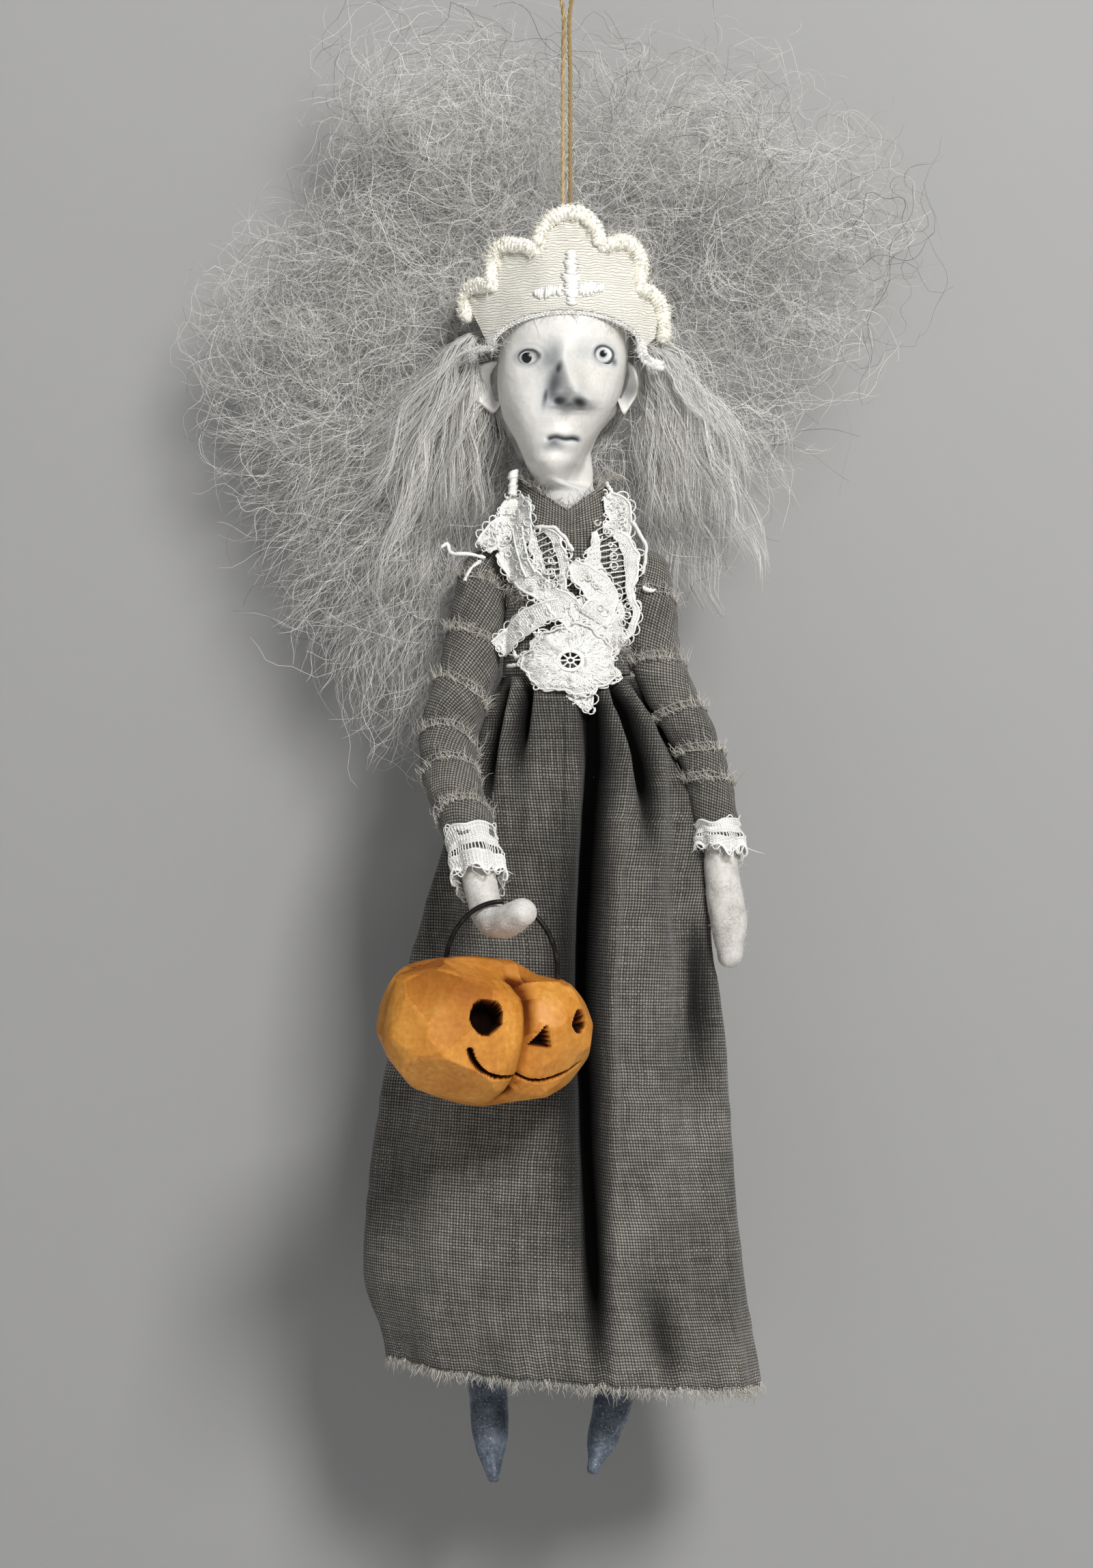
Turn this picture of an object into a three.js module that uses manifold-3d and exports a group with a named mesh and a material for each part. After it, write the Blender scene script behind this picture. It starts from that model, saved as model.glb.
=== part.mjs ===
import * as THREE from "three";
import { mergeVertices } from "three/addons/utils/BufferGeometryUtils.js";
import Module from "manifold-3d";

const wasm = await Module();
wasm.setup();

// Hanging witch doll: clay head with mohair and a scalloped cap, linen dress, tape lace, wrapped
// sleeves, dangling boots and a carved pumpkin on a wire bail in the right hand.
// Millimetres, +Z up. The doll faces -Y and its right hand is towards -X.
// The origin is the inside of the top of the hanging loop.

// Clearance between pieces that touch, and the thickness of linen and of lace
const GAP = 0.35;
const LINEN = 0.9;
const LACE = 0.9;
const TAPE_WIDTH = 4.4;

// Hanging loop of twine
const TWINE_DIAMETER = 1.1;
const STRAND_GAP = 0.6;
const BIGHT_WIDTH = 7;
const BIGHT_LENGTH = 10;
const TWINE_DROP = 71;
const TWINE_SEAT = 3;

// Clay head
const HEAD_HEIGHT = 51;
const HEAD_WIDTH = 29.4;
const HEAD_DEPTH = 33;
const CHIN_SHIFT = 3.4;
const NOSE_LENGTH = 6.5;
const NOSE_WIDTH = 9;
const EAR_HEIGHT = 8.6;
const EAR_REACH = 4.2;
const EYE_SPACING = 17.3;
const EYE_DIAMETER = 5;
const NECK_DIAMETER = 13;
const NECK_LENGTH = 14;
const DOWEL_DIAMETER = 3;
const DOWEL_LENGTH = 38;

// Scalloped cap
const CAP_DROP = 12.7;
const CAP_RADIUS = 24.4;
const CAP_SPREAD = 168;
const CAP_SQUEEZE = 0.93;
const SCALLOPS = 5;
const SCALLOP_RISE = 3.2;
const EDGING_DIAMETER = 3;
const BAND_DIAMETER = 1.8;
const RIM_WIDTH = 35;
const RIM_FALL = 8;
const CAP_LEAN = 0.2;

// Mohair
const HAIR_WIDTH = 160;
const HAIR_HEIGHT = 124;
const HAIR_DEPTH = 34;
const RIGHT_LOCK_LENGTH = 100;
const RIGHT_LOCK_WIDTH = 52;
const LEFT_LOCK_LENGTH = 46;
const LEFT_LOCK_WIDTH = 32;
const LOCK_DEPTH = 24;

// Dressed body
const BODICE_LENGTH = 44.5;
const NECK_OPENING = 22;
const NECK_VEE = 6;
const CHEST_WIDTH = 26.4;
const CHEST_DEPTH = 21;
const WAIST_WIDTH = 29.2;
const WAIST_DEPTH = 20.4;
const SHOULDER_DROP = 18;
const SHOULDER_SETBACK = 3.2;
const HIP_DROP = 40;
const HIP_WIDTH = 24;
const THREAD_DIAMETER = 1;

// Gathered skirt
const SKIRT_LENGTH = 159.5;
const HEM_WIDTH = 88;
const HEM_DEPTH = 46;
const HEM_TILT = 3.4;
const SKIRT_SWAY = 3.4;
const SKIRT_FLARE = 3.5;
const FOLD_DEPTH = 5;

// Arms, sleeves and cuffs
const SLEEVE_RADIUS = 6.6;
const ELBOW_DROP = 41.5;
const REACH_DROP = 76;
const HAND_INSET = 14.5;
const LEFT_ARM_LENGTH = 92;
const WRIST_RADIUS = 3.6;
const WRAPS = 7;
const WRAP_STEP = 0.7;
const WRAP_SLANT = 1.6;
const CUFF_LENGTH = 9;
const ARM_WIRE_DIAMETER = 1.2;

// Legs and boots
const LEG_RADIUS = 4.2;
const RIGHT_FOOT = 17.8;
const LEFT_FOOT = 10.6;
const BOOT_LENGTH = 25;
const BOOT_RADIUS = 4.4;

// Pumpkin and its bail
const PUMPKIN_WIDTH = 50.5;
const PUMPKIN_DEPTH = 37;
const PUMPKIN_HEIGHT = 32.5;
const PUMPKIN_TURN = 30;
const PUMPKIN_ROLL = 5.5;
const PUMPKIN_EYE = 6.6;
const PUMPKIN_NOSE = 4.6;
const MOUTH_WIDTH = 1.6;
const BAIL_WIDTH = 24.6;
const BAIL_HEIGHT = 15;
const BAIL_DIAMETER = 1.1;
const BAIL_SEAT = 4;

const { lerp, smoothstep, degToRad } = THREE.MathUtils;
const vec = (x, y, z) => new THREE.Vector3(x, y, z);
const spaced = (from, to, count) =>
  Array.from({ length: count }, (_, i) => lerp(from, to, i / (count - 1)));
const bump = (distance, spread) => Math.exp(-0.5 * (distance / spread) ** 2);

// Heights worked out down the doll
const crownZ = -TWINE_DROP;
const chinZ = crownZ - HEAD_HEIGHT;
const neckZ = chinZ - NECK_LENGTH;
const bodiceTopZ = chinZ + 1;
const shoulderZ = chinZ - SHOULDER_DROP;
const waistZ = bodiceTopZ - BODICE_LENGTH;
const hipZ = waistZ - HIP_DROP;

// A solid from a three.js geometry, turned so that its faces point out.
function solid(geometry) {
  const bare = geometry.clone();
  bare.deleteAttribute("normal");
  bare.deleteAttribute("uv");
  const merged = mergeVertices(bare, 1e-4);
  const points = merged.attributes.position;
  const triVerts = new Uint32Array(merged.index.array);
  let volume = 0;
  const [a, b, c] = [vec(), vec(), vec()];
  for (let i = 0; i < triVerts.length; i += 3) {
    a.fromBufferAttribute(points, triVerts[i]);
    b.fromBufferAttribute(points, triVerts[i + 1]);
    c.fromBufferAttribute(points, triVerts[i + 2]);
    volume += a.dot(b.cross(c));
  }
  if (volume < 0) triVerts.reverse();
  return new wasm.Manifold(
    new wasm.Mesh({ numProp: 3, vertProperties: new Float32Array(points.array), triVerts }),
  );
}

// A closed skin over rings of equally many points. Open ends close on a pole; a looped skin's
// last ring meets its first.
function skin(rings, { looped = false, first, last } = {}) {
  const sides = rings[0].length;
  const points = rings.flat();
  const faces = [];
  const bands = looped ? rings.length : rings.length - 1;
  for (let i = 0; i < bands; i++) {
    const near = i * sides;
    const far = ((i + 1) % rings.length) * sides;
    for (let j = 0; j < sides; j++) {
      const k = (j + 1) % sides;
      faces.push(near + j, far + j, far + k, near + j, far + k, near + k);
    }
  }
  const middle = (ring) =>
    ring.reduce((sum, p) => sum.add(p), vec(0, 0, 0)).divideScalar(ring.length);
  const close = (start, pole, forward) => {
    const hub = points.push(pole) - 1;
    for (let j = 0; j < sides; j++) {
      const k = (j + 1) % sides;
      faces.push(hub, start + (forward ? j : k), start + (forward ? k : j));
    }
  };
  if (!looped) {
    close(0, first ?? middle(rings[0]), true);
    close((rings.length - 1) * sides, last ?? middle(rings.at(-1)), false);
  }
  const geometry = new THREE.BufferGeometry().setFromPoints(points).setIndex(faces);
  return solid(geometry);
}

// A round tube along a curve through the given points.
function tube(points, diameter, steps, sides = 8) {
  const outline = new THREE.Shape(
    spaced(0, 2 * Math.PI, sides + 1)
      .slice(0, -1)
      .map((turn) => new THREE.Vector2(Math.cos(turn), Math.sin(turn)).multiplyScalar(diameter / 2)),
  );
  const extrudePath = new THREE.CatmullRomCurve3(points, false, "centripetal");
  return solid(new THREE.ExtrudeGeometry(outline, { steps, extrudePath, bevelEnabled: false }));
}

// A straight round rod between two points.
function rod(from, to, radius, sides = 12) {
  const along = to.clone().sub(from);
  const turn = new THREE.Quaternion().setFromUnitVectors(vec(0, 1, 0), along.clone().normalize());
  const geometry = new THREE.CylinderGeometry(radius, radius, along.length(), sides);
  geometry.applyQuaternion(turn);
  geometry.translate(...from.clone().add(to).multiplyScalar(0.5).toArray());
  return solid(geometry);
}

// A ball stretched to three radii.
function ball(centre, radii, across = 20, down = 14) {
  const geometry = new THREE.SphereGeometry(1, across, down);
  geometry.scale(...radii);
  geometry.translate(...centre.toArray());
  return solid(geometry);
}

// A value read from rows of [place, value, value...] by a smooth curve through them.
function between(rows, place) {
  const last = rows.length - 1;
  let i = rows.findIndex((row) => row[0] > place) - 1;
  if (i === -2) i = last - 1;
  i = THREE.MathUtils.clamp(i, 0, last - 1);
  const share = (place - rows[i][0]) / (rows[i + 1][0] - rows[i][0]);
  return rows[i].slice(1).map((value, column) => {
    const at = (n) => rows[THREE.MathUtils.clamp(n, 0, last)][column + 1];
    const [before, start, end, after] = [at(i - 1), value, at(i + 1), at(i + 2)];
    const [slopeIn, slopeOut] = [(end - before) / 2, (after - start) / 2];
    const [s, s2, s3] = [share, share ** 2, share ** 3];
    return (
      (2 * s3 - 3 * s2 + 1) * start +
      (s3 - 2 * s2 + s) * slopeIn +
      (3 * s2 - 2 * s3) * end +
      (s3 - s2) * slopeOut
    );
  });
}

const doll = new THREE.Group();
doll.name = "witch_doll_ornament";

// Adds one finished piece to the doll.
function piece(name, body, color, roughness, metalness = 0) {
  const mesh = body.getMesh();
  const geometry = new THREE.BufferGeometry();
  geometry.setAttribute("position", new THREE.BufferAttribute(mesh.vertProperties, 3));
  geometry.setIndex(new THREE.BufferAttribute(mesh.triVerts, 1));
  geometry.computeVertexNormals();
  const material = new THREE.MeshStandardMaterial({ color, roughness, metalness });
  const made = new THREE.Mesh(geometry, material);
  made.name = name;
  doll.add(made);
}

const COLOURS = {
  twine: 0xc9b188,
  clay: 0xeeedea,
  eye: 0x20242c,
  cap: 0xefe9d6,
  mohair: 0x9a9a98,
  linen: 0x625f59,
  lace: 0xf4f4f0,
  calico: 0xd9d2c2,
  felt: 0xd8d5d0,
  wood: 0xc8a878,
  wire: 0x2b2b2d,
  steel: 0x77797c,
  boot: 0x3c4656,
  pumpkin: 0xd08a34,
};

// Hanging loop: two strands rise from the crown and open into a bight
const strandX = (TWINE_DIAMETER + STRAND_GAP) / 2;
const bightX = (BIGHT_WIDTH + TWINE_DIAMETER) / 2;
const strand = (side) => [
  vec(side * strandX, 0, crownZ - TWINE_SEAT),
  vec(side * strandX, 0, lerp(crownZ, -BIGHT_LENGTH, 0.35)),
  vec(side * strandX, 0, lerp(crownZ, -BIGHT_LENGTH, 0.7)),
  vec(side * strandX, 0, -BIGHT_LENGTH - 3),
  vec(side * lerp(strandX, bightX, 0.55), 0, -0.62 * BIGHT_LENGTH),
  vec(side * bightX, 0, -0.8 * bightX),
  vec(side * 0.72 * bightX, 0, TWINE_DIAMETER / 2 - 0.25 * bightX),
];
const bightTop = vec(0, 0, TWINE_DIAMETER / 2);
const twinePoints = [...strand(-1), bightTop, ...strand(1).reverse()];
piece("hanging_twine", tube(twinePoints, TWINE_DIAMETER, 56), COLOURS.twine, 0.95);

// Head: half width, front and back at shares of the height from crown to chin
const HEAD_FORM = [
  [0.03, 0.2, 0.18, 0.2],
  [0.1, 0.36, 0.33, 0.38],
  [0.24, 0.47, 0.45, 0.52],
  [0.4, 0.5, 0.465, 0.55],
  [0.55, 0.49, 0.45, 0.5],
  [0.68, 0.43, 0.44, 0.42],
  [0.8, 0.325, 0.43, 0.31],
  [0.91, 0.24, 0.4, 0.24],
  [0.985, 0.16, 0.31, 0.22],
];
const EYE_LEVEL = 0.43;
const NOSE_TIP = 0.63;
const MOUTH_LEVEL = 0.795;
const EAR_LEVEL = 0.575;
const headLean = (share) => -CHIN_SHIFT * smoothstep(share, 0.2, 1);
const noseX = headLean(NOSE_TIP) + 0.09 * HEAD_WIDTH;

const neckRound = { width: NECK_DIAMETER / 2, front: NECK_DIAMETER / 2, back: NECK_DIAMETER / 2 };

// Half width, front and back of the head at a share of its height.
function headSection(share) {
  const [width, front, back] = between(HEAD_FORM, share);
  return { width: width * HEAD_WIDTH, front: front * HEAD_DEPTH, back: back * HEAD_DEPTH };
}

// How far the face stands forward of its egg: nose, sockets, cheeks, mouth and chin.
function faceRelief(x, share) {
  const lean = headLean(share);
  const rise = smoothstep(share, 0.41, NOSE_TIP - 0.01) * (1 - smoothstep(share, NOSE_TIP + 0.01, 0.71));
  const noseSpread = NOSE_WIDTH * lerp(0.16, 0.31, smoothstep(share, 0.42, NOSE_TIP));
  let relief = NOSE_LENGTH * rise * bump(x - lerp(lean, noseX, 0.8), noseSpread);
  for (const side of [-1, 1]) {
    const eyeX = lean + (side * EYE_SPACING) / 2;
    relief -= 1.5 * bump(x - eyeX, 2.6) * bump((share - EYE_LEVEL) * HEAD_HEIGHT, 2.4);
    relief += 0.9 * bump(x - lean - side * 0.28 * HEAD_WIDTH, 3) * bump((share - 0.66) * HEAD_HEIGHT, 3);
  }
  relief -= 0.9 * bump(x - lean, 3) * bump((share - MOUTH_LEVEL) * HEAD_HEIGHT, 0.9);
  relief += 1.3 * bump(x - lean, 3.4) * bump((share - 0.93) * HEAD_HEIGHT, 2.4);
  return relief;
}

// Rings of the head and neck.
function headRings() {
  const turns = spaced(0, 2 * Math.PI, 35).slice(0, -1);
  const around = turns.map((turn) => turn - 0.4 * Math.sin(turn));
  const shares = [0.03, 0.1, 0.2, 0.31, 0.38, 0.43, 0.48, 0.53, 0.58, 0.635];
  shares.push(0.67, 0.7, 0.745, 0.795, 0.83, 0.87, 0.93, 0.985);
  const rings = shares.map((share) => {
    const { width, front, back } = headSection(share);
    return around.map((turn) => {
      const ahead = Math.cos(turn);
      const x = headLean(share) + width * Math.sin(turn);
      const relief = ahead > 0 ? faceRelief(x, share) * Math.sqrt(ahead) : 0;
      const y = -ahead * (ahead > 0 ? front : back) - relief;
      return vec(x, y, crownZ - share * HEAD_HEIGHT);
    });
  });
  const neck = NECK_DIAMETER / 2;
  for (const z of [chinZ - 0.8, lerp(chinZ, neckZ, 0.5), neckZ]) {
    rings.push(around.map((turn) => vec(neck * Math.sin(turn), -neck * Math.cos(turn), z)));
  }
  return rings;
}

function headBody() {
  let body = skin(headRings(), { first: vec(headLean(0), 0, crownZ) });
  const { width } = headSection(EAR_LEVEL);
  for (const side of [-1, 1]) {
    const centre = vec(
      headLean(EAR_LEVEL) + side * (width + 0.3 * EAR_REACH),
      0,
      crownZ - EAR_LEVEL * HEAD_HEIGHT,
    );
    const radii = [0.7 * EAR_REACH, 1.7, EAR_HEIGHT / 2];
    body = body.add(ball(centre, radii, 10, 8));
  }
  return body;
}

// Eye beads sit in their sockets
const eyeCentre = (side) => {
  const { width, front } = headSection(EYE_LEVEL);
  const surface = -front * Math.sqrt(1 - (EYE_SPACING / 2 / width) ** 2) + 1.5;
  const x = headLean(EYE_LEVEL) + (side * EYE_SPACING) / 2;
  return vec(x, surface + 0.28 * EYE_DIAMETER, crownZ - EYE_LEVEL * HEAD_HEIGHT);
};
const eyeball = (side, radius) => ball(eyeCentre(side), [radius, radius, radius], 12, 9);
const dowelTop = neckZ + 0.6 * DOWEL_LENGTH;
const dowelFoot = dowelTop - DOWEL_LENGTH;
let head = headBody();
for (const side of [-1, 1]) {
  head = head.subtract(eyeball(side, EYE_DIAMETER / 2 + GAP));
  const hole = [vec(side * strandX, 0, crownZ + 5), vec(side * strandX, 0, crownZ - TWINE_SEAT - GAP)];
  head = head.subtract(rod(...hole, TWINE_DIAMETER / 2 + 0.25, 10));
}
head = head.subtract(rod(vec(0, 0, neckZ - 5), vec(0, 0, dowelTop + GAP), DOWEL_DIAMETER / 2 + 0.3));
piece("head", head, COLOURS.clay, 0.6);
piece("eye_right", eyeball(-1, EYE_DIAMETER / 2), COLOURS.eye, 0.2);
piece("eye_left", eyeball(1, EYE_DIAMETER / 2), COLOURS.eye, 0.2);
piece("neck_dowel", rod(vec(0, 0, dowelFoot), vec(0, 0, dowelTop), DOWEL_DIAMETER / 2), COLOURS.wood, 0.7);

// Cap: a cloth fan that stands on the brow, rolled along its scallops and banded at its rim
const rimZ = crownZ - CAP_DROP;
const fanZ = rimZ - 4;
const browFront = headSection(CAP_DROP / HEAD_HEIGHT).front;
const capSag = (0.4 * HEAD_DEPTH) / (0.88 * HEAD_WIDTH) ** 2;
const capY = (x, z) => -(browFront + GAP + LINEN / 2) + capSag * x * x + CAP_LEAN * (z - rimZ);
const onCap = (x, z) => vec(x, capY(x, z), z);
const lobe = CAP_SPREAD / SCALLOPS;
const capEdge = (angle, short) => {
  const radius = CAP_RADIUS + SCALLOP_RISE * Math.cos((Math.PI * angle) / lobe) ** 2 - short;
  const turn = degToRad(angle);
  return [CAP_SQUEEZE * radius * Math.sin(turn), fanZ + radius * Math.cos(turn)];
};
const capRim = (angle, inset) => {
  const turn = degToRad((angle * 90) / (CAP_SPREAD / 2));
  const [across, down] = [RIM_WIDTH / 2 - inset, RIM_FALL - inset];
  return [across * Math.sin(turn), rimZ - RIM_FALL + down * Math.cos(turn)];
};
const capAngles = (count) => spaced(-CAP_SPREAD / 2, CAP_SPREAD / 2, count);
const edgingPoints = capAngles(41).map((angle) => onCap(...capEdge(angle, 0)));
const edgingRoom = 1.24 * (EDGING_DIAMETER / 2 + GAP);
const fan = skin(
  capAngles(36).map((angle) => {
    const column = spaced(0, 1, 4).map((share) => {
      const [low, high] = [capRim(angle, 0), capEdge(angle, edgingRoom)];
      return onCap(lerp(low[0], high[0], share), lerp(low[1], high[1], share));
    });
    const shifted = (by) => column.map((p) => vec(p.x, p.y + by, p.z));
    return [...shifted(-LINEN / 2), ...shifted(LINEN / 2).reverse()];
  }),
);
piece("cap_cloth", fan, COLOURS.cap, 0.9);
piece("cap_edging", tube(edgingPoints, EDGING_DIAMETER, 48, 6), COLOURS.cap, 0.9);
const bandInset = BAND_DIAMETER / 2 + GAP + 0.2;
const bandPoints = capAngles(13).map((angle) => {
  const [x, z] = capRim(angle, bandInset);
  return vec(x, capY(x, z) - 0.5, z);
});
const bandEnd = (side) => vec(side * (RIM_WIDTH / 2 + 3.4), capY(RIM_WIDTH / 2, rimZ) + 2, rimZ - RIM_FALL - 5);
const capBand = tube([bandEnd(-1), ...bandPoints, bandEnd(1)], BAND_DIAMETER, 26, 6);
piece("cap_band", capBand, COLOURS.cap, 0.95);

// Dressed body: half width and half depth of the bodice, then of the skirt's envelope
function bodiceSection(z) {
  const share = (bodiceTopZ - z) / BODICE_LENGTH;
  const chest = smoothstep(share, 0, 0.4);
  const waist = smoothstep(share, 0.45, 1);
  return {
    width: lerp(lerp(NECK_OPENING, CHEST_WIDTH, chest), WAIST_WIDTH, waist) / 2,
    depth: lerp(lerp(0.88 * NECK_OPENING, CHEST_DEPTH, chest), WAIST_DEPTH, waist) / 2,
  };
}
function skirtSection(share) {
  const spread = 1 - (1 - share) ** 2.4;
  return {
    width: lerp(WAIST_WIDTH + 1, HEM_WIDTH, spread) / 2,
    depth: lerp(WAIST_DEPTH + 1, HEM_DEPTH, spread) / 2,
    sway: -SKIRT_SWAY * Math.sin(Math.PI * share ** 2.2),
    flare: SKIRT_FLARE * bump(share - 0.15, 0.07),
  };
}
const skirtShare = (z) => THREE.MathUtils.clamp((waistZ - z) / SKIRT_LENGTH, 0, 1);
const dressed = (z) =>
  z > waistZ ? { ...bodiceSection(z), sway: 0, flare: 0 } : skirtSection(skirtShare(z));

// The point outside the dress at a height and bearing, clear of it by the given distance.
function beside(z, bearing, clear) {
  const { width, depth, sway, flare } = dressed(z);
  const turn = degToRad(bearing);
  const half = width + (bearing > 0 ? flare : 0);
  const outward = vec(Math.sin(turn) / half, -Math.cos(turn) / depth, 0).normalize();
  const skinPoint = vec(sway + half * Math.sin(turn), -depth * Math.cos(turn), z);
  return skinPoint.addScaledVector(outward, clear);
}

// Height of the dress's front at a place on it, as seen from the front.
function frontY(x, z) {
  const { width, depth } = dressed(z);
  return -depth * Math.sqrt(Math.max(0.08, 1 - (x / width) ** 2));
}

const ellipseRing = (width, depth, z, sides = 26) =>
  spaced(0, 360, sides + 1)
    .slice(0, -1)
    .map((bearing) => {
      const turn = degToRad(bearing);
      return vec(width * Math.sin(turn), -depth * Math.cos(turn), typeof z === "function" ? z(turn) : z);
    });

// Shoulder and hip threads, and the bores they run in
const armX = bodiceSection(shoulderZ).width + GAP + SLEEVE_RADIUS;
const shoulder = (side) => vec(side * armX, SHOULDER_SETBACK, shoulderZ);
const threadOver = 2.4;
const shoulderEnd = (side, more) => vec(side * (armX + threadOver + more), SHOULDER_SETBACK, shoulderZ);
const lugHalf = 2.6;
const hipX = lugHalf + GAP + LEG_RADIUS;
const hipEnd = (side, more) => vec(side * (hipX + 1.8 + more), 0, hipZ);
const threadBore = THREAD_DIAMETER / 2 + 0.3;
const shoulderBore = rod(shoulderEnd(-1, GAP), shoulderEnd(1, GAP), threadBore, 10);
const hipBore = rod(hipEnd(-1, GAP), hipEnd(1, GAP), threadBore, 10);
const shoulderThread = rod(shoulderEnd(-1, 0), shoulderEnd(1, 0), THREAD_DIAMETER / 2, 8);
const hipThread = rod(hipEnd(-1, 0), hipEnd(1, 0), THREAD_DIAMETER / 2, 8);
piece("shoulder_thread", shoulderThread, COLOURS.calico, 0.9);
piece("hip_thread", hipThread, COLOURS.calico, 0.9);

// Stuffed torso with a lug between the legs
const torsoTop = neckZ - GAP;
const torsoFoot = hipZ + LEG_RADIUS + 2 * GAP;
const torsoRings = spaced(torsoTop, waistZ, 5).map((z) => {
  const { width, depth } = bodiceSection(z);
  const inset = LINEN + GAP + (z === torsoTop ? 1.5 : 0);
  return ellipseRing(width - inset, depth - inset, z, 18);
});
const seat = { width: HIP_WIDTH / 2, depth: WAIST_DEPTH / 2 - LINEN - 2 * GAP };
torsoRings.push(ellipseRing(seat.width, seat.depth, torsoFoot + 4, 18));
torsoRings.push(ellipseRing(0.8 * seat.width, 0.75 * seat.depth, torsoFoot, 18));
const lug = new THREE.BoxGeometry(2 * lugHalf, 7, torsoFoot + 6 - hipZ + 4);
lug.translate(0, 0, (torsoFoot + 6 + hipZ - 4) / 2);
const neckBore = rod(vec(0, 0, torsoTop + 5), vec(0, 0, dowelFoot - GAP), DOWEL_DIAMETER / 2 + 0.3);
const torso = skin(torsoRings).add(solid(lug)).subtract(neckBore).subtract(shoulderBore).subtract(hipBore);
piece("torso", torso, COLOURS.calico, 0.95);

// Linen bodice, cut to a vee at the neck
const bodiceRing = (share, inset) => {
  const level = lerp(bodiceTopZ, waistZ, share);
  const { width, depth } = bodiceSection(level);
  const vee = (turn) => level - NECK_VEE * Math.max(0, Math.cos(turn)) ** 2 * Math.max(0, 1 - 3 * share);
  return ellipseRing(width - inset, depth - inset, vee);
};
const bodiceShares = [0, 0.14, 0.3, 0.5, 0.75, 1];
const bodice = skin(
  [
    ...bodiceShares.map((share) => bodiceRing(share, 0)),
    ...bodiceShares.map((share) => bodiceRing(share, LINEN)).reverse(),
  ],
  { looped: true },
);
piece("bodice", bodice.subtract(shoulderBore), COLOURS.linen, 0.95);

// Mohair: a lumpy cloud behind the head and a lock on each side
function cloud(centre, radii, lean, waves, across, down) {
  const geometry = new THREE.SphereGeometry(1, across, down);
  const points = geometry.attributes.position;
  const p = vec();
  for (let i = 0; i < points.count; i++) {
    p.fromBufferAttribute(points, i);
    const swell = Math.sin(waves * p.x + 1) * Math.sin(waves * p.z + 2) + 0.6 * Math.sin(5 * p.y + 3 * p.z);
    p.multiplyScalar(1 + 0.05 * swell);
    p.y *= 1.4 - 0.4 * Math.abs(p.y);
    points.setXYZ(i, ...p.toArray());
  }
  geometry.scale(...radii);
  geometry.rotateY(degToRad(lean));
  geometry.translate(...centre.toArray());
  return solid(geometry);
}
const hairY = 3.4 + HAIR_DEPTH / 2;
const hairZ = crownZ - 4;
const hairCloud = (grow) =>
  cloud(
    vec(0, hairY, hairZ),
    [HAIR_WIDTH / 2 + grow, HAIR_DEPTH / 2 + grow, HAIR_HEIGHT / 2 + grow],
    0,
    5,
    20,
    14,
  );
const lockY = SHOULDER_SETBACK + SLEEVE_RADIUS + 2 + LOCK_DEPTH / 2;
const rightLock = cloud(
  vec(-0.34 * HAIR_WIDTH, lockY, hairZ - 0.53 * HAIR_HEIGHT),
  [RIGHT_LOCK_WIDTH / 2, LOCK_DEPTH / 2, RIGHT_LOCK_LENGTH / 2],
  -13,
  4,
  14,
  12,
);
const leftLock = cloud(
  vec(0.24 * HAIR_WIDTH, lockY, hairZ - 0.42 * HAIR_HEIGHT),
  [LEFT_LOCK_WIDTH / 2, LOCK_DEPTH / 2, LEFT_LOCK_LENGTH / 2],
  25,
  4,
  14,
  10,
);
// The room the hair leaves round the skull and the dress's back
const skullRoom = skin(
  [0.03, 0.1, 0.2, 0.3, 0.4, 0.5, 0.6, 0.7, 0.8, 0.9, 0.985, 1.02, 1.1].map((share) => {
    const { width, front, back } = share < 1 ? headSection(share) : neckRound;
    return spaced(0, 2 * Math.PI, 19)
      .slice(0, -1)
      .map((turn) => {
        const reach = Math.cos(turn) > 0 ? front : back;
        const x = (width + 0.9) * Math.sin(turn) + (share < 1 ? headLean(share) : 0);
        return vec(x, -(reach + 0.9) * Math.cos(turn), crownZ - share * HEAD_HEIGHT);
      });
  }),
  { first: vec(0, 0, crownZ + 0.9) },
);
const backRoom = skin(
  spaced(bodiceTopZ + 1, waistZ, 6).map((z) => {
    const { width, depth } = bodiceSection(z);
    return ellipseRing(width + 0.8, depth + 0.8, z, 18);
  }),
);
const hairRoom = skullRoom.add(backRoom);
piece("hair_cloud", hairCloud(0).subtract(hairRoom), COLOURS.mohair, 0.95);
piece("hair_lock_right", rightLock.subtract(hairCloud(GAP)).subtract(hairRoom), COLOURS.mohair, 0.95);
piece("hair_lock_left", leftLock.subtract(hairCloud(GAP)).subtract(hairRoom), COLOURS.mohair, 0.95);

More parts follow.
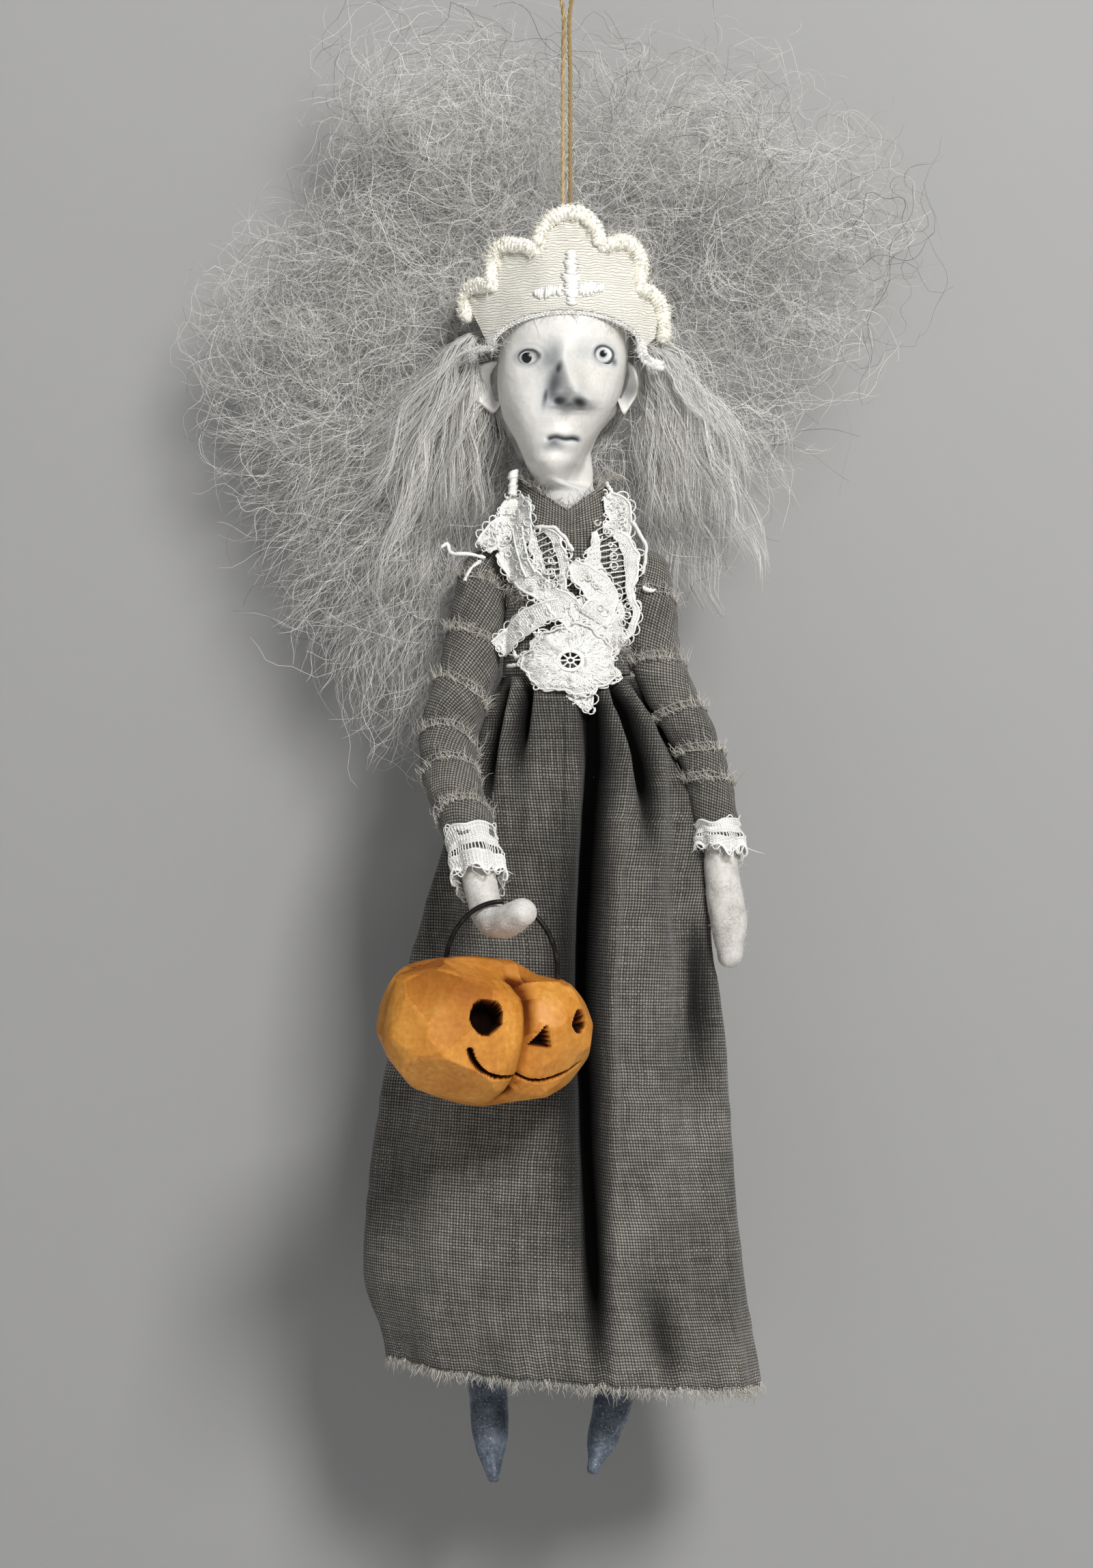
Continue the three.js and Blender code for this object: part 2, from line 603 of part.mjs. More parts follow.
// Gathered skirt: each fold is a valley that fans out from the waist.
// Bearing at the waist and at the hem, spread in degrees, and share of the fold depth.
const FOLDS = [
  [32, 8, 9, 1],
  [66, 50, 9, 0.85],
  [12, -8, 7, 0.25],
  [-34, -28, 8, 0.4],
  [-62, -58, 9, 0.75],
  [-95, -92, 10, 0.6],
  [-126, -130, 9, 0.8],
  [-158, -163, 9, 0.7],
  [165, 168, 9, 0.7],
  [132, 136, 9, 0.8],
  [100, 96, 9, 0.5],
];
function skirtPoint(share, bearing, inset) {
  const { width, depth, sway, flare } = skirtSection(share);
  const turn = degToRad(bearing);
  const [side, ahead] = [Math.sin(turn), Math.cos(turn)];
  let valley = 0;
  for (const [waist, hem, spread, deep] of FOLDS) {
    const away = THREE.MathUtils.euclideanModulo(bearing - lerp(waist, hem, Math.sqrt(share)) + 180, 360) - 180;
    valley += deep * bump(away, spread);
  }
  const reach = lerp(0.15, 1, smoothstep(share, 0, 0.22)) * lerp(1, 0.3, smoothstep(share, 0.45, 0.95));
  const depthIn = inset + FOLD_DEPTH * reach * Math.min(valley, 1.1);
  const half = width + flare * Math.max(0, side);
  const drop = share * (SKIRT_LENGTH + HEM_TILT * side) + GAP;
  return vec(sway + (half - depthIn) * side, -(depth - depthIn) * ahead, waistZ - drop);
}
const skirtRing = (share, inset) =>
  spaced(-180, 180, 61)
    .slice(0, -1)
    .map((bearing) => skirtPoint(share, bearing, inset));
const skirtShares = [0, 0.05, 0.12, 0.22, 0.38, 0.56, 0.78, 1];
const skirt = skin(
  [
    ...skirtShares.map((share) => skirtRing(share, 0)),
    ...skirtShares.map((share) => skirtRing(share, LINEN)).reverse(),
  ],
  { looped: true },
);
piece("skirt", skirt, COLOURS.linen, 0.95);

// Tape lace on the front: tapes that follow the dress, and a rosette over the waist seam
function tape(path, width, lift) {
  const curve = new THREE.CatmullRomCurve3(path.map(([x, z]) => vec(x, 0, z)));
  const rings = spaced(0, 1, 11).map((share) => {
    const middle = curve.getPoint(share);
    const along = curve.getTangent(share);
    const across = vec(-along.z, 0, along.x).multiplyScalar(width / 2);
    const edge = spaced(-1, 1, 4).map((side) => middle.clone().addScaledVector(across, side));
    const raised = (by) => edge.map((p) => vec(p.x, frontY(p.x, p.z) - by, p.z));
    return [...raised(lift + LACE), ...raised(lift).reverse()];
  });
  return skin(rings);
}
const laceLift = GAP + 0.25;
const collarTop = bodiceTopZ - 0.85 * NECK_VEE;
const collarPath = (side) => [
  [side * 0.36 * CHEST_WIDTH, collarTop],
  [side * 0.4 * CHEST_WIDTH, collarTop - 0.135 * BODICE_LENGTH],
  [side * (side > 0 ? 0.39 : 0.32) * CHEST_WIDTH, collarTop - 0.315 * BODICE_LENGTH],
  [side * (side > 0 ? 0.3 : 0.18) * CHEST_WIDTH, collarTop - 0.472 * BODICE_LENGTH],
  [side * 0.12 * CHEST_WIDTH, collarTop - 0.63 * BODICE_LENGTH],
];
piece("lace_collar_right", tape(collarPath(-1), TAPE_WIDTH, laceLift), COLOURS.lace, 0.95);
piece("lace_collar_left", tape(collarPath(1), TAPE_WIDTH, laceLift), COLOURS.lace, 0.95);
const leafPath = [
  [-0.45 * CHEST_WIDTH, waistZ + 0.213 * BODICE_LENGTH],
  [-0.36 * CHEST_WIDTH, waistZ + 0.202 * BODICE_LENGTH],
  [-0.25 * CHEST_WIDTH, waistZ + 0.18 * BODICE_LENGTH],
];
piece("lace_leaf", tape(leafPath, 0.9 * TAPE_WIDTH, laceLift), COLOURS.lace, 0.95);
const rosetteLift = laceLift + LACE + GAP;
const rosetteRing = (share, lift) =>
  spaced(0, 360, 25)
    .slice(0, -1)
    .map((bearing) => {
      const turn = degToRad(bearing);
      const reach = share * (1 + 0.08 * Math.cos(6 * turn));
      const x = 0.6 + reach * 0.36 * CHEST_WIDTH * Math.sin(turn);
      const z = waistZ + 3.4 + reach * 8.6 * Math.cos(turn);
      const seam = Math.min(frontY(x, z), frontY(x, z - 2.4), frontY(x, z + 2.4));
      return vec(x, seam - lift, z);
    });
const rosetteShares = [0.3, 0.65, 1];
const rosette = skin([
  ...rosetteShares.map((share) => rosetteRing(share, rosetteLift + LACE)),
  ...rosetteShares.map((share) => rosetteRing(share, rosetteLift)).reverse(),
]);
piece("lace_rosette", rosette, COLOURS.lace, 0.95);

// A limb's centre line and girth: points with a radius each
class Limb {
  constructor(stations) {
    this.stations = stations;
    this.curve = new THREE.CatmullRomCurve3(stations.map(([point]) => point), false, "centripetal");
    this.rows = stations.map(([, radius], i) => [i / (stations.length - 1), radius]);
  }

  radius(share) {
    return between(this.rows, share)[0];
  }

  // A ring square to the limb, with its points slid along by slant on one side.
  ring(share, radius, sides, slant = 0, slide = 0) {
    const centre = this.curve.getPoint(share);
    const along = this.curve.getTangent(share);
    const side = vec(1, 0, 0).addScaledVector(along, -along.x).normalize();
    const ahead = along.clone().cross(side);
    return spaced(0, 2 * Math.PI, sides + 1)
      .slice(0, -1)
      .map((turn) =>
        centre
          .clone()
          .addScaledVector(side, radius * Math.cos(turn))
          .addScaledVector(ahead, radius * Math.sin(turn))
          .addScaledVector(along, slide + slant * Math.cos(turn + 0.6)),
      );
  }

  // A round-ended stuffed form between two shares of the centre line.
  form(from, to, grow, sides, steps, domed = [true, true]) {
    const rings = spaced(from, to, steps).map((share) => this.ring(share, this.radius(share) + grow, sides));
    const poles = [from, to].map((share, i) => {
      const radius = this.radius(share) + grow;
      const sign = i === 0 ? -1 : 1;
      const rounds = [35, 65].map((tilt) => {
        const turn = degToRad(tilt);
        return this.ring(share, radius * Math.cos(turn), sides, 0, sign * radius * Math.sin(turn));
      });
      if (domed[i]) {
        if (i === 0) rings.unshift(...rounds.reverse());
        else rings.push(...rounds);
      }
      const reach = domed[i] ? sign * radius : 0;
      return this.curve.getPoint(share).addScaledVector(this.curve.getTangent(share), reach);
    });
    return skin(rings, { first: poles[0], last: poles[1] });
  }
}

// The bail hangs in the crook of the right hand: the pivot is the middle of its wire
const pumpkinBack = Math.hypot(
  (PUMPKIN_WIDTH / 2) * Math.sin(degToRad(PUMPKIN_TURN)),
  (PUMPKIN_DEPTH / 2) * Math.cos(degToRad(PUMPKIN_TURN)),
);
const pivotZ = shoulderZ - REACH_DROP;
const pumpkinDrop = BAIL_HEIGHT + 0.43 * PUMPKIN_HEIGHT;
const skirtFront = skirtSection(skirtShare(pivotZ - pumpkinDrop - 0.2 * PUMPKIN_HEIGHT)).depth;
const pivot = vec(-HAND_INSET, -(0.95 * skirtFront + 1 + pumpkinBack), pivotZ);
const fromPivot = (x, y, z) => pivot.clone().add(vec(x, y, z));
const armRadius = SLEEVE_RADIUS - LINEN - GAP - WRAP_STEP;
const crook = WRIST_RADIUS + BAIL_DIAMETER / 2 + GAP + 0.15;
// A place on the hook of the hand: bearing is counted from behind the bail, down and forwards.
const roundPivot = (x, bearing, reach) => {
  const turn = degToRad(bearing);
  return fromPivot(x, reach * crook * Math.cos(turn), -reach * crook * Math.sin(turn));
};
const upperZ = shoulderZ - 0.56 * ELBOW_DROP;
const elbowZ = shoulderZ - ELBOW_DROP;
const rightArm = new Limb([
  [shoulder(-1), armRadius],
  [beside(upperZ, -88, SLEEVE_RADIUS + 1.2), armRadius],
  [beside(elbowZ, -70, SLEEVE_RADIUS + 1.2), 0.96 * armRadius],
  [fromPivot(-6.3, 13, 11.4), 1.05 * WRIST_RADIUS],
  [roundPivot(-3.6, 8, 1.25), WRIST_RADIUS],
  [roundPivot(-2.2, 52, 1.06), WRIST_RADIUS],
  [roundPivot(-0.2, 95, 1), WRIST_RADIUS],
  [roundPivot(2.4, 142, 1.2), 1.06 * WRIST_RADIUS],
  [roundPivot(4.2, 178, 1.5), WRIST_RADIUS],
]);
const rightWrist = 3 / 8;

// The left arm lies along the skirt
const leftDrop = (share) => shoulderZ - share * LEFT_ARM_LENGTH;
const leftArm = new Limb([
  [shoulder(1), armRadius],
  [beside(leftDrop(0.26), 88, SLEEVE_RADIUS + 1.6), 0.96 * armRadius],
  [beside(leftDrop(0.47), 84, SLEEVE_RADIUS + 0.9), 0.9 * armRadius],
  [beside(leftDrop(0.66), 82, SLEEVE_RADIUS), 1.05 * WRIST_RADIUS],
  [beside(leftDrop(0.78), 78, 1.15 * WRIST_RADIUS + 1.4), 1.1 * WRIST_RADIUS],
  [beside(leftDrop(0.89), 76, 1.15 * WRIST_RADIUS + 1.2), 1.15 * WRIST_RADIUS],
  [beside(leftDrop(0.97), 76, 0.8 * WRIST_RADIUS + 1.4), 0.8 * WRIST_RADIUS],
]);
const leftWrist = 3 / 6;

// Builds one arm: felt core with its hand, wound sleeve, lace cuff and the wire inside.
function arm(name, limb, wrist) {
  const wireShares = spaced(0.1, 0.93, 14);
  const wirePath = wireShares.map((share) => limb.curve.getPoint(share));
  const top = limb.stations[0][0];
  const mouth = vec(top.x, top.y, top.z + limb.radius(0) + 3);
  const beyond = limb.curve.getPoint(0.93).addScaledVector(limb.curve.getTangent(0.93), GAP + 0.1);
  const channel = tube([mouth, top, ...wirePath, beyond], ARM_WIRE_DIAMETER + 0.6, 30, 6);
  const core = limb.form(0, 1, 0, 12, 17).subtract(channel).subtract(shoulderBore);
  piece("arm_" + name, core, COLOURS.felt, 0.98);
  piece("arm_wire_" + name, tube(wirePath, ARM_WIRE_DIAMETER, 24, 6), COLOURS.steel, 0.4, 1);

  const sides = 14;
  const outer = (share, step) => limb.radius(share) + GAP + LINEN + step;
  const domeRadius = SLEEVE_RADIUS;
  const rings = [65, 35].map((tilt) => {
    const turn = degToRad(tilt);
    return limb.ring(0, domeRadius * Math.cos(turn), sides, 0, -domeRadius * Math.sin(turn));
  });
  rings.push(limb.ring(0, domeRadius, sides));
  for (let wrap = 0; wrap < WRAPS; wrap++) {
    const start = (wrist * (wrap + 0.35)) / WRAPS;
    const end = wrap === WRAPS - 1 ? wrist : (wrist * (wrap + 1.32)) / WRAPS;
    const slant = wrap === WRAPS - 1 ? 0 : WRAP_SLANT;
    rings.push(limb.ring(start, outer(start, WRAP_STEP), sides, WRAP_SLANT));
    rings.push(limb.ring(end, outer(end, 0), sides, slant));
  }
  const capPole = top.clone().addScaledVector(limb.curve.getTangent(0), -domeRadius);
  const sleeve = skin(rings, { first: capPole }).subtract(limb.form(0, 1, GAP, 12, 17));
  piece("sleeve_" + name, sleeve.subtract(shoulderBore), COLOURS.linen, 0.95);

  const cuffSpan = CUFF_LENGTH / limb.curve.getLength();
  const cuffRing = (share, extra, flute) =>
    limb
      .ring(wrist, 1, 16)
      .map((_, i) => {
        const at = wrist + share * cuffSpan + 0.007;
        const radius = limb.radius(at) + GAP + 0.15 + extra * (1 + flute * Math.cos(i * 1.3));
        return limb.ring(at, radius, 16)[i];
      });
  const cuff = skin(
    [cuffRing(0, 1, 0), cuffRing(0.5, 1.7, 0.25), cuffRing(1, 1.3, 0.4), cuffRing(1, 0, 0), cuffRing(0.5, 0, 0), cuffRing(0, 0, 0)],
    { looped: true },
  );
  piece("cuff_" + name, cuff, COLOURS.lace, 0.95);
}
arm("right", rightArm, rightWrist);
arm("left", leftArm, leftWrist);

// Legs hang from the hip thread into pointed boots
function leg(name, side, footX, cover) {
  const hemZ = waistZ - SKIRT_LENGTH - (HEM_TILT * side * footX) / (HEM_WIDTH / 2);
  const bootTop = hemZ + cover;
  const ankleZ = bootTop - 7;
  const legForm = new Limb([
    [vec(side * hipX, 0, hipZ), LEG_RADIUS],
    [vec(side * lerp(hipX, footX, 0.45), 0, lerp(hipZ, ankleZ, 0.5)), 0.95 * LEG_RADIUS],
    [vec(side * footX, 0, ankleZ), 0.72 * LEG_RADIUS],
  ]);
  piece("leg_" + name, legForm.form(0, 1, 0, 10, 7).subtract(hipBore), COLOURS.calico, 0.95);

  const toeIn = side > 0 ? 4.6 : -1.2;
  const bootForm = new Limb([
    [vec(side * footX + 0.4 * side, 0, bootTop), 0.96 * BOOT_RADIUS],
    [vec(side * footX, -0.6, bootTop - 0.35 * BOOT_LENGTH), BOOT_RADIUS],
    [vec(side * footX - 0.5 * toeIn, -3.4, bootTop - 0.68 * BOOT_LENGTH), 0.82 * BOOT_RADIUS],
    [vec(side * footX - toeIn, -7, bootTop - 0.94 * BOOT_LENGTH), 0.34 * BOOT_RADIUS],
  ]);
  const room = legForm.form(0, 1, GAP, 10, 7);
  const boot = bootForm.form(0, 1, 0, 12, 9, [false, true]).subtract(room);
  piece("boot_" + name, boot, COLOURS.boot, 0.45);
}
leg("right", -1, RIGHT_FOOT, -1.6);
leg("left", 1, LEFT_FOOT, 2.4);

// Pumpkin: lobed body with a dented top, carved eyes, nose and grin
const LOBES = [
  [-9, 7, 0.08],
  [52, 8, 0.035],
  [-52, 8, 0.035],
  [104, 8, 0.04],
  [-104, 8, 0.04],
  [154, 8, 0.035],
  [-154, 8, 0.035],
];
const pumpkinCentre = fromPivot(-1.5, 0, -pumpkinDrop);
const pumpkinPose = new THREE.Matrix4().compose(
  pumpkinCentre,
  new THREE.Quaternion()
    .setFromAxisAngle(vec(0, 1, 0), degToRad(PUMPKIN_ROLL))
    .multiply(new THREE.Quaternion().setFromAxisAngle(vec(0, 0, 1), degToRad(PUMPKIN_TURN))),
  vec(1, 1, 1),
);
// A place on the pumpkin by bearing from its nose and height share, sunk by depth, in its own axes.
function onPumpkin(bearing, height, sink) {
  const girth = Math.max(0, 1 - Math.abs(height) ** 2.3) ** 0.5;
  const turn = degToRad(bearing);
  let groove = 0;
  for (const [at, spread, deep] of LOBES) {
    groove += deep * bump(THREE.MathUtils.euclideanModulo(bearing - at + 180, 360) - 180, spread);
  }
  const reach = girth * (1 - groove);
  const dent = height > 0 ? 2.4 * bump(girth, 0.3) : 0;
  return vec(
    (reach * PUMPKIN_WIDTH * Math.sin(turn)) / 2 - sink * Math.sin(turn),
    (-reach * PUMPKIN_DEPTH * Math.cos(turn)) / 2 + sink * Math.cos(turn),
    (height * PUMPKIN_HEIGHT) / 2 - dent,
  );
}
const inPose = (p) => p.applyMatrix4(pumpkinPose);
const pumpkinHeights = [0.985, 0.9, 0.74, 0.52, 0.27, 0, -0.27, -0.52, -0.74, -0.9, -0.985];
const pumpkinRings = pumpkinHeights.map((height) =>
  spaced(-180, 180, 33)
    .slice(0, -1)
    .map((bearing) => inPose(onPumpkin(bearing, height, 0))),
);
let pumpkin = skin(pumpkinRings);
for (const [bearing, height] of [[-27, 0.28], [28, 0.24]]) {
  const mouthEnd = inPose(onPumpkin(bearing, height, -5));
  const floor = inPose(onPumpkin(bearing, height, 6));
  pumpkin = pumpkin.subtract(rod(mouthEnd, floor, PUMPKIN_EYE / 2, 12));
}
const noseFront = inPose(onPumpkin(2, -0.02, -5));
const noseFloor = inPose(onPumpkin(2, -0.02, 3.5));
pumpkin = pumpkin.subtract(rod(noseFront, noseFloor, PUMPKIN_NOSE / 2, 3));
const grin = [-33, -24, -10, 5, 20, 33].map((bearing) => {
  const height = -0.27 - 0.2 * Math.cos(degToRad((bearing / 33) * 80));
  return inPose(onPumpkin(bearing, height, 0));
});
pumpkin = pumpkin.subtract(tube(grin, MOUTH_WIDTH, 20, 6));

// Wire bail: a half hoop with both feet set into the pumpkin
const footZ = -BAIL_HEIGHT;
const bailArc = spaced(0, 180, 13).map((tilt) => {
  const turn = degToRad(tilt);
  return fromPivot((-BAIL_WIDTH / 2) * Math.cos(turn), 0, footZ + BAIL_HEIGHT * Math.sin(turn));
});
const bailFoot = (side, depth) => fromPivot((side * BAIL_WIDTH) / 2, 0, footZ - depth);
for (const side of [-1, 1]) {
  const bore = rod(bailFoot(side, -6), bailFoot(side, BAIL_SEAT + GAP), BAIL_DIAMETER / 2 + 0.3, 10);
  pumpkin = pumpkin.subtract(bore);
}
piece("pumpkin", pumpkin, COLOURS.pumpkin, 0.65);
const bailPoints = [bailFoot(-1, BAIL_SEAT), ...bailArc, bailFoot(1, BAIL_SEAT)];
piece("bail_wire", tube(bailPoints, BAIL_DIAMETER, 26), COLOURS.wire, 0.45, 1);

export default doll;
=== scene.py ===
"""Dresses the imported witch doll: clay, mohair, linen, lace, felt and paint in the frame of its solids."""

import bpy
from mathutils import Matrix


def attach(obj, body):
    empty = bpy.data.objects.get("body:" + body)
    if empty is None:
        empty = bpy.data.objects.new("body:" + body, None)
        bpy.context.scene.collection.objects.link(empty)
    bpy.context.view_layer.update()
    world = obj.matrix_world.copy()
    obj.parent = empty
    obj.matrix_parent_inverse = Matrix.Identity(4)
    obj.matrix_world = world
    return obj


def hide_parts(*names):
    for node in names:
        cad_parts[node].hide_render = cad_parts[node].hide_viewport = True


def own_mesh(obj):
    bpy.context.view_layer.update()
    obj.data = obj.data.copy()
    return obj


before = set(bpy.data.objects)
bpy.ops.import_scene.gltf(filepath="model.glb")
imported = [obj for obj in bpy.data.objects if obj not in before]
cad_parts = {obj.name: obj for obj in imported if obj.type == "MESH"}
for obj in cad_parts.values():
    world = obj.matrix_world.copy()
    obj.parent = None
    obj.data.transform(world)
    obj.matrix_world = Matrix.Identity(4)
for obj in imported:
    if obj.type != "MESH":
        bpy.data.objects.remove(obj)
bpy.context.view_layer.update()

import logging
import math
from dataclasses import dataclass, field
from enum import Enum
from itertools import product
from typing import Sequence

import bpy
import numpy as np

MM = 0.001  # metres in a millimetre
Array = np.ndarray
Rng = np.random.Generator
Node = bpy.types.Node
Socket = bpy.types.NodeSocket
Tree = bpy.types.NodeTree
TAPE = 0.01  # width of the tape lace, in metres
BAIL_TOP = (-14.5, -41.426, -216.0)  # where the bail hangs in the right hand
log = logging.getLogger("witch_doll")


class Body(Enum):
    """The bodies that pieces ride on."""

    DOLL = "doll"
    RIGHT_ARM = "right_arm"
    LEFT_ARM = "left_arm"
    PAIL = "pumpkin_pail"
    RIGHT_LEG = "right_leg"
    LEFT_LEG = "left_leg"


class Side(Enum):
    """The doll's own right and left; the value is the sign of X."""

    RIGHT = -1
    LEFT = 1

    @property
    def label(self) -> str:
        """The side as names of pieces say it."""
        return self.name.lower()


# Measures and curves, in millimetres


def lerp(start, end, share):
    """Value at a share of the way from start to end."""
    return start + (end - start) * share


def smoothstep(value, low: float, high: float):
    """Smooth rise from 0 at low to 1 at high."""
    share = np.clip((np.asarray(value, float) - low) / (high - low), 0, 1)
    return share * share * (3 - 2 * share)


def bump(away, spread):
    """Bell of height 1 at no distance."""
    return np.exp(-0.5 * (np.asarray(away, float) / spread) ** 2)


def unit(vectors: Array) -> Array:
    """Vectors brought to length 1 along their last axis."""
    return vectors / np.maximum(np.linalg.norm(vectors, axis=-1, keepdims=True), 1e-9)


def level_out(points: Array) -> Array:
    """Directions away from the doll's upright middle line."""
    return unit(points * np.array([1, 1, 0]))


def off_axis(rings: Array) -> Array:
    """Directions away from the middle of each ring."""
    return unit(rings - rings.mean(1, keepdims=True))


def circle(many: int) -> Array:
    """Bearings once round, evenly apart."""
    return np.linspace(0, 2 * math.pi, many + 1)[:-1]


def wrapped(bearing: Array) -> Array:
    """Bearings brought to between minus and plus half a turn."""
    return np.angle(np.exp(1j * bearing))


def arc(line: Array) -> Array:
    """Length along a line up to each of its points."""
    return np.concatenate([[0], np.cumsum(np.linalg.norm(np.diff(line, axis=0), axis=1))])


def front_frame(line: Array) -> tuple:
    """Directions off a line at each of its points: to the front, and across."""
    along = unit(np.gradient(line, axis=0))
    normal = unit(np.array([0, -1.0, 0]) + along * along[:, 1:2])
    return normal, np.cross(along, normal)


def spline(points: Sequence, shares) -> Array:
    """Centripetal curve through points.

    Args:
        points: Places that the curve passes through.
        shares: Where to read it, from 0 at the first place to 1 at the last, places evenly apart.

    Returns:
        One point for each share.
    """
    known = np.asarray(points, float)
    last = len(known) - 1
    ends = np.vstack([2 * known[0] - known[1], known, 2 * known[-1] - known[-2]])
    at = np.clip(np.asarray(shares, float), 0, 1) * last
    i = np.minimum(at.astype(int), last - 1)
    w = (at - i)[:, None]
    p0, p1, p2, p3 = ends[i], ends[i + 1], ends[i + 2], ends[i + 3]
    d0, d1, d2 = [
        np.maximum(np.sum((b - a) ** 2, -1) ** 0.25, 1e-4)[:, None] for a, b in [(p0, p1), (p1, p2), (p2, p3)]
    ]
    t1 = ((p1 - p0) / d0 - (p2 - p0) / (d0 + d1) + (p2 - p1) / d1) * d1
    t2 = ((p2 - p1) / d1 - (p3 - p1) / (d1 + d2) + (p3 - p2) / d2) * d1
    return p1 + t1 * w + (3 * p2 - 3 * p1 - 2 * t1 - t2) * w**2 + (2 * p1 - 2 * p2 + t1 + t2) * w**3


def read_rows(rows: Sequence, at) -> Array:
    """Values at certain places, by a smooth curve through rows of place, value, value and so on."""
    table = np.asarray(rows, float)
    last = len(table) - 1
    at = np.asarray(at, float)
    i = np.clip(np.searchsorted(table[:, 0], at, side="right") - 1, 0, last - 1)
    s = ((at - table[i, 0]) / (table[i + 1, 0] - table[i, 0]))[..., None]
    before, start, end, after = [table[np.clip(i + n, 0, last), 1:] for n in (-1, 0, 1, 2)]
    tangents = (2 * s**3 - 3 * s**2 + 1) * start + (s**3 - 2 * s**2 + s) * (end - before) / 2
    return tangents + (3 * s**2 - 2 * s**3) * end + (s**3 - s**2) * (after - start) / 2


def lattice_noise(points: Array, seed: int) -> Array:
    """Smooth noise from -1 to 1.

    Args:
        points: Places, one lattice cell per unit.
        seed: Which noise.

    Returns:
        One value for each place.
    """
    cell = np.floor(points).astype(np.int64)
    part = points - cell
    part = part * part * (3 - 2 * part)
    total = np.zeros(points.shape[:-1])
    for corner in product((0, 1), repeat=3):
        key = cell + np.array(corner)
        mixed = key[..., 0] * 73856093 ^ key[..., 1] * 19349663 ^ key[..., 2] * 83492791 ^ (seed + 1) * 40503001
        mixed = (mixed ^ mixed >> 13) * 1274126177 & 0x7FFFFFFF
        value = ((mixed ^ mixed >> 15) & 0xFFFF) / 32767.5 - 1
        total = total + value * np.prod(np.where(np.array(corner) == 1, part, 1 - part), axis=-1)
    return total


def places(*coordinates) -> Array:
    """Places from their coordinates, each of which may be one value for all."""
    return np.stack(np.broadcast_arrays(*coordinates), -1)


def uneven(points: Array, *layers: tuple) -> Array:
    """Noise in layers, each of a strength, a size in millimetres and a seed."""
    return sum(strength * lattice_noise(points / np.asarray(size), seed) for strength, size, seed in layers)


# Surfaces


@dataclass
class Form:
    """Closed surfaces in millimetres, with what their finish reads.

    Faces are held by corner count, one array each; cloth and bake give each corner a place on the cloth
    and on the bake's own map; tone is a value for each point.
    """

    points: Array
    faces: list
    cloth: list | None = None
    tone: Array | None = None
    bake: list | None = None

    @staticmethod
    def join(forms: Sequence["Form"]) -> "Form":
        """One form of several, whose bake maps are laid out as tiles."""
        start, faces, cloth, bake = 0, [], [], []
        across = math.ceil(math.sqrt(len(forms)))
        for n, form in enumerate(forms):
            faces += [rows + start for rows in form.faces]
            cloth += form.cloth or [np.zeros((*rows.shape, 2)) for rows in form.faces]
            if form.bake:
                bake += [(rows + np.array([n % across, n // across])) / across for rows in form.bake]
            start += len(form.points)
        tones = [np.zeros(len(f.points)) if f.tone is None else f.tone for f in forms]
        whole = all(f.bake for f in forms)
        points = np.vstack([f.points for f in forms])
        return Form(points, faces, cloth, np.concatenate(tones), bake if whole else None)

    def plain(self) -> "Form":
        """The same form without places on the cloth."""
        self.cloth = None
        return self

    def volume(self) -> float:
        """Signed volume, below 0 where the faces point inwards."""
        total = 0.0
        for rows in self.faces:
            corners = self.points[rows]
            for i in range(1, rows.shape[1] - 1):
                a, b, c = corners[:, 0], corners[:, i], corners[:, i + 1]
                total += float(np.einsum("ij,ij->", a, np.cross(b, c)))
        return total / 6

    def outward(self) -> "Form":
        """The same form with its faces pointing out."""
        if self.volume() < 0:
            self.faces = [rows[:, ::-1] for rows in self.faces]
            self.cloth = [rows[:, ::-1] for rows in self.cloth] if self.cloth else None
            self.bake = [rows[:, ::-1] for rows in self.bake] if self.bake else None
        return self


def loft(rings: Array, cloth: Array | None = None, tone: Array | None = None, looped: bool = False) -> Form:
    """Surface over closed rings of points.

    Args:
        rings: Points by ring and by place round it.
        cloth: Places on the cloth, with one more round each ring than rings has.
        tone: A value for each point.
        looped: Joins the last ring to the first, as a wall with two sides; otherwise both ends are closed.

    Returns:
        The closed form.
    """
    count, round_it = rings.shape[:2]
    index = np.arange(count * round_it).reshape(count, round_it)
    rows = count if looped else count - 1
    low, high = index[:rows], np.roll(index, -1, 0)[:rows]
    faces = [np.stack([low, np.roll(low, -1, 1), np.roll(high, -1, 1), high], -1).reshape(-1, 4)]
    if cloth is None:
        cloth = np.zeros((count, round_it + 1, 2))
    next_cloth = np.roll(cloth, -1, 0)[:rows]
    here = cloth[:rows]
    corners = [np.stack([here[:, :-1], here[:, 1:], next_cloth[:, 1:], next_cloth[:, :-1]], 2).reshape(-1, 4, 2)]
    points = rings.reshape(-1, 3)
    tones = np.zeros(len(points)) if tone is None else np.asarray(tone, float).reshape(-1)
    if not looped:
        for ring, turn in [(0, 1), (-1, -1)]:
            pole = np.full(round_it, len(points))
            edge = index[ring]
            fan = np.stack([np.roll(edge, -1), edge, pole], -1)
            middle = np.broadcast_to(cloth[ring].mean(0), (round_it, 2))
            spots = np.stack([cloth[ring, 1:], cloth[ring, :-1], middle], 1)
            faces.append(fan if turn > 0 else fan[:, [1, 0, 2]])
            corners.append(spots if turn > 0 else spots[:, [1, 0, 2]])
            points = np.vstack([points, rings[ring].mean(0)])
            tones = np.append(tones, tones[edge].mean())
    return Form(points, faces, corners, tones)


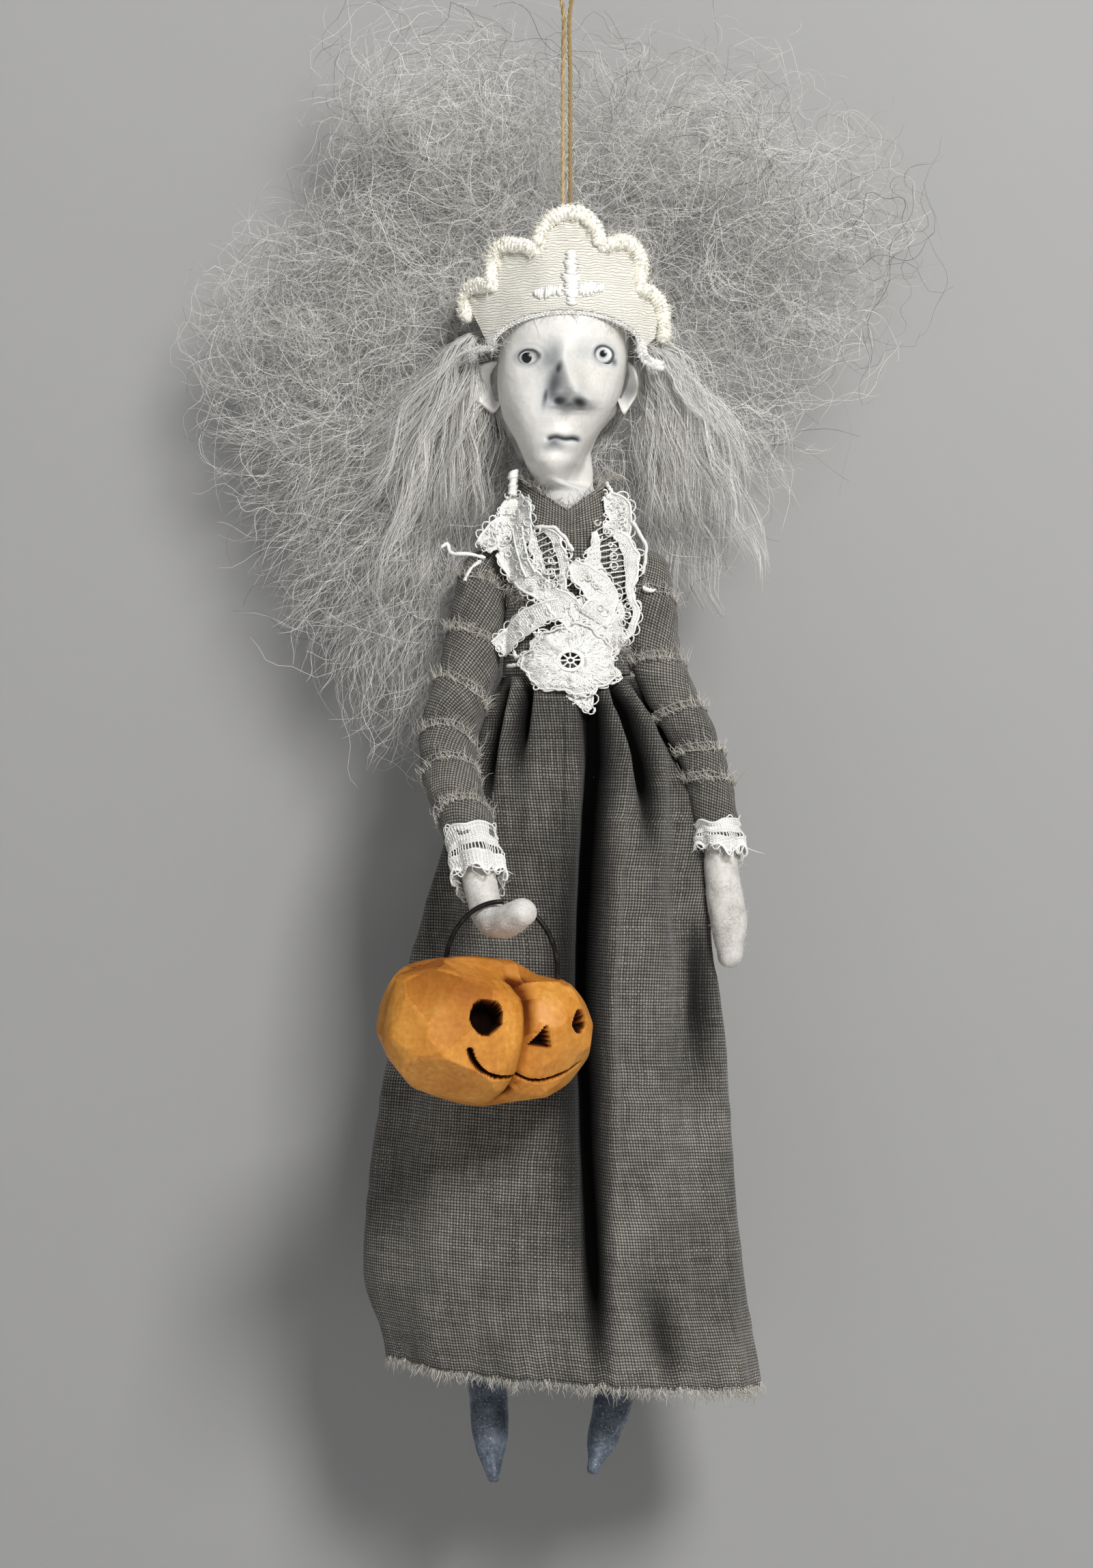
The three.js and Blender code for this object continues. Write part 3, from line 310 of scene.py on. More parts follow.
def tubes(paths: Array, radii: Array | float, sides: int, tone: Array) -> Form:
    """Closed tubes along many paths of as many points each.

    Args:
        paths: Points by tube and by place along it.
        radii: Radius at each of those points.
        sides: Sides of each tube.
        tone: A value for each tube, or for each point of each tube.

    Returns:
        All the tubes, with a bake map that gives each a cell of its own.
    """
    many, steps = paths.shape[:2]
    radii = np.broadcast_to(np.asarray(radii, float), (many, steps))
    along = unit(np.gradient(paths, axis=1))
    across = np.where(np.abs(along[:, :1, 2:]) < 0.9, np.array([0.0, 0, 1]), np.array([1.0, 0, 0]))[:, 0]
    normals = np.empty_like(paths)
    for k in range(steps):
        across = unit(across - np.sum(across * along[:, k], -1, keepdims=True) * along[:, k])
        normals[:, k] = across
    third = np.cross(along, normals)
    turns = 2 * math.pi * np.arange(sides) / sides
    ring = np.cos(turns)[:, None] * normals[:, :, None] + np.sin(turns)[:, None] * third[:, :, None]
    points = (paths[:, :, None] + radii[..., None, None] * ring).reshape(-1, 3)
    index = np.arange(many * steps * sides).reshape(many, steps, sides)
    beside = np.roll(index, -1, 2)
    quads = np.stack([index[:, :-1], beside[:, :-1], beside[:, 1:], index[:, 1:]], -1)
    grid = math.ceil(math.sqrt(many))
    cell = np.stack([np.arange(many) % grid, np.arange(many) // grid], -1)
    k, j = np.meshgrid(np.arange(steps - 1), np.arange(sides), indexing="ij")
    spots = np.stack([np.stack([j + a, k + b], -1) for a, b in [(0, 0), (1, 0), (1, 1), (0, 1)]], 2)
    spots = 0.1 + 0.84 * spots / np.array([sides, steps - 1])
    side_spots = (cell[:, None, None, None] + spots[None]) / grid
    end = 0.045 + 0.035 * np.stack([np.cos(turns), np.sin(turns)], -1)
    end_spots = [(cell[:, None] + end[::-1]) / grid, (cell[:, None] + end + np.array([0.5, 0])) / grid]
    tone = np.broadcast_to(tone[:, None] if tone.ndim == 1 else tone, (many, steps))
    return Form(
        points,
        [quads.reshape(-1, 4), index[:, 0, ::-1], index[:, -1]],
        None,
        np.repeat(tone.reshape(-1), sides),
        [side_spots.reshape(-1, 4, 2), *end_spots],
    )


def threads(paths: Array, radii: Array | float, rng: Rng, lowest: float = 0.6, sides: int = 4) -> Form:
    """Tubes whose tones are drawn between a lowest one and 1."""
    return tubes(paths, radii, sides, rng.uniform(lowest, 1, len(paths)))


def fibres(
    roots: Array, heading: Array, length: Array, rng: Rng, curl: float = 0.35, radius: float = 0.08,
    tone: tuple = (0.3, 0.9),
) -> Form:
    """Short tapering fibres, as at a frayed edge.

    Args:
        roots: Where each starts.
        heading: Which way each grows.
        length: How long each is.
        rng: Source of their differences.
        curl: How far they stray, as a share of the length.
        radius: Radius at the root.
        tone: Lowest and highest tone.

    Returns:
        The fibres.
    """
    share = np.linspace(0, 1, 4)
    stray = rng.normal(size=(2, len(roots), 1, 3)) * curl
    ahead = unit(heading)[:, None] * share[None, :, None]
    bend = stray[0] * (share**2)[None, :, None] + 0.35 * stray[1] * np.sin(2.6 * math.pi * share)[None, :, None]
    paths = roots[:, None] + (ahead + bend) * np.asarray(length)[:, None, None]
    radii = radius * (1 - 0.6 * share)[None] * rng.uniform(0.75, 1.25, (len(roots), 1))
    return tubes(paths, radii, 3, rng.uniform(*tone, len(roots)))


def half_area(form: Form) -> float:
    """Area of one side of a thin form, in square metres."""
    total = 0.0
    for rows in form.faces:
        corners = form.points[rows]
        for i in range(1, rows.shape[1] - 1):
            sides = np.cross(corners[:, i] - corners[:, 0], corners[:, i + 1] - corners[:, 0])
            total += float(np.linalg.norm(sides, axis=1).sum()) / 2
    return total / 2 * MM * MM


def make_piece(
    name: str, form: Form, finish: "Finish", body: Body, nodes: Sequence[str] = (), sharp: float = 0.0
) -> bpy.types.Object:
    """Puts a form into the scene as a piece of the doll.

    Args:
        name: Name of the piece.
        form: Its surface.
        finish: What it is dressed in.
        body: The body that it rides on.
        nodes: CAD nodes that it stands for.
        sharp: Angle in degrees past which an edge stays sharp; 0 smooths all.

    Returns:
        The new object, at the origin.
    """
    form = form.outward()
    mesh = bpy.data.meshes.new(name)
    mesh.vertices.add(len(form.points))
    mesh.vertices.foreach_set("co", (form.points * MM).astype(np.float32).ravel())
    sizes = np.concatenate([np.full(len(rows), rows.shape[1]) for rows in form.faces])
    mesh.loops.add(int(sizes.sum()))
    mesh.loops.foreach_set("vertex_index", np.concatenate([rows.ravel() for rows in form.faces]).astype(np.int32))
    mesh.polygons.add(len(sizes))
    mesh.polygons.foreach_set("loop_start", (np.cumsum(sizes) - sizes).astype(np.int32))
    mesh.polygons.foreach_set("use_smooth", np.ones(len(sizes), bool))
    for title, spots in [("cloth", form.cloth), ("OFBake", form.bake)]:
        if spots:
            layer = mesh.uv_layers.new(name=title)
            corners = np.concatenate([rows.reshape(-1, 2) for rows in spots])
            layer.uv.foreach_set("vector", corners.astype(np.float32).ravel())
    if form.tone is not None:
        values = mesh.attributes.new("tone", "FLOAT", "POINT")
        values.data.foreach_set("value", form.tone.astype(np.float32))
    mesh.update(calc_edges=True)
    mesh.validate()
    piece = bpy.data.objects.new(name, mesh)
    bpy.context.scene.collection.objects.link(piece)
    mesh.materials.append(finish.material())
    if sharp:
        bpy.ops.object.select_all(action="DESELECT")
        piece.select_set(True)
        bpy.context.view_layer.objects.active = piece
        bpy.ops.object.shade_smooth_by_angle(angle=math.radians(sharp))
    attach(piece, body.value)
    if nodes:
        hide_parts(*nodes)
    log.info("%s: %d faces on %s", name, len(sizes), body.value)
    return piece


# Finishes


def ink(code: str) -> tuple:
    """Linear colour of a six-digit code."""
    values = [int(code[i : i + 2], 16) / 255 for i in (0, 2, 4)]
    return (*[v / 12.92 if v <= 0.04045 else ((v + 0.055) / 1.055) ** 2.4 for v in values], 1.0)


class Nodes:
    """A node tree with short ways to add to it."""

    def __init__(self, tree: Tree) -> None:
        """Keeps the tree, and its shader if it has one."""
        self.tree = tree
        self.shader = tree.nodes.get("Principled BSDF")

    def add(self, kind: str, inputs: dict | None = None, **settings) -> Node:
        """Adds a shader node, with its inputs linked or set and its settings made."""
        node = self.tree.nodes.new("ShaderNode" + kind)
        for key, value in settings.items():
            setattr(node, key, value)
        for key, value in (inputs or {}).items():
            self.put(node.inputs[key], value)
        return node

    def put(self, socket: Socket, value) -> None:
        """Links a socket to another, or sets its value."""
        if isinstance(value, Socket):
            self.tree.links.new(value, socket)
        else:
            socket.default_value = value

    def wear(self, quality: str, value) -> None:
        """Links or sets a quality of the shader."""
        self.put(self.shader.inputs[quality], value)

    def math(self, operation: str, a, b=0.0, c=0.0) -> Socket:
        """Result of a sum on up to three values."""
        return self.add("Math", {0: a, 1: b, 2: c}, operation=operation).outputs[0]

    def plus(self, a, b) -> Socket:
        """One value added to another."""
        return self.math("ADD", a, b)

    def less(self, a, b) -> Socket:
        """One value with another taken off."""
        return self.math("SUBTRACT", a, b)

    def times(self, a, b) -> Socket:
        """One value times another."""
        return self.math("MULTIPLY", a, b)

    def between(self, value, low: float, high: float, most: float = 1.0) -> Socket:
        """Rise from 0 at low to the most at high."""
        return self.add("MapRange", {0: value, 1: low, 2: high, 4: most}).outputs[0]

    def vector(self, operation: str, a, b) -> Socket:
        """Result of a sum on two vectors."""
        return self.add("VectorMath", {0: a, 1: b}, operation=operation).outputs[0]

    def mix(self, share, low, high) -> Socket:
        """Colour between two colours."""
        return self.add("Mix", {0: share, 6: low, 7: high}, data_type="RGBA").outputs[2]

    def ramp(self, share, stops: Sequence[tuple]) -> Socket:
        """Colour from stops of place and colour code."""
        node = self.add("ValToRGB", {0: share})
        ramp = node.color_ramp
        while len(ramp.elements) < len(stops):
            ramp.elements.new(0.5)
        for element, (place, code) in zip(ramp.elements, stops):
            element.position = place
            element.color = ink(code)
        return node.outputs[0]

    def noise(self, vector: Socket, scale, detail: float, rough: float = 0.5) -> Socket:
        """Noise value at a scale of a vector."""
        inputs = {"Vector": vector, "Scale": scale, "Detail": detail, "Roughness": rough}
        return self.add("TexNoise", inputs).outputs[0]

    def place(self) -> Socket:
        """The piece's own place."""
        return self.add("TexCoord").outputs["Object"]

    def tone(self) -> Socket:
        """The tone that the form gives each point."""
        return self.add("Attribute", attribute_name="tone").outputs["Fac"]

    def cloth(self) -> Socket:
        """The place on the cloth, in millimetres."""
        return self.add("UVMap", uv_map="cloth").outputs[0]

    def group(self, tree: Tree, inputs: dict) -> bpy.types.bpy_prop_collection:
        """Places a shared effect and gives its outputs."""
        return self.add("Group", inputs, node_tree=tree).outputs

    def bump(self, height, strength: float, distance: float, below=None) -> Socket:
        """Normal raised by a height, over another one."""
        inputs = {"Height": height, "Strength": strength, "Distance": distance * MM}
        if below is not None:
            inputs["Normal"] = below
        return self.add("Bump", inputs).outputs[0]


def shared_group(name: str, inputs: Sequence[tuple], outputs: Sequence[str]) -> tuple:
    """Starts a shared effect.

    Args:
        name: Its name.
        inputs: Name, kind and default of each input.
        outputs: Name of each value that it puts out.

    Returns:
        The group's tree, its Nodes, and its input and output nodes.
    """
    tree = bpy.data.node_groups.new(name, "ShaderNodeTree")
    for title, kind, default in inputs:
        socket = tree.interface.new_socket(title, in_out="INPUT", socket_type="NodeSocket" + kind)
        if default is not None:
            socket.default_value = default
    for title in outputs:
        tree.interface.new_socket(title, in_out="OUTPUT", socket_type="NodeSocketFloat")
    return tree, Nodes(tree), tree.nodes.new("NodeGroupInput"), tree.nodes.new("NodeGroupOutput")


def weave_group() -> Tree:
    """Plain weave on the cloth: height of the threads, and how each thread differs."""
    found = bpy.data.node_groups.get("plain weave")
    if found:
        return found
    tree, n, given, made = shared_group(
        "plain weave",
        [("Cloth", "Vector", None), ("Pitch", "Float", 0.55), ("Stray", "Float", 0.3)],
        ["Height", "Thread"],
    )
    drift = n.add("TexNoise", {"Vector": given.outputs["Cloth"], "Scale": 0.12, "Detail": 2.0})
    stray = n.vector("SUBTRACT", drift.outputs["Color"], (0.5, 0.5, 0.5))
    stray = n.add("VectorMath", {0: stray, "Scale": given.outputs["Stray"]}, operation="SCALE").outputs[0]
    wandered = n.vector("ADD", given.outputs["Cloth"], stray)
    count = n.math("DIVIDE", 1.0, given.outputs["Pitch"])
    cells = n.add("VectorMath", {0: wandered, "Scale": count}, operation="SCALE").outputs[0]
    u, v = n.add("SeparateXYZ", {0: cells}).outputs[:2]
    parity = n.plus(n.math("FLOOR", u), n.math("FLOOR", v))
    parity = n.times(n.math("FRACT", n.times(parity, 0.5)), 2.0)
    across = n.math("ABSOLUTE", n.math("SINE", n.times(u, math.pi)))
    along = n.math("ABSOLUTE", n.math("SINE", n.times(v, math.pi)))
    warp = n.times(across, n.math("MULTIPLY_ADD", along, 0.5, 0.5))
    weft = n.times(along, n.math("MULTIPLY_ADD", across, 0.5, 0.5))
    height = n.add("Mix", {0: parity, 2: warp, 3: weft}).outputs[0]
    slub_u, slub_v = [
        n.noise(n.vector("MULTIPLY", cells, drawn_out), 1.0, 2.0) for drawn_out in [(0.9, 0.05, 1), (0.05, 0.9, 1)]
    ]
    thread = n.add("Mix", {0: parity, 2: slub_u, 3: slub_v}).outputs[0]
    n.put(made.inputs["Height"], height)
    n.put(made.inputs["Thread"], thread)
    return tree


def mottle_group() -> Tree:
    """Uneven colour at two scales, as hand-made surfaces have."""
    found = bpy.data.node_groups.get("mottle")
    if found:
        return found
    tree, n, given, made = shared_group(
        "mottle",
        [("Place", "Vector", None), ("Broad", "Float", 120.0), ("Fine", "Float", 900.0)],
        ["Broad", "Fine", "Both"],
    )
    broad = n.noise(given.outputs["Place"], given.outputs["Broad"], 3.0)
    fine = n.noise(given.outputs["Place"], given.outputs["Fine"], 4.0)
    n.put(made.inputs["Broad"], broad)
    n.put(made.inputs["Fine"], fine)
    n.put(made.inputs["Both"], n.plus(n.times(broad, 0.6), n.times(fine, 0.4)))
    return tree


@dataclass(frozen=True)
class Finish:
    """What a surface is dressed in."""

    name: str
    roughness: float = 0.8
    sheen: float = 0.0
    metallic: float = 0.0

    def material(self) -> bpy.types.Material:
        """The finish as a material, made once."""
        found = bpy.data.materials.get(self.name)
        if found:
            return found
        made = bpy.data.materials.new(self.name)
        made.use_nodes = True
        n = Nodes(made.node_tree)
        n.wear("Roughness", self.roughness)
        n.wear("Metallic", self.metallic)
        n.wear("Sheen Weight", self.sheen)
        self.paint(n)
        return made

    def paint(self, n: Nodes) -> None:
        """Adds colour, roughness and relief to the shader."""
        raise NotImplementedError

    def mottle(self, n: Nodes, broad: float, fine: float) -> bpy.types.bpy_prop_collection:
        """The shared mottling at two scales per metre."""
        return n.group(mottle_group(), {"Place": n.place(), "Broad": broad, "Fine": fine})


@dataclass(frozen=True)
class WovenCloth(Finish):
    """Cloth in plain weave, from the shade between its threads to their tops; tone is painted shade in its folds."""

    pitch: float = 0.55
    stray: float = 0.3
    shades: tuple = ("0d0c0b", "3d3b38", "75726c", "b8b4aa")
    relief: float = 0.7

    def paint(self, n: Nodes) -> None:
        """Weave, uneven threads and broad mottling."""
        weave = n.group(weave_group(), {"Cloth": n.cloth(), "Pitch": self.pitch, "Stray": self.stray})
        cloud = self.mottle(n, 55.0, 420.0)
        shade = n.times(weave["Height"], 0.62)
        shade = n.plus(shade, n.times(weave["Thread"], 0.55))
        shade = n.plus(shade, n.times(cloud["Both"], 0.5))
        # the tone darkens the weave as painted shade in the folds
        shade = n.less(shade, n.plus(n.times(n.tone(), 0.7), 0.42))
        stops = list(zip((0.02, 0.32, 0.56, 0.9), self.shades))
        # deep in the folds the colour goes near black, with less specular and sheen: painted shade
        deep = n.between(n.tone(), 0.3, 1.0, 0.94)
        n.wear("Base Color", n.mix(deep, n.ramp(shade, stops), ink("030303")))
        n.wear("Specular IOR Level", n.math("MULTIPLY_ADD", deep, -0.5, 0.5))
        n.wear("Sheen Weight", n.math("MULTIPLY_ADD", deep, -self.sheen, self.sheen))
        lumps = n.plus(weave["Height"], n.times(weave["Thread"], 0.6))
        n.wear("Normal", n.bump(lumps, self.relief, 0.35 * self.pitch))


@dataclass(frozen=True)
class TonedFibre(Finish):
    """Fibres whose shade is their tone: hair, frayed threads, cotton and twine."""

    stops: tuple = ((0.0, "2b2a29"), (1.0, "efeeea"))
    grain: float = 700.0

    def paint(self, n: Nodes) -> None:
        """Tone broken up along the fibres."""
        cloud = self.mottle(n, self.grain / 5, self.grain)
        share = n.plus(n.tone(), n.times(n.less(cloud["Both"], 0.5), 0.45))
        n.wear("Base Color", n.ramp(share, self.stops))
        n.wear("Normal", n.bump(cloud["Fine"], 0.25, 0.1))


@dataclass(frozen=True)
class PaintedClay(Finish):
    """White clay with a slate wash, and painted shade beside and under the nose and under the chin, where the tone
    says.
    """

    def paint(self, n: Nodes) -> None:
        """Off-white clay, dirty in places, with the wash rubbed thin."""
        cloud = self.mottle(n, 130.0, 1500.0)
        base = n.ramp(cloud["Both"], [(0.3, "d3d0c9"), (0.52, "e6e4df"), (0.75, "efedea")])
        rubbed = n.times(n.less(cloud["Broad"], 0.5), 0.5)
        share = n.between(n.plus(n.tone(), n.times(rubbed, n.tone())), 0.0, 1.0)
        wash = n.ramp(share, [(0.0, "b9bfc6"), (0.45, "7c8590"), (0.75, "4b525c"), (1.0, "17191d")])
        n.wear("Base Color", n.mix(n.math("POWER", share, 0.75), base, wash))
        rough = n.plus(n.times(cloud["Broad"], 0.25), 0.4)
        n.wear("Roughness", rough)
        dents = n.bump(cloud["Broad"], 0.18, 0.6)
        n.wear("Normal", n.bump(cloud["Fine"], 0.12, 0.12, dents))


@dataclass(frozen=True)
class RingedEye(Finish):
    """Painted eye: tone grows from the pupil to the lid."""

    pupil: float = 0.4

    def paint(self, n: Nodes) -> None:
        """Black pupil, pale ball and slate rim, with veins of wash."""
        cloud = self.mottle(n, 700.0, 2600.0)
        share = n.plus(n.tone(), n.times(n.less(cloud["Both"], 0.5), 0.07))
        p = self.pupil
        stops = [
            (0.0, "08090b"), (p, "0b0c0f"), (p + 0.05, "7f868c"), (p + 0.14, "cdd0d2"),
            (0.62, "f1f1ee"), (0.74, "dcdfe1"), (0.84, "59616b"),
        ]
        n.wear("Base Color", n.ramp(share, stops))
        rough = n.plus(n.times(cloud["Fine"], 0.2), self.roughness - 0.1)
        n.wear("Roughness", rough)


@dataclass(frozen=True)
class RibbedCambric(Finish):
    """Fine ribbed cotton; cloth places run across the ribs."""

    pitch: float = 0.62

    def paint(self, n: Nodes) -> None:
        """Ribs with fine crossing threads and yellowed patches."""
        cloud = self.mottle(n, 110.0, 800.0)
        weave = n.group(weave_group(), {"Cloth": n.cloth(), "Pitch": 0.3, "Stray": 0.9})
        wave = n.add("SeparateXYZ", {0: n.cloth()}).outputs[1]
        drift = n.noise(n.cloth(), 0.35, 2.0, 0.55)
        wave = n.plus(wave, n.times(drift, 1.6))
        rib = n.math("ABSOLUTE", n.math("SINE", n.times(wave, math.pi / self.pitch)))
        height = n.plus(n.times(rib, 0.8), n.times(weave["Height"], 0.3))
        shade = n.plus(n.times(height, 0.75), n.times(cloud["Both"], 0.42))
        stops = [(0.2, "77756c"), (0.4, "b9b6ab"), (0.58, "dedbd0"), (0.95, "efede5")]
        n.wear("Base Color", n.ramp(shade, stops))
        n.wear("Normal", n.bump(height, 0.7, 0.25))


@dataclass(frozen=True)
class Felt(Finish):
    """Matted wool with lighter and darker tufts."""

    stops: tuple = ((0.3, "a9a6a1"), (0.5, "cfccc7"), (0.7, "e4e2de"))

    def paint(self, n: Nodes) -> None:
        """Mottled wool with a lumpy, hairy face."""
        cloud = self.mottle(n, 260.0, 1900.0)
        n.wear("Base Color", n.ramp(cloud["Both"], self.stops))
        lumps = n.bump(cloud["Broad"], 0.35, 0.9)
        n.wear("Normal", n.bump(cloud["Fine"], 0.5, 0.25, lumps))


@dataclass(frozen=True)
class GlitterPaint(Finish):
    """Slate paint with fine glitter."""

    def paint(self, n: Nodes) -> None:
        """Clouded paint and bright flecks."""
        cloud = self.mottle(n, 190.0, 1300.0)
        base = n.ramp(cloud["Both"], [(0.3, "1d222a"), (0.45, "434b57"), (0.58, "616b79"), (0.75, "939fac")])
        cells = n.add("TexVoronoi", {"Vector": n.place(), "Scale": 3600.0})
        shine = n.add("SeparateXYZ", {0: cells.outputs["Color"]}).outputs[0]
        fleck = n.math("GREATER_THAN", shine, 0.93)
        n.wear("Base Color", n.mix(fleck, base, ink("8d98a8")))
        n.wear("Metallic", n.times(fleck, 0.75))
        n.wear("Roughness", n.less(0.52, n.times(fleck, 0.24)))
        dents = n.bump(cloud["Broad"], 0.3, 0.6)
        n.wear("Normal", n.bump(shine, 0.35, 0.06, dents))


@dataclass(frozen=True)
class CarvedRind(Finish):
    """Carved and stained pumpkin; tone is how deep the knife went."""

    def paint(self, n: Nodes) -> None:
        """Ochre cuts with streaks, brown in the grooves, and near black deep in the holes as painted shade."""
        cloud = self.mottle(n, 105.0, 900.0)
        streak = n.noise(n.vector("MULTIPLY", n.place(), (900.0, 900.0, 160.0)), 1.0, 4.0, 0.55)
        share = n.plus(n.times(cloud["Both"], 0.7), n.times(streak, 0.3))
        base = n.ramp(share, [(0.3, "a35f17"), (0.44, "c47c24"), (0.56, "d8933a"), (0.72, "ebb560")])
        tone = n.plus(n.tone(), n.times(n.less(streak, 0.5), 0.2))
        # with depth the cut colour goes from brown to near black and loses specular: painted shade in the holes
        cut = n.ramp(tone, [(0.0, "8f4d14"), (0.4, "6d3510"), (0.7, "331708"), (1.0, "120805")])
        depth = n.between(tone, 0.06, 0.45)
        pale = n.between(tone, 0.02, -0.22, 0.75)
        n.wear("Base Color", n.mix(depth, n.mix(pale, base, ink("e6b052")), cut))
        rough = n.plus(n.times(share, 0.3), 0.38)
        n.wear("Roughness", n.plus(rough, n.times(depth, 0.5)))
        n.wear("Specular IOR Level", n.less(0.5, n.times(depth, 0.45)))
        cuts = n.bump(streak, 0.25, 0.25)
        n.wear("Normal", n.bump(cloud["Fine"], 0.2, 0.15, cuts))


@dataclass(frozen=True)
class DarkWire(Finish):
    """Drawn iron wire, dull and spotted."""

    stops: tuple = ((0.3, "161616"), (0.55, "2e2d2d"), (0.75, "544a42"))

    def paint(self, n: Nodes) -> None:
        """Spotted metal with drawing marks."""
        cloud = self.mottle(n, 420.0, 2400.0)
        n.wear("Base Color", n.ramp(cloud["Both"], self.stops))
        n.wear("Roughness", n.plus(n.times(cloud["Broad"], 0.4), 0.22))
        n.wear("Normal", n.bump(cloud["Fine"], 0.2, 0.05))


@dataclass(frozen=True)
class TurnedWood(Finish):
    """Pale dowel with grain along its length."""

    def paint(self, n: Nodes) -> None:
        """Grain drawn out along Z."""
        grain = n.noise(n.vector("MULTIPLY", n.place(), (1500.0, 1500.0, 60.0)), 1.0, 4.0, 0.55)
        n.wear("Base Color", n.ramp(grain, [(0.3, "9a7443"), (0.5, "c29a66"), (0.7, "dcbb8a")]))
        n.wear("Normal", n.bump(grain, 0.25, 0.1))


@dataclass(frozen=True)
class StudioPaper(Finish):
    """Plain paper of the floor and the wall; the wall shows to the camera from its front only."""

    colour: str = "d9d9d8"
    one_way: bool = False

    def paint(self, n: Nodes) -> None:
        """Even paper with a faint cloud."""
        cloud = self.mottle(n, 3.0, 30.0)
        shade = n.mix(n.times(cloud["Both"], 0.12), ink(self.colour), ink("808080"))
        n.wear("Base Color", shade)
        if self.one_way:
            seen = n.less(1.0, n.add("NewGeometry").outputs["Backfacing"])
            seen = n.times(seen, n.add("LightPath").outputs["Is Camera Ray"])
            clear = n.add("BsdfTransparent").outputs[0]
            mixed = n.add("MixShader", {0: seen, 1: clear, 2: n.shader.outputs[0]}).outputs[0]
            n.put(n.tree.nodes["Material Output"].inputs["Surface"], mixed)


LINEN = WovenCloth("grey linen", 0.92, 0.12)
LINEN_THREAD = TonedFibre("linen thread", 0.9, stops=((0.0, "625f5a"), (0.5, "a6a29a"), (1.0, "e4e0d7")))
CALICO = WovenCloth("calico", 0.9, pitch=0.3, shades=("8d8575", "c2b9a6", "dad3c3", "ece6d9"), relief=0.4)
STOCKING = WovenCloth("white stocking", 0.92, pitch=0.34, shades=("8c8a86", "cfcdc8", "e8e6e2", "f6f5f2"), relief=0.6)
MOHAIR = TonedFibre("grey mohair", 0.55, stops=((0.0, "323130"), (0.22, "93918d"), (0.52, "dcdad6"), (1.0, "fffefc")))
COTTON = TonedFibre("white cotton", 0.88, stops=((0.0, "a8a6a0"), (0.35, "d6d5d1"), (0.7, "ebebe8"), (1.0, "f8f8f6")))
CREAM = TonedFibre("cream cotton", 0.88, stops=((0.0, "c9c2aa"), (0.35, "ebe5d2"), (0.7, "f7f3e4"), (1.0, "fdfbf3")))
TWINE = TonedFibre("jute twine", 0.9, stops=((0.0, "9b8354"), (0.4, "cbb388"), (0.75, "e0cfab"), (1.0, "f2e8d2")))
CLAY = PaintedClay("painted clay", 0.5)
CAMBRIC = RibbedCambric("ribbed cambric", 0.85)
WOOL = Felt("felted wool", 0.95, 0.25)
WOOL_FUZZ = TonedFibre("wool fuzz", 0.9, stops=((0.0, "a5a29d"), (0.5, "d6d3ce"), (1.0, "f0efec")))
GLITTER = GlitterPaint("slate glitter paint", 0.5)
RIND = CarvedRind("carved pumpkin", 0.55)
IRON = DarkWire("iron wire", 0.4, 0.0, 0.85)
STEEL = DarkWire("arm wire", 0.35, 0.0, 1.0, stops=((0.3, "5c5e61"), (0.55, "86898c"), (0.75, "a9abad")))
THREAD = Felt("waxed thread", 0.8, stops=((0.3, "8d8575"), (0.5, "cbc3b1"), (0.7, "ece6d9")))
DOWEL = TurnedWood("pale dowel", 0.65)

# Stage


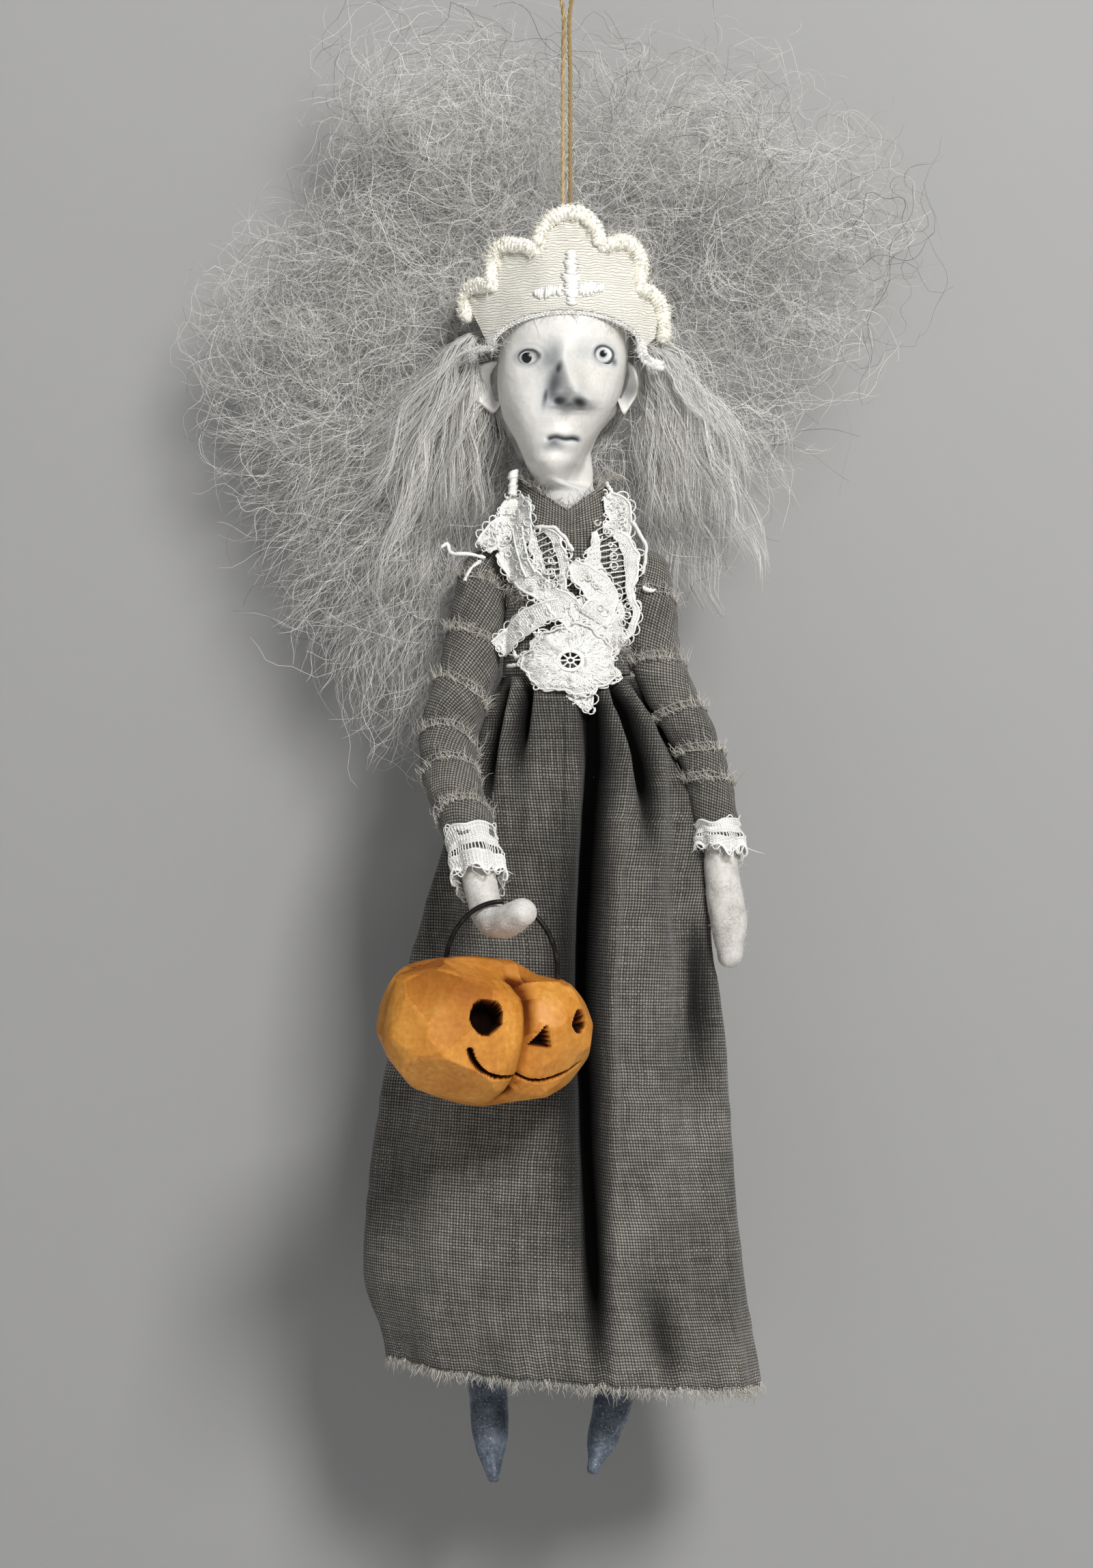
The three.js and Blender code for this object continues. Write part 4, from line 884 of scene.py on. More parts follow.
@dataclass
class Studio:
    """Camera at the photograph's angle, soft lights, a wall close behind and a floor below; sizes in metres."""

    distance: float = 0.9
    centre: tuple = (-0.0046, -0.1903)
    view_height: float = 0.35875
    wall_y: float = 0.046
    floor_z: float = -0.41
    wall_top: float = 1.2
    half_width: float = 1.6
    film: float = 0.036
    aim_z: float = -0.19

    def build(self) -> None:
        """Makes the camera, the lights and the stage."""
        scene = bpy.context.scene
        lens = bpy.data.cameras.new("camera")
        lens.sensor_fit = "VERTICAL"
        lens.sensor_height = lens.sensor_width = self.film / MM
        lens.lens = self.film / MM / 2 / (self.view_height / 2 / self.distance)
        camera = bpy.data.objects.new("camera", lens)
        camera.location = (self.centre[0], -self.distance, self.centre[1])
        camera.rotation_euler = (math.pi / 2, 0, 0)
        scene.collection.objects.link(camera)
        scene.camera = camera
        scene.view_settings.view_transform = "Standard"
        self.lamp("key", (0.36, -0.9, 0.42), 0.3, 12.6, (1.0, 0.985, 0.96))
        self.lamp("fill", (-0.85, -0.9, -0.05), 0.9, 1.1, (0.97, 0.98, 1.0))
        self.lamp("back", (0.3, 0.9, 0.35), 0.8, 3.0, (1.0, 1.0, 1.0))
        world = bpy.data.worlds.new("studio")
        world.use_nodes = True
        sky = world.node_tree.nodes["Background"]
        sky.inputs["Color"].default_value = (0.8, 0.82, 0.84, 1)
        sky.inputs["Strength"].default_value = 0.2
        scene.world = world
        w, d, f, t = self.half_width, self.wall_y, self.floor_z, self.wall_top
        wall = [(-w, d, f), (w, d, f), (w, d, t), (-w, d, t)]
        self.sheet("wall", wall, StudioPaper("wall paper", 0.9, colour="a4a4a4", one_way=True))
        self.sheet("floor", [(-w, -w, f), (w, -w, f), (w, w, f), (-w, w, f)], StudioPaper("floor paper", 0.9))

    def lamp(self, name: str, place: tuple, size: float, watts: float, colour: tuple) -> None:
        """Adds a square soft light aimed at the doll."""
        light = bpy.data.lights.new(name, "AREA")
        light.size = size
        light.energy = watts
        light.color = colour
        lamp = bpy.data.objects.new(name, light)
        lamp.location = place
        aim = np.array([0, 0, self.aim_z]) - np.array(place)
        flat = math.hypot(aim[0], aim[1])
        lamp.rotation_euler = (math.pi / 2 + math.atan2(aim[2], flat), 0, math.atan2(aim[1], aim[0]) - math.pi / 2)
        bpy.context.scene.collection.objects.link(lamp)

    def sheet(self, name: str, corners: list, finish: Finish) -> None:
        """Adds a flat sheet of the stage."""
        mesh = bpy.data.meshes.new(name)
        mesh.from_pydata(corners, [], [(0, 1, 2, 3)])
        mesh.materials.append(finish.material())
        made = bpy.data.objects.new(name, mesh)
        bpy.context.scene.collection.objects.link(made)


# Twine


@dataclass
class Twine:
    """Doubled hanging twine, twisted of two plies, with a bight at its top."""

    diameter: float = 1.1
    strand_x: float = 0.85
    bight_x: float = 4.05
    bight_length: float = 10.0
    crown_z: float = -71.0
    seat: float = 3.0
    lay: float = 3.4
    steps: int = 420
    hairs: int = 260

    def route(self) -> Array:
        """Centre line from one seat in the crown round the bight to the other."""
        x, b, top = self.strand_x, self.bight_x, -self.bight_length
        half = [
            (x, self.crown_z - self.seat),
            (x, lerp(self.crown_z, top, 0.35)),
            (x, lerp(self.crown_z, top, 0.7)),
            (x, top - 3),
            (lerp(x, b, 0.55), 0.62 * top),
            (b, -0.8 * b),
            (0.72 * b, self.diameter / 2 - 0.25 * b),
        ]
        line = [(-a, 0, z) for a, z in half] + [(0, 0, self.diameter / 2)] + [(a, 0, z) for a, z in half[::-1]]
        return spline(line, np.linspace(0, 1, self.steps))

    def build(self) -> None:
        rng = np.random.default_rng(7)
        line = self.route()
        reach = arc(line)
        along = unit(np.gradient(line, axis=0))
        out = np.array([0.0, 1, 0])
        beside = np.cross(along, out)
        turn = 2 * math.pi * reach / self.lay
        swing = 0.235 * self.diameter
        plies = []
        for bearing in (turn, turn + math.pi):
            plies.append(line + swing * (np.cos(bearing)[:, None] * out + np.sin(bearing)[:, None] * beside))
        tone = 0.5 + 0.25 * rng.normal(size=(2, self.steps)).cumsum(1) / 12
        radii = 0.27 * self.diameter * (1 + 0.06 * rng.normal(size=(2, self.steps)))
        cord = tubes(np.array(plies), radii, 7, tone)
        pick = rng.integers(4, self.steps - 5, self.hairs)
        sideways = rng.normal(size=(self.hairs, 3)) + 1.2 * along[pick]
        fuzz = fibres(line[pick], sideways, rng.uniform(0.8, 2.0, self.hairs), rng, 0.3, 0.04, (0.5, 1.0))
        piece = make_piece("hanging_twine_plies", cord, TWINE, Body.DOLL, ["hanging_twine"])
        hairs = make_piece("twine_hairs", fuzz, TWINE, Body.DOLL)


# Head and cap


@dataclass
class Head:
    """Sculpted clay head: an egg that leans to the doll's right at the chin, with its features."""

    crown_z: float = -71.0
    height: float = 51.0
    width: float = 29.4
    depth: float = 33.0
    chin_shift: float = 3.6
    neck_radius: float = 7.6
    neck_x: float = -0.8
    neck_z: float = -136.0
    eye_level: float = 0.444
    eye_spacing: float = 17.0
    eye_shift: float = 0.6
    flat: float = 0.8
    eye_radius: float = 2.5
    # how narrow and how low each eye opening is
    almond: tuple = ((0.9, 1.28), (1.02, 1.12))
    # the first two rows are slate wash by the inner corners of the eyes; the rest are painted shade on the nose's
    # left side and under its tip
    smears: tuple = (  # strength, x and its spread, z and its spread
        (0.56, -3.7, 1.9, -94.2, 2.8), (0.26, 3.6, 1.6, -93.2, 2.0), (0.84, -3.0, 1.6, -100.4, 3.6),
        (0.92, -1.9, 0.8, -97, 1.5), (0.88, -4.8, 0.6, -103, 2.2), (0.8, 0.6, 3.2, -105.2, 0.7),
        (0.45, -0.4, 2.6, -102.6, 1.1),
    )
    egg: tuple = (  # share of the height, half width, front and back
        (0.03, 0.2, 0.18, 0.2),
        (0.1, 0.36, 0.33, 0.38),
        (0.24, 0.47, 0.45, 0.52),
        (0.4, 0.5, 0.465, 0.55),
        (0.55, 0.49, 0.45, 0.5),
        (0.68, 0.425, 0.44, 0.42),
        (0.8, 0.305, 0.43, 0.31),
        (0.91, 0.21, 0.4, 0.24),
        (0.985, 0.13, 0.31, 0.22),
    )

    def section(self, share) -> tuple:
        """Half width, front and back at shares of the height from the crown."""
        width, front, back = np.moveaxis(read_rows(self.egg, share), -1, 0)
        return width * self.width, front * self.depth, back * self.depth

    def lean(self, share):
        """How far the middle of the face is shifted at shares of the height."""
        return -self.chin_shift * smoothstep(share, 0.2, 1)

    def eye(self, side: Side) -> Array:
        """Centre of an eyeball."""
        width, front, _ = self.section(np.array(self.eye_level))
        surface = -front * (1 - (self.eye_spacing / 2 / width) ** 2) ** (self.flat / 2) + 1.5
        x = self.lean(self.eye_level) + self.eye_shift + side.value * self.eye_spacing / 2
        level = self.crown_z - self.eye_level * self.height + 0.35 * side.value
        return np.array([x, surface + 0.56 * self.eye_radius, level])

    def relief(self, x: Array, z: Array) -> tuple:
        """Features of the face.

        Args:
            x: Places across the face.
            z: Heights.

        Returns:
            How far the clay stands forward of the egg, and how strong the wash and the painted shade are.
        """
        share = (self.crown_z - z) / self.height
        lean = self.lean(share)
        ridge_x = np.interp(z, [-106, -102, -95, -90], [2.2, 1.8, -0.7, -0.6])
        nose_z = [-107.2, -105.9, -105.2, -104, -102.5, -99, -95, -91.5, -89]
        rise = np.interp(z, nose_z, [0, 0.9, 3.8, 5.6, 6.1, 4.6, 2.6, 1.0, 0])
        spread = np.interp(z, [-105, -102, -96, -91], [3.8, 3.5, 2.4, 1.9])
        relief = rise * np.exp(-np.abs((x - ridge_x) / spread) ** 1.9)
        relief += 0.8 * bump(x - 2.4, 1.9) * bump(z + 101.9, 1.9)
        wing = bump(z + 103.9, 1.2)
        relief += 1.5 * wing * (bump(x - ridge_x + 3.6, 1.1) + bump(x - ridge_x - 3.3, 1.1))
        paint_and_shade = []
        for hole_x in (-1.55, 2.75):
            hole = np.exp(-np.hypot((x - hole_x) / 1.95, (z + 104.5 + 0.12 * (x - 0.6)) / 1.25) ** 3)
            relief -= 1.3 * hole
            paint_and_shade.append(hole)
        for side in Side:
            cx, _, cz = self.eye(side)
            wide, tall = self.almond[side is Side.LEFT]
            away = np.hypot((x - cx) * wide, (z - cz) * tall)
            relief -= 1.5 * bump(x - cx, 2.6) * bump(z - cz, 2.4)
            over = smoothstep(z - cz, -1.6, 1.6)
            relief += lerp(0.18, 0.72, over) * bump(away - 2.4, 0.45) + 0.3 * bump(away - 3.7, 0.8) * over
            paint_and_shade += [lerp(0.6, 0.95, over) * bump(away - 2.08, 0.27), 0.34 * bump(away - 2.5, 0.5)]
            drop = 0.1 if side is Side.RIGHT else -1.5
            paint_and_shade.append(0.8 * bump(x - cx - 2.4, 0.62) * bump(z - cz - drop, 0.8))
            relief += 0.95 * bump(x - lean - 0.28 * side.value * self.width, 3.2) * bump(z + 104.6, 3.2)
        for strength, middle, spread, level, tall in self.smears:
            paint_and_shade.append(strength * bump(x - middle - 0.17 * (z - level), spread) * bump(z - level, tall))
        crease = -112.4 - 0.008 * (x + 1.3) ** 2 + 0.13 * np.cos(1.55 * (x + 2.5))
        mouth = smoothstep(np.abs(x + 0.8), 4.6, 3.0)
        relief -= 0.75 * mouth * bump(z - crease, 0.38)
        upper_lip = 0.55 * bump(x + 1.2, 3.0) * bump(z - crease - 1.3, 0.8)
        relief += upper_lip + 0.85 * bump(x + 1.1, 2.7) * bump(z - crease + 1.55, 0.9)
        relief -= 0.3 * bump(x + 0.6, 0.8) * bump(z + 107.8, 1.3)
        paint_and_shade += [mouth * bump(z - crease, 0.46), 0.78 * bump(x + 2.8, 1.7) * bump(z - crease + 1.3, 0.9)]
        chin = 1.3 * bump(x - lean, 3.4) * bump(z + 118.4, 2.4)
        relief += chin - 0.5 * bump(x - lean, 3.6) * bump(z + 115.4, 0.9)
        relief += 0.5 * bump(np.abs(x - lean) - 7.2, 3.0) * bump(z + 89.5, 1.6)
        # painted shadow under the chin
        paint_and_shade.append(0.16 * bump(z + 123.5, 2.0))
        return relief, np.maximum.reduce(paint_and_shade)

    def ear(self, side: Side) -> Form:
        """A leaf-shaped ear, cupped to the front, with wash in its hollow."""
        s = side.value
        share = 0.575
        base_x = float(self.lean(share)) + s * (float(self.section(np.array(share))[0]) - 0.5)
        turn = circle(48)
        reach = np.array([5.4, 5.8] if side is Side.RIGHT else [3.5, 6.4])
        point = 1 + (0.4 if side is Side.RIGHT else 0.12) * bump(wrapped(turn - 0.95), 0.4)
        rings, tones = [], []
        profile = [
            (0.02, -0.3), (0.3, -0.25), (0.5, -0.5), (0.68, -1.0), (0.82, -1.75), (0.93, -1.95),
            (1.0, -1.5), (0.98, -0.5), (0.8, 0.7), (0.4, 1.3), (0.02, 1.5),
        ]
        for size, y in profile:
            out = np.sin(turn) * reach[0] * point * size
            up = np.cos(turn) * reach[1] * point * size
            lobe = 1 - 0.6 * smoothstep(-up, -1, 6)
            x = base_x + s * (0.9 + out * lobe)
            front = 2.2 + y + 0.16 * out
            rings.append(places(x, front, -99.2 + up - 0.35 * out))
            tones.append(np.full(len(turn), 0.42 * bump(size - 0.3, 0.25) if y < 0 else 0.03))
        return loft(np.array(rings), tone=np.array(tones))

    def build(self) -> None:
        """Makes the head with its ears, and both eyes."""
        turn = circle(256)
        around = turn - 0.42 * np.sin(turn)
        share = np.concatenate([np.linspace(0.005, 0.3, 16), np.linspace(0.305, 0.985, 144)])
        width, front, back = self.section(np.maximum(share, 0.03))
        near = np.sqrt(np.clip(share / 0.03, 0, 1))
        width, front, back = width * near, front * near, back * near
        ahead = np.cos(around)
        nape = smoothstep(-ahead, -0.35, 0.45)[None] * smoothstep(share, 0.66, 0.95)[:, None]
        wide = lerp(width[:, None], np.maximum(width[:, None], self.neck_radius), nape)
        x = lerp(self.lean(share)[:, None], self.neck_x, nape) + wide * np.sin(around)
        z = np.broadcast_to((self.crown_z - share * self.height)[:, None], x.shape)
        relief, wash = self.relief(x, z)
        facing = np.sqrt(np.clip(ahead, 0, 1))
        level = np.sign(ahead) * np.abs(ahead) ** lerp(1, self.flat, smoothstep(ahead, 0, 0.2))
        y = -level * np.where(ahead > 0, front[:, None], back[:, None]) - relief * facing
        rings = places(x, y, z)
        tones = wash * smoothstep(ahead, 0.02, 0.3)
        jaw = rings[-1]
        neck = []
        for step in np.linspace(0, 1, 22)[1:]:
            level = lerp(jaw[0, 2], self.neck_z, step)
            flare = 1 + 0.12 * smoothstep(step, 0.6, 1)
            size = self.neck_radius * flare
            across = self.neck_x * (1 - step) + size * np.sin(around)
            ring = places(across, -size * ahead, level)
            neck.append(lerp(jaw, ring, smoothstep(step, 0, 0.16)) * [1, 1, 0] + ring * [0, 0, 1])
        rings = np.concatenate([rings, np.array(neck)])
        shade = 0.12 * bump(np.linspace(0, 1, len(neck)) - 0.12, 0.14)[:, None] * np.ones(len(around))
        tones = np.concatenate([tones, shade])
        hand = uneven(rings, (0.16, 4.5, 3), (0.06, 1.4, 4))
        rings = rings + hand[..., None] * unit(rings - np.array([0, 0, -97]))
        form = Form.join([loft(rings, tone=tones), *[self.ear(side) for side in Side]])
        make_piece("clay_head", form.plain(), CLAY, Body.DOLL, ["head"])
        for side, pupil, look in [(Side.RIGHT, 0.5, (-0.15, 0.0)), (Side.LEFT, 0.27, (-0.1, 0.1))]:
            self.eyeball(side, RingedEye(f"eye_{side.label}_paint", 0.3, pupil=pupil), look)

    def eyeball(self, side: Side, finish: RingedEye, look: tuple) -> None:
        """Adds a painted eyeball; look shifts its pupil across and up."""
        bpy.ops.object.select_all(action="DESELECT")
        centre = self.eye(side)
        bpy.ops.mesh.primitive_uv_sphere_add(segments=32, ring_count=22, radius=self.eye_radius * MM)
        ball = bpy.context.object
        bpy.ops.object.mode_set(mode="EDIT")
        bpy.ops.transform.rotate(value=math.pi / 2, orient_axis="X", center_override=(0, 0, 0))
        bpy.ops.mesh.subdivide(number_cuts=1, smoothness=1.0)
        bpy.ops.object.mode_set(mode="OBJECT")
        spots = np.empty(len(ball.data.vertices) * 3)
        ball.data.vertices.foreach_get("co", spots)
        spots = self.eye_radius * unit(spots.reshape(-1, 3))
        pupil = np.hypot(spots[:, 0] - look[0], spots[:, 2] - look[1]) / self.eye_radius
        wide, tall = self.almond[side is Side.LEFT]
        lid = np.hypot(1.04 * wide * spots[:, 0], 1.04 * tall * spots[:, 2] + 0.2) / self.eye_radius
        tone = np.where(lid > 0.7, np.maximum(lid, pupil), pupil)
        ball.data.vertices.foreach_set("co", ((spots + centre) * MM).ravel())
        ball.data.update()
        ball.name = f"painted_eye_{side.label}"
        values = ball.data.attributes.new("tone", "FLOAT", "POINT")
        values.data.foreach_set("value", np.where(spots[:, 1] < 0, tone, 1.0).astype(np.float32))
        ball.data.materials.append(finish.material())
        bpy.ops.object.shade_smooth()
        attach(ball, Body.DOLL.value)
        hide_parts(f"eye_{side.label}")
        log.info("%s: %d points on doll", ball.name, len(spots))


@dataclass
class Cap:
    """Cambric fan that stands on the brow, with a padded scalloped edge, whitework and lace at its rim."""

    rim_z: float = -83.7
    spread: float = 168.0
    outline: tuple = (  # x and z
        (-22.8, -85.3), (-24.4, -82.3), (-24.8, -79.3), (-22.6, -77.1), (-19.7, -76.2), (-18.3, -75.5),
        (-18.3, -72.6), (-17.8, -70.0), (-16.3, -67.3), (-12.9, -65.9), (-9.7, -66.0), (-7.9, -65.2),
        (-6.2, -62.8), (-3.4, -60.1), (0.1, -59.1), (3.8, -60.1), (6.5, -63.0), (8.3, -65.2), (11.4, -65.7),
        (15.5, -67.1), (17.6, -69.8), (18.6, -72.8), (18.8, -75.6), (20.3, -77.0), (22.1, -79.3),
        (22.9, -82.2), (22.8, -86.3), (22.2, -89.5),
    )
    scallops: tuple = (  # x and z, a row for each scallop
        ((-22.1, -85.0), (-23.0, -82.5), (-23.4, -79.7), (-22.3, -77.6), (-19.9, -76.8), (-17.4, -77.1),
         (-16.1, -78.3)),
        ((-17.0, -78.5), (-17.2, -74.6), (-16.9, -71.0), (-15.7, -68.7), (-13.3, -68.0), (-10.3, -68.5),
         (-7.7, -69.5), (-6.3, -70.6)),
        ((-5.7, -69.9), (-6.3, -66.8), (-4.9, -64.1), (-2.7, -62.1), (0.4, -61.1), (3.4, -61.5),
         (5.7, -63.5), (6.9, -65.8), (7.5, -69.0)),
        ((7.7, -70.1), (8.6, -68.8), (10.7, -67.8), (13.1, -67.4), (15.4, -68.7), (16.7, -71.2),
         (16.8, -74.2), (16.1, -77.8)),
        ((15.6, -78.2), (18.2, -78.2), (20.3, -80.0), (21.6, -82.4), (22.1, -85.3), (22.1, -88.0),
         (21.7, -90.0)),
    )
    edging: float = 4.1
    rim_width: float = 35.0
    rim_fall: float = 8.0
    brow: float = 14.3
    sag: float = 0.024
    tilt: float = 0.2

    def depth(self, x: Array, z: Array) -> Array:
        """Y of the cap's middle surface."""
        return -(self.brow + 0.8) + self.sag * x * x + self.tilt * (z - self.rim_z)

    def edge(self, angle: Array, short: float = 0.0) -> Array:
        """Middle of the scalloped edging by angle in degrees, drawn in by short."""
        share = angle / self.spread + 0.5
        ahead = unit(spline(self.outline, share + 0.004) - spline(self.outline, share - 0.004))
        inward = places(ahead[..., 1], -ahead[..., 0])
        return spline(self.outline, share) + (self.edging / 2 + short) * inward

    def rim(self, angle: Array, inset: float = 0.0) -> Array:
        """Lower edge round the brow by the same angle."""
        turn = np.radians(angle * 180 / self.spread)
        across, down = self.rim_width / 2 - inset, self.rim_fall - inset
        return places(across * np.sin(turn), self.rim_z - self.rim_fall + down * np.cos(turn))

    def on_cap(self, flat: Array, lift: float | Array = 0.0) -> Array:
        """Places on the cap of flat places, raised to the front by lift."""
        return places(flat[..., 0], self.depth(flat[..., 0], flat[..., 1]) - lift, flat[..., 1])

    def build(self) -> None:
        """Makes the fan, its edging, its whitework and its rim lace."""
        rng = np.random.default_rng(11)
        angle = np.linspace(-self.spread / 2, self.spread / 2, 181)
        share = np.linspace(0, 1, 26)
        low, high = self.rim(angle), self.edge(angle, 0.2)
        flat = lerp(low[:, None], high[:, None], share[:, None])
        pucker = 0.45 * lattice_noise(places(flat[..., 0] / 5, flat[..., 1] / 7, 0.0), 5)
        gathers = 0.5 * smoothstep(share, 0.75, 1) * np.cos(2 * math.pi * angle / 8.4)[:, None]
        pucker = (pucker + gathers) * smoothstep(share, 0, 0.3)
        front, rear = self.on_cap(flat, 0.3 + pucker), self.on_cap(flat, -0.3 + pucker)
        rings = np.concatenate([front, rear[:, ::-1]], 1)
        spots = np.concatenate([flat, flat[:, ::-1], flat[:, :1]], 1)
        cloth = make_piece("cambric_cap", loft(rings, spots), CAMBRIC, Body.DOLL, ["cap_cloth"])
        make_piece("scalloped_edging", self.rolled_edge(rng), CREAM, Body.DOLL, ["cap_edging"])
        make_piece("whitework", self.whitework(rng), COTTON, Body.DOLL)
        make_piece("rim_lace", self.rim_lace(rng), COTTON, Body.DOLL, ["cap_band"])

    def rolled_edge(self, rng: Rng) -> Form:
        """Looped braid along the scallops, one length for each, full of small loops."""
        made = []
        for row in self.scallops:
            line = self.on_cap(spline(row, np.linspace(0, 1, 120)), 0.5)
            reach = arc(line)
            normal, third = front_frame(line)
            turn = circle(24)
            ring = np.cos(turn)[None, :, None] * normal[:, None] + np.sin(turn)[None, :, None] * third[:, None]
            size = (self.edging / 2 - 0.35) * (0.9 + 0.1 * bump(reach - reach[-1] / 2, reach[-1] / 4))
            size = size * np.sqrt(np.clip(np.minimum(reach, reach[-1] - reach) / 1.3, 0.02, 1))
            points = line[:, None] + size[:, None, None] * ring
            knots = uneven(points, (0.26, 0.5, 6), (0.2, 1.7, 26))
            knots = knots + 0.16 * np.sin(2 * math.pi * reach / 0.95)[:, None]
            points = points + (knots * np.minimum(size, 1)[:, None])[..., None] * ring
            # the tone follows the knots, darker in the dips between them: painted shade
            roll = loft(points, tone=0.85 + 0.4 * knots)
            many = 600
            pick, spot = rng.integers(3, 117, many), rng.integers(0, 24, many)
            heading = ring[pick, spot] + 0.8 * rng.normal(size=(many, 3))
            roots = points[pick, spot] - 0.1 * ring[pick, spot]
            fuzz = fibres(roots, heading, rng.uniform(0.3, 0.8, many), rng, 1.1, 0.1, (0.8, 1.0))
            made += [roll.plain().outward(), fuzz]
        return Form.join(made)

    def whitework(self, rng: Rng) -> Form:
        """Cross of satin bars in the middle of the cap."""
        bars = []
        for z in np.arange(-70.2, -82.2, -0.3):
            wide = 1.3 + 0.35 * math.cos(1.9 * z) + (0.6 if -79 < z < -75.4 else 0)
            bars.append([(1.0 - wide, z + 0.12), (1.0, z), (1.0 + wide, z - 0.1)])
        for x in np.arange(-7, 8.2, 0.34):
            if abs(x - 1.0) > 2.0 and abs(x + 5.4) > 0.5:
                tall = 1.25 + 0.4 * math.cos(1.3 * x)
                level = -79.1 + 0.09 * x
                bars.append([(x - 0.1, level - tall), (x, level), (x + 0.1, level + tall)])
        flat = np.array(bars) + rng.normal(scale=0.2, size=(len(bars), 3, 2))
        share = np.linspace(0, 1, 7)
        flat = np.stack([spline(bar, share) for bar in flat])
        lift = 0.42 + 0.28 * np.sin(math.pi * share)
        thick = 0.46 * np.clip(np.sin(math.pi * np.linspace(0.08, 0.92, 7)), 0.3, 1)
        return threads(self.on_cap(flat, lift), thick, rng, sides=6)

    def rim_lace(self, rng: Rng) -> Form:
        """Narrow plaited lace along the rim, with soft tails that hang at the temples."""
        angle = np.linspace(-self.spread / 2, self.spread / 2, 25)
        path = self.on_cap(self.rim(angle, 0.5), 0.1)
        ends = [
            [(-22.4, -6.4, -92.6), (-20.8, -7.6, -92.0), (-19.2, -8.8, -91.6)],
            [(17.4, -9.2, -93.4), (18.8, -8.2, -94.6), (21.8, -6.6, -95.5)],
        ]
        steps, tails = 420, 60
        line = spline(np.vstack([ends[0], path, ends[1]]), np.linspace(0, 1, steps))
        reach = arc(line)
        normal, third = front_frame(line)
        tail = 1 + 0.85 * smoothstep(reach, reach[-1] - 11, reach[-1] - 7) + 0.3 * smoothstep(reach, 9, 4)
        plait = []
        for start in (0, 2.1, 4.2):
            swing = 2 * math.pi * reach / 2.6 + start
            side = 0.3 * tail**1.6 * np.sin(swing)
            plait.append(line + side[:, None] * third + (0.22 * tail * np.sin(2 * swing))[:, None] * normal)
        radii = 0.17 * tail[None] ** 1.7 * (1 + 0.12 * rng.normal(size=(3, steps)))
        cords = threads(np.array(plait), radii, rng, 0.7, 6)
        spans = [(0, tails, 240), (steps - tails, steps, 240), (tails, steps - tails, 260)]
        near = np.concatenate([rng.integers(*span) for span in spans])
        many = len(near)
        heading = rng.normal(size=(many, 3)) + 0.4 * normal[near]
        fuzz = fibres(line[near], heading, rng.uniform(0.8, 2.2, many), rng, 0.6, 0.06, (0.6, 1.0))
        return Form.join([cords, fuzz])


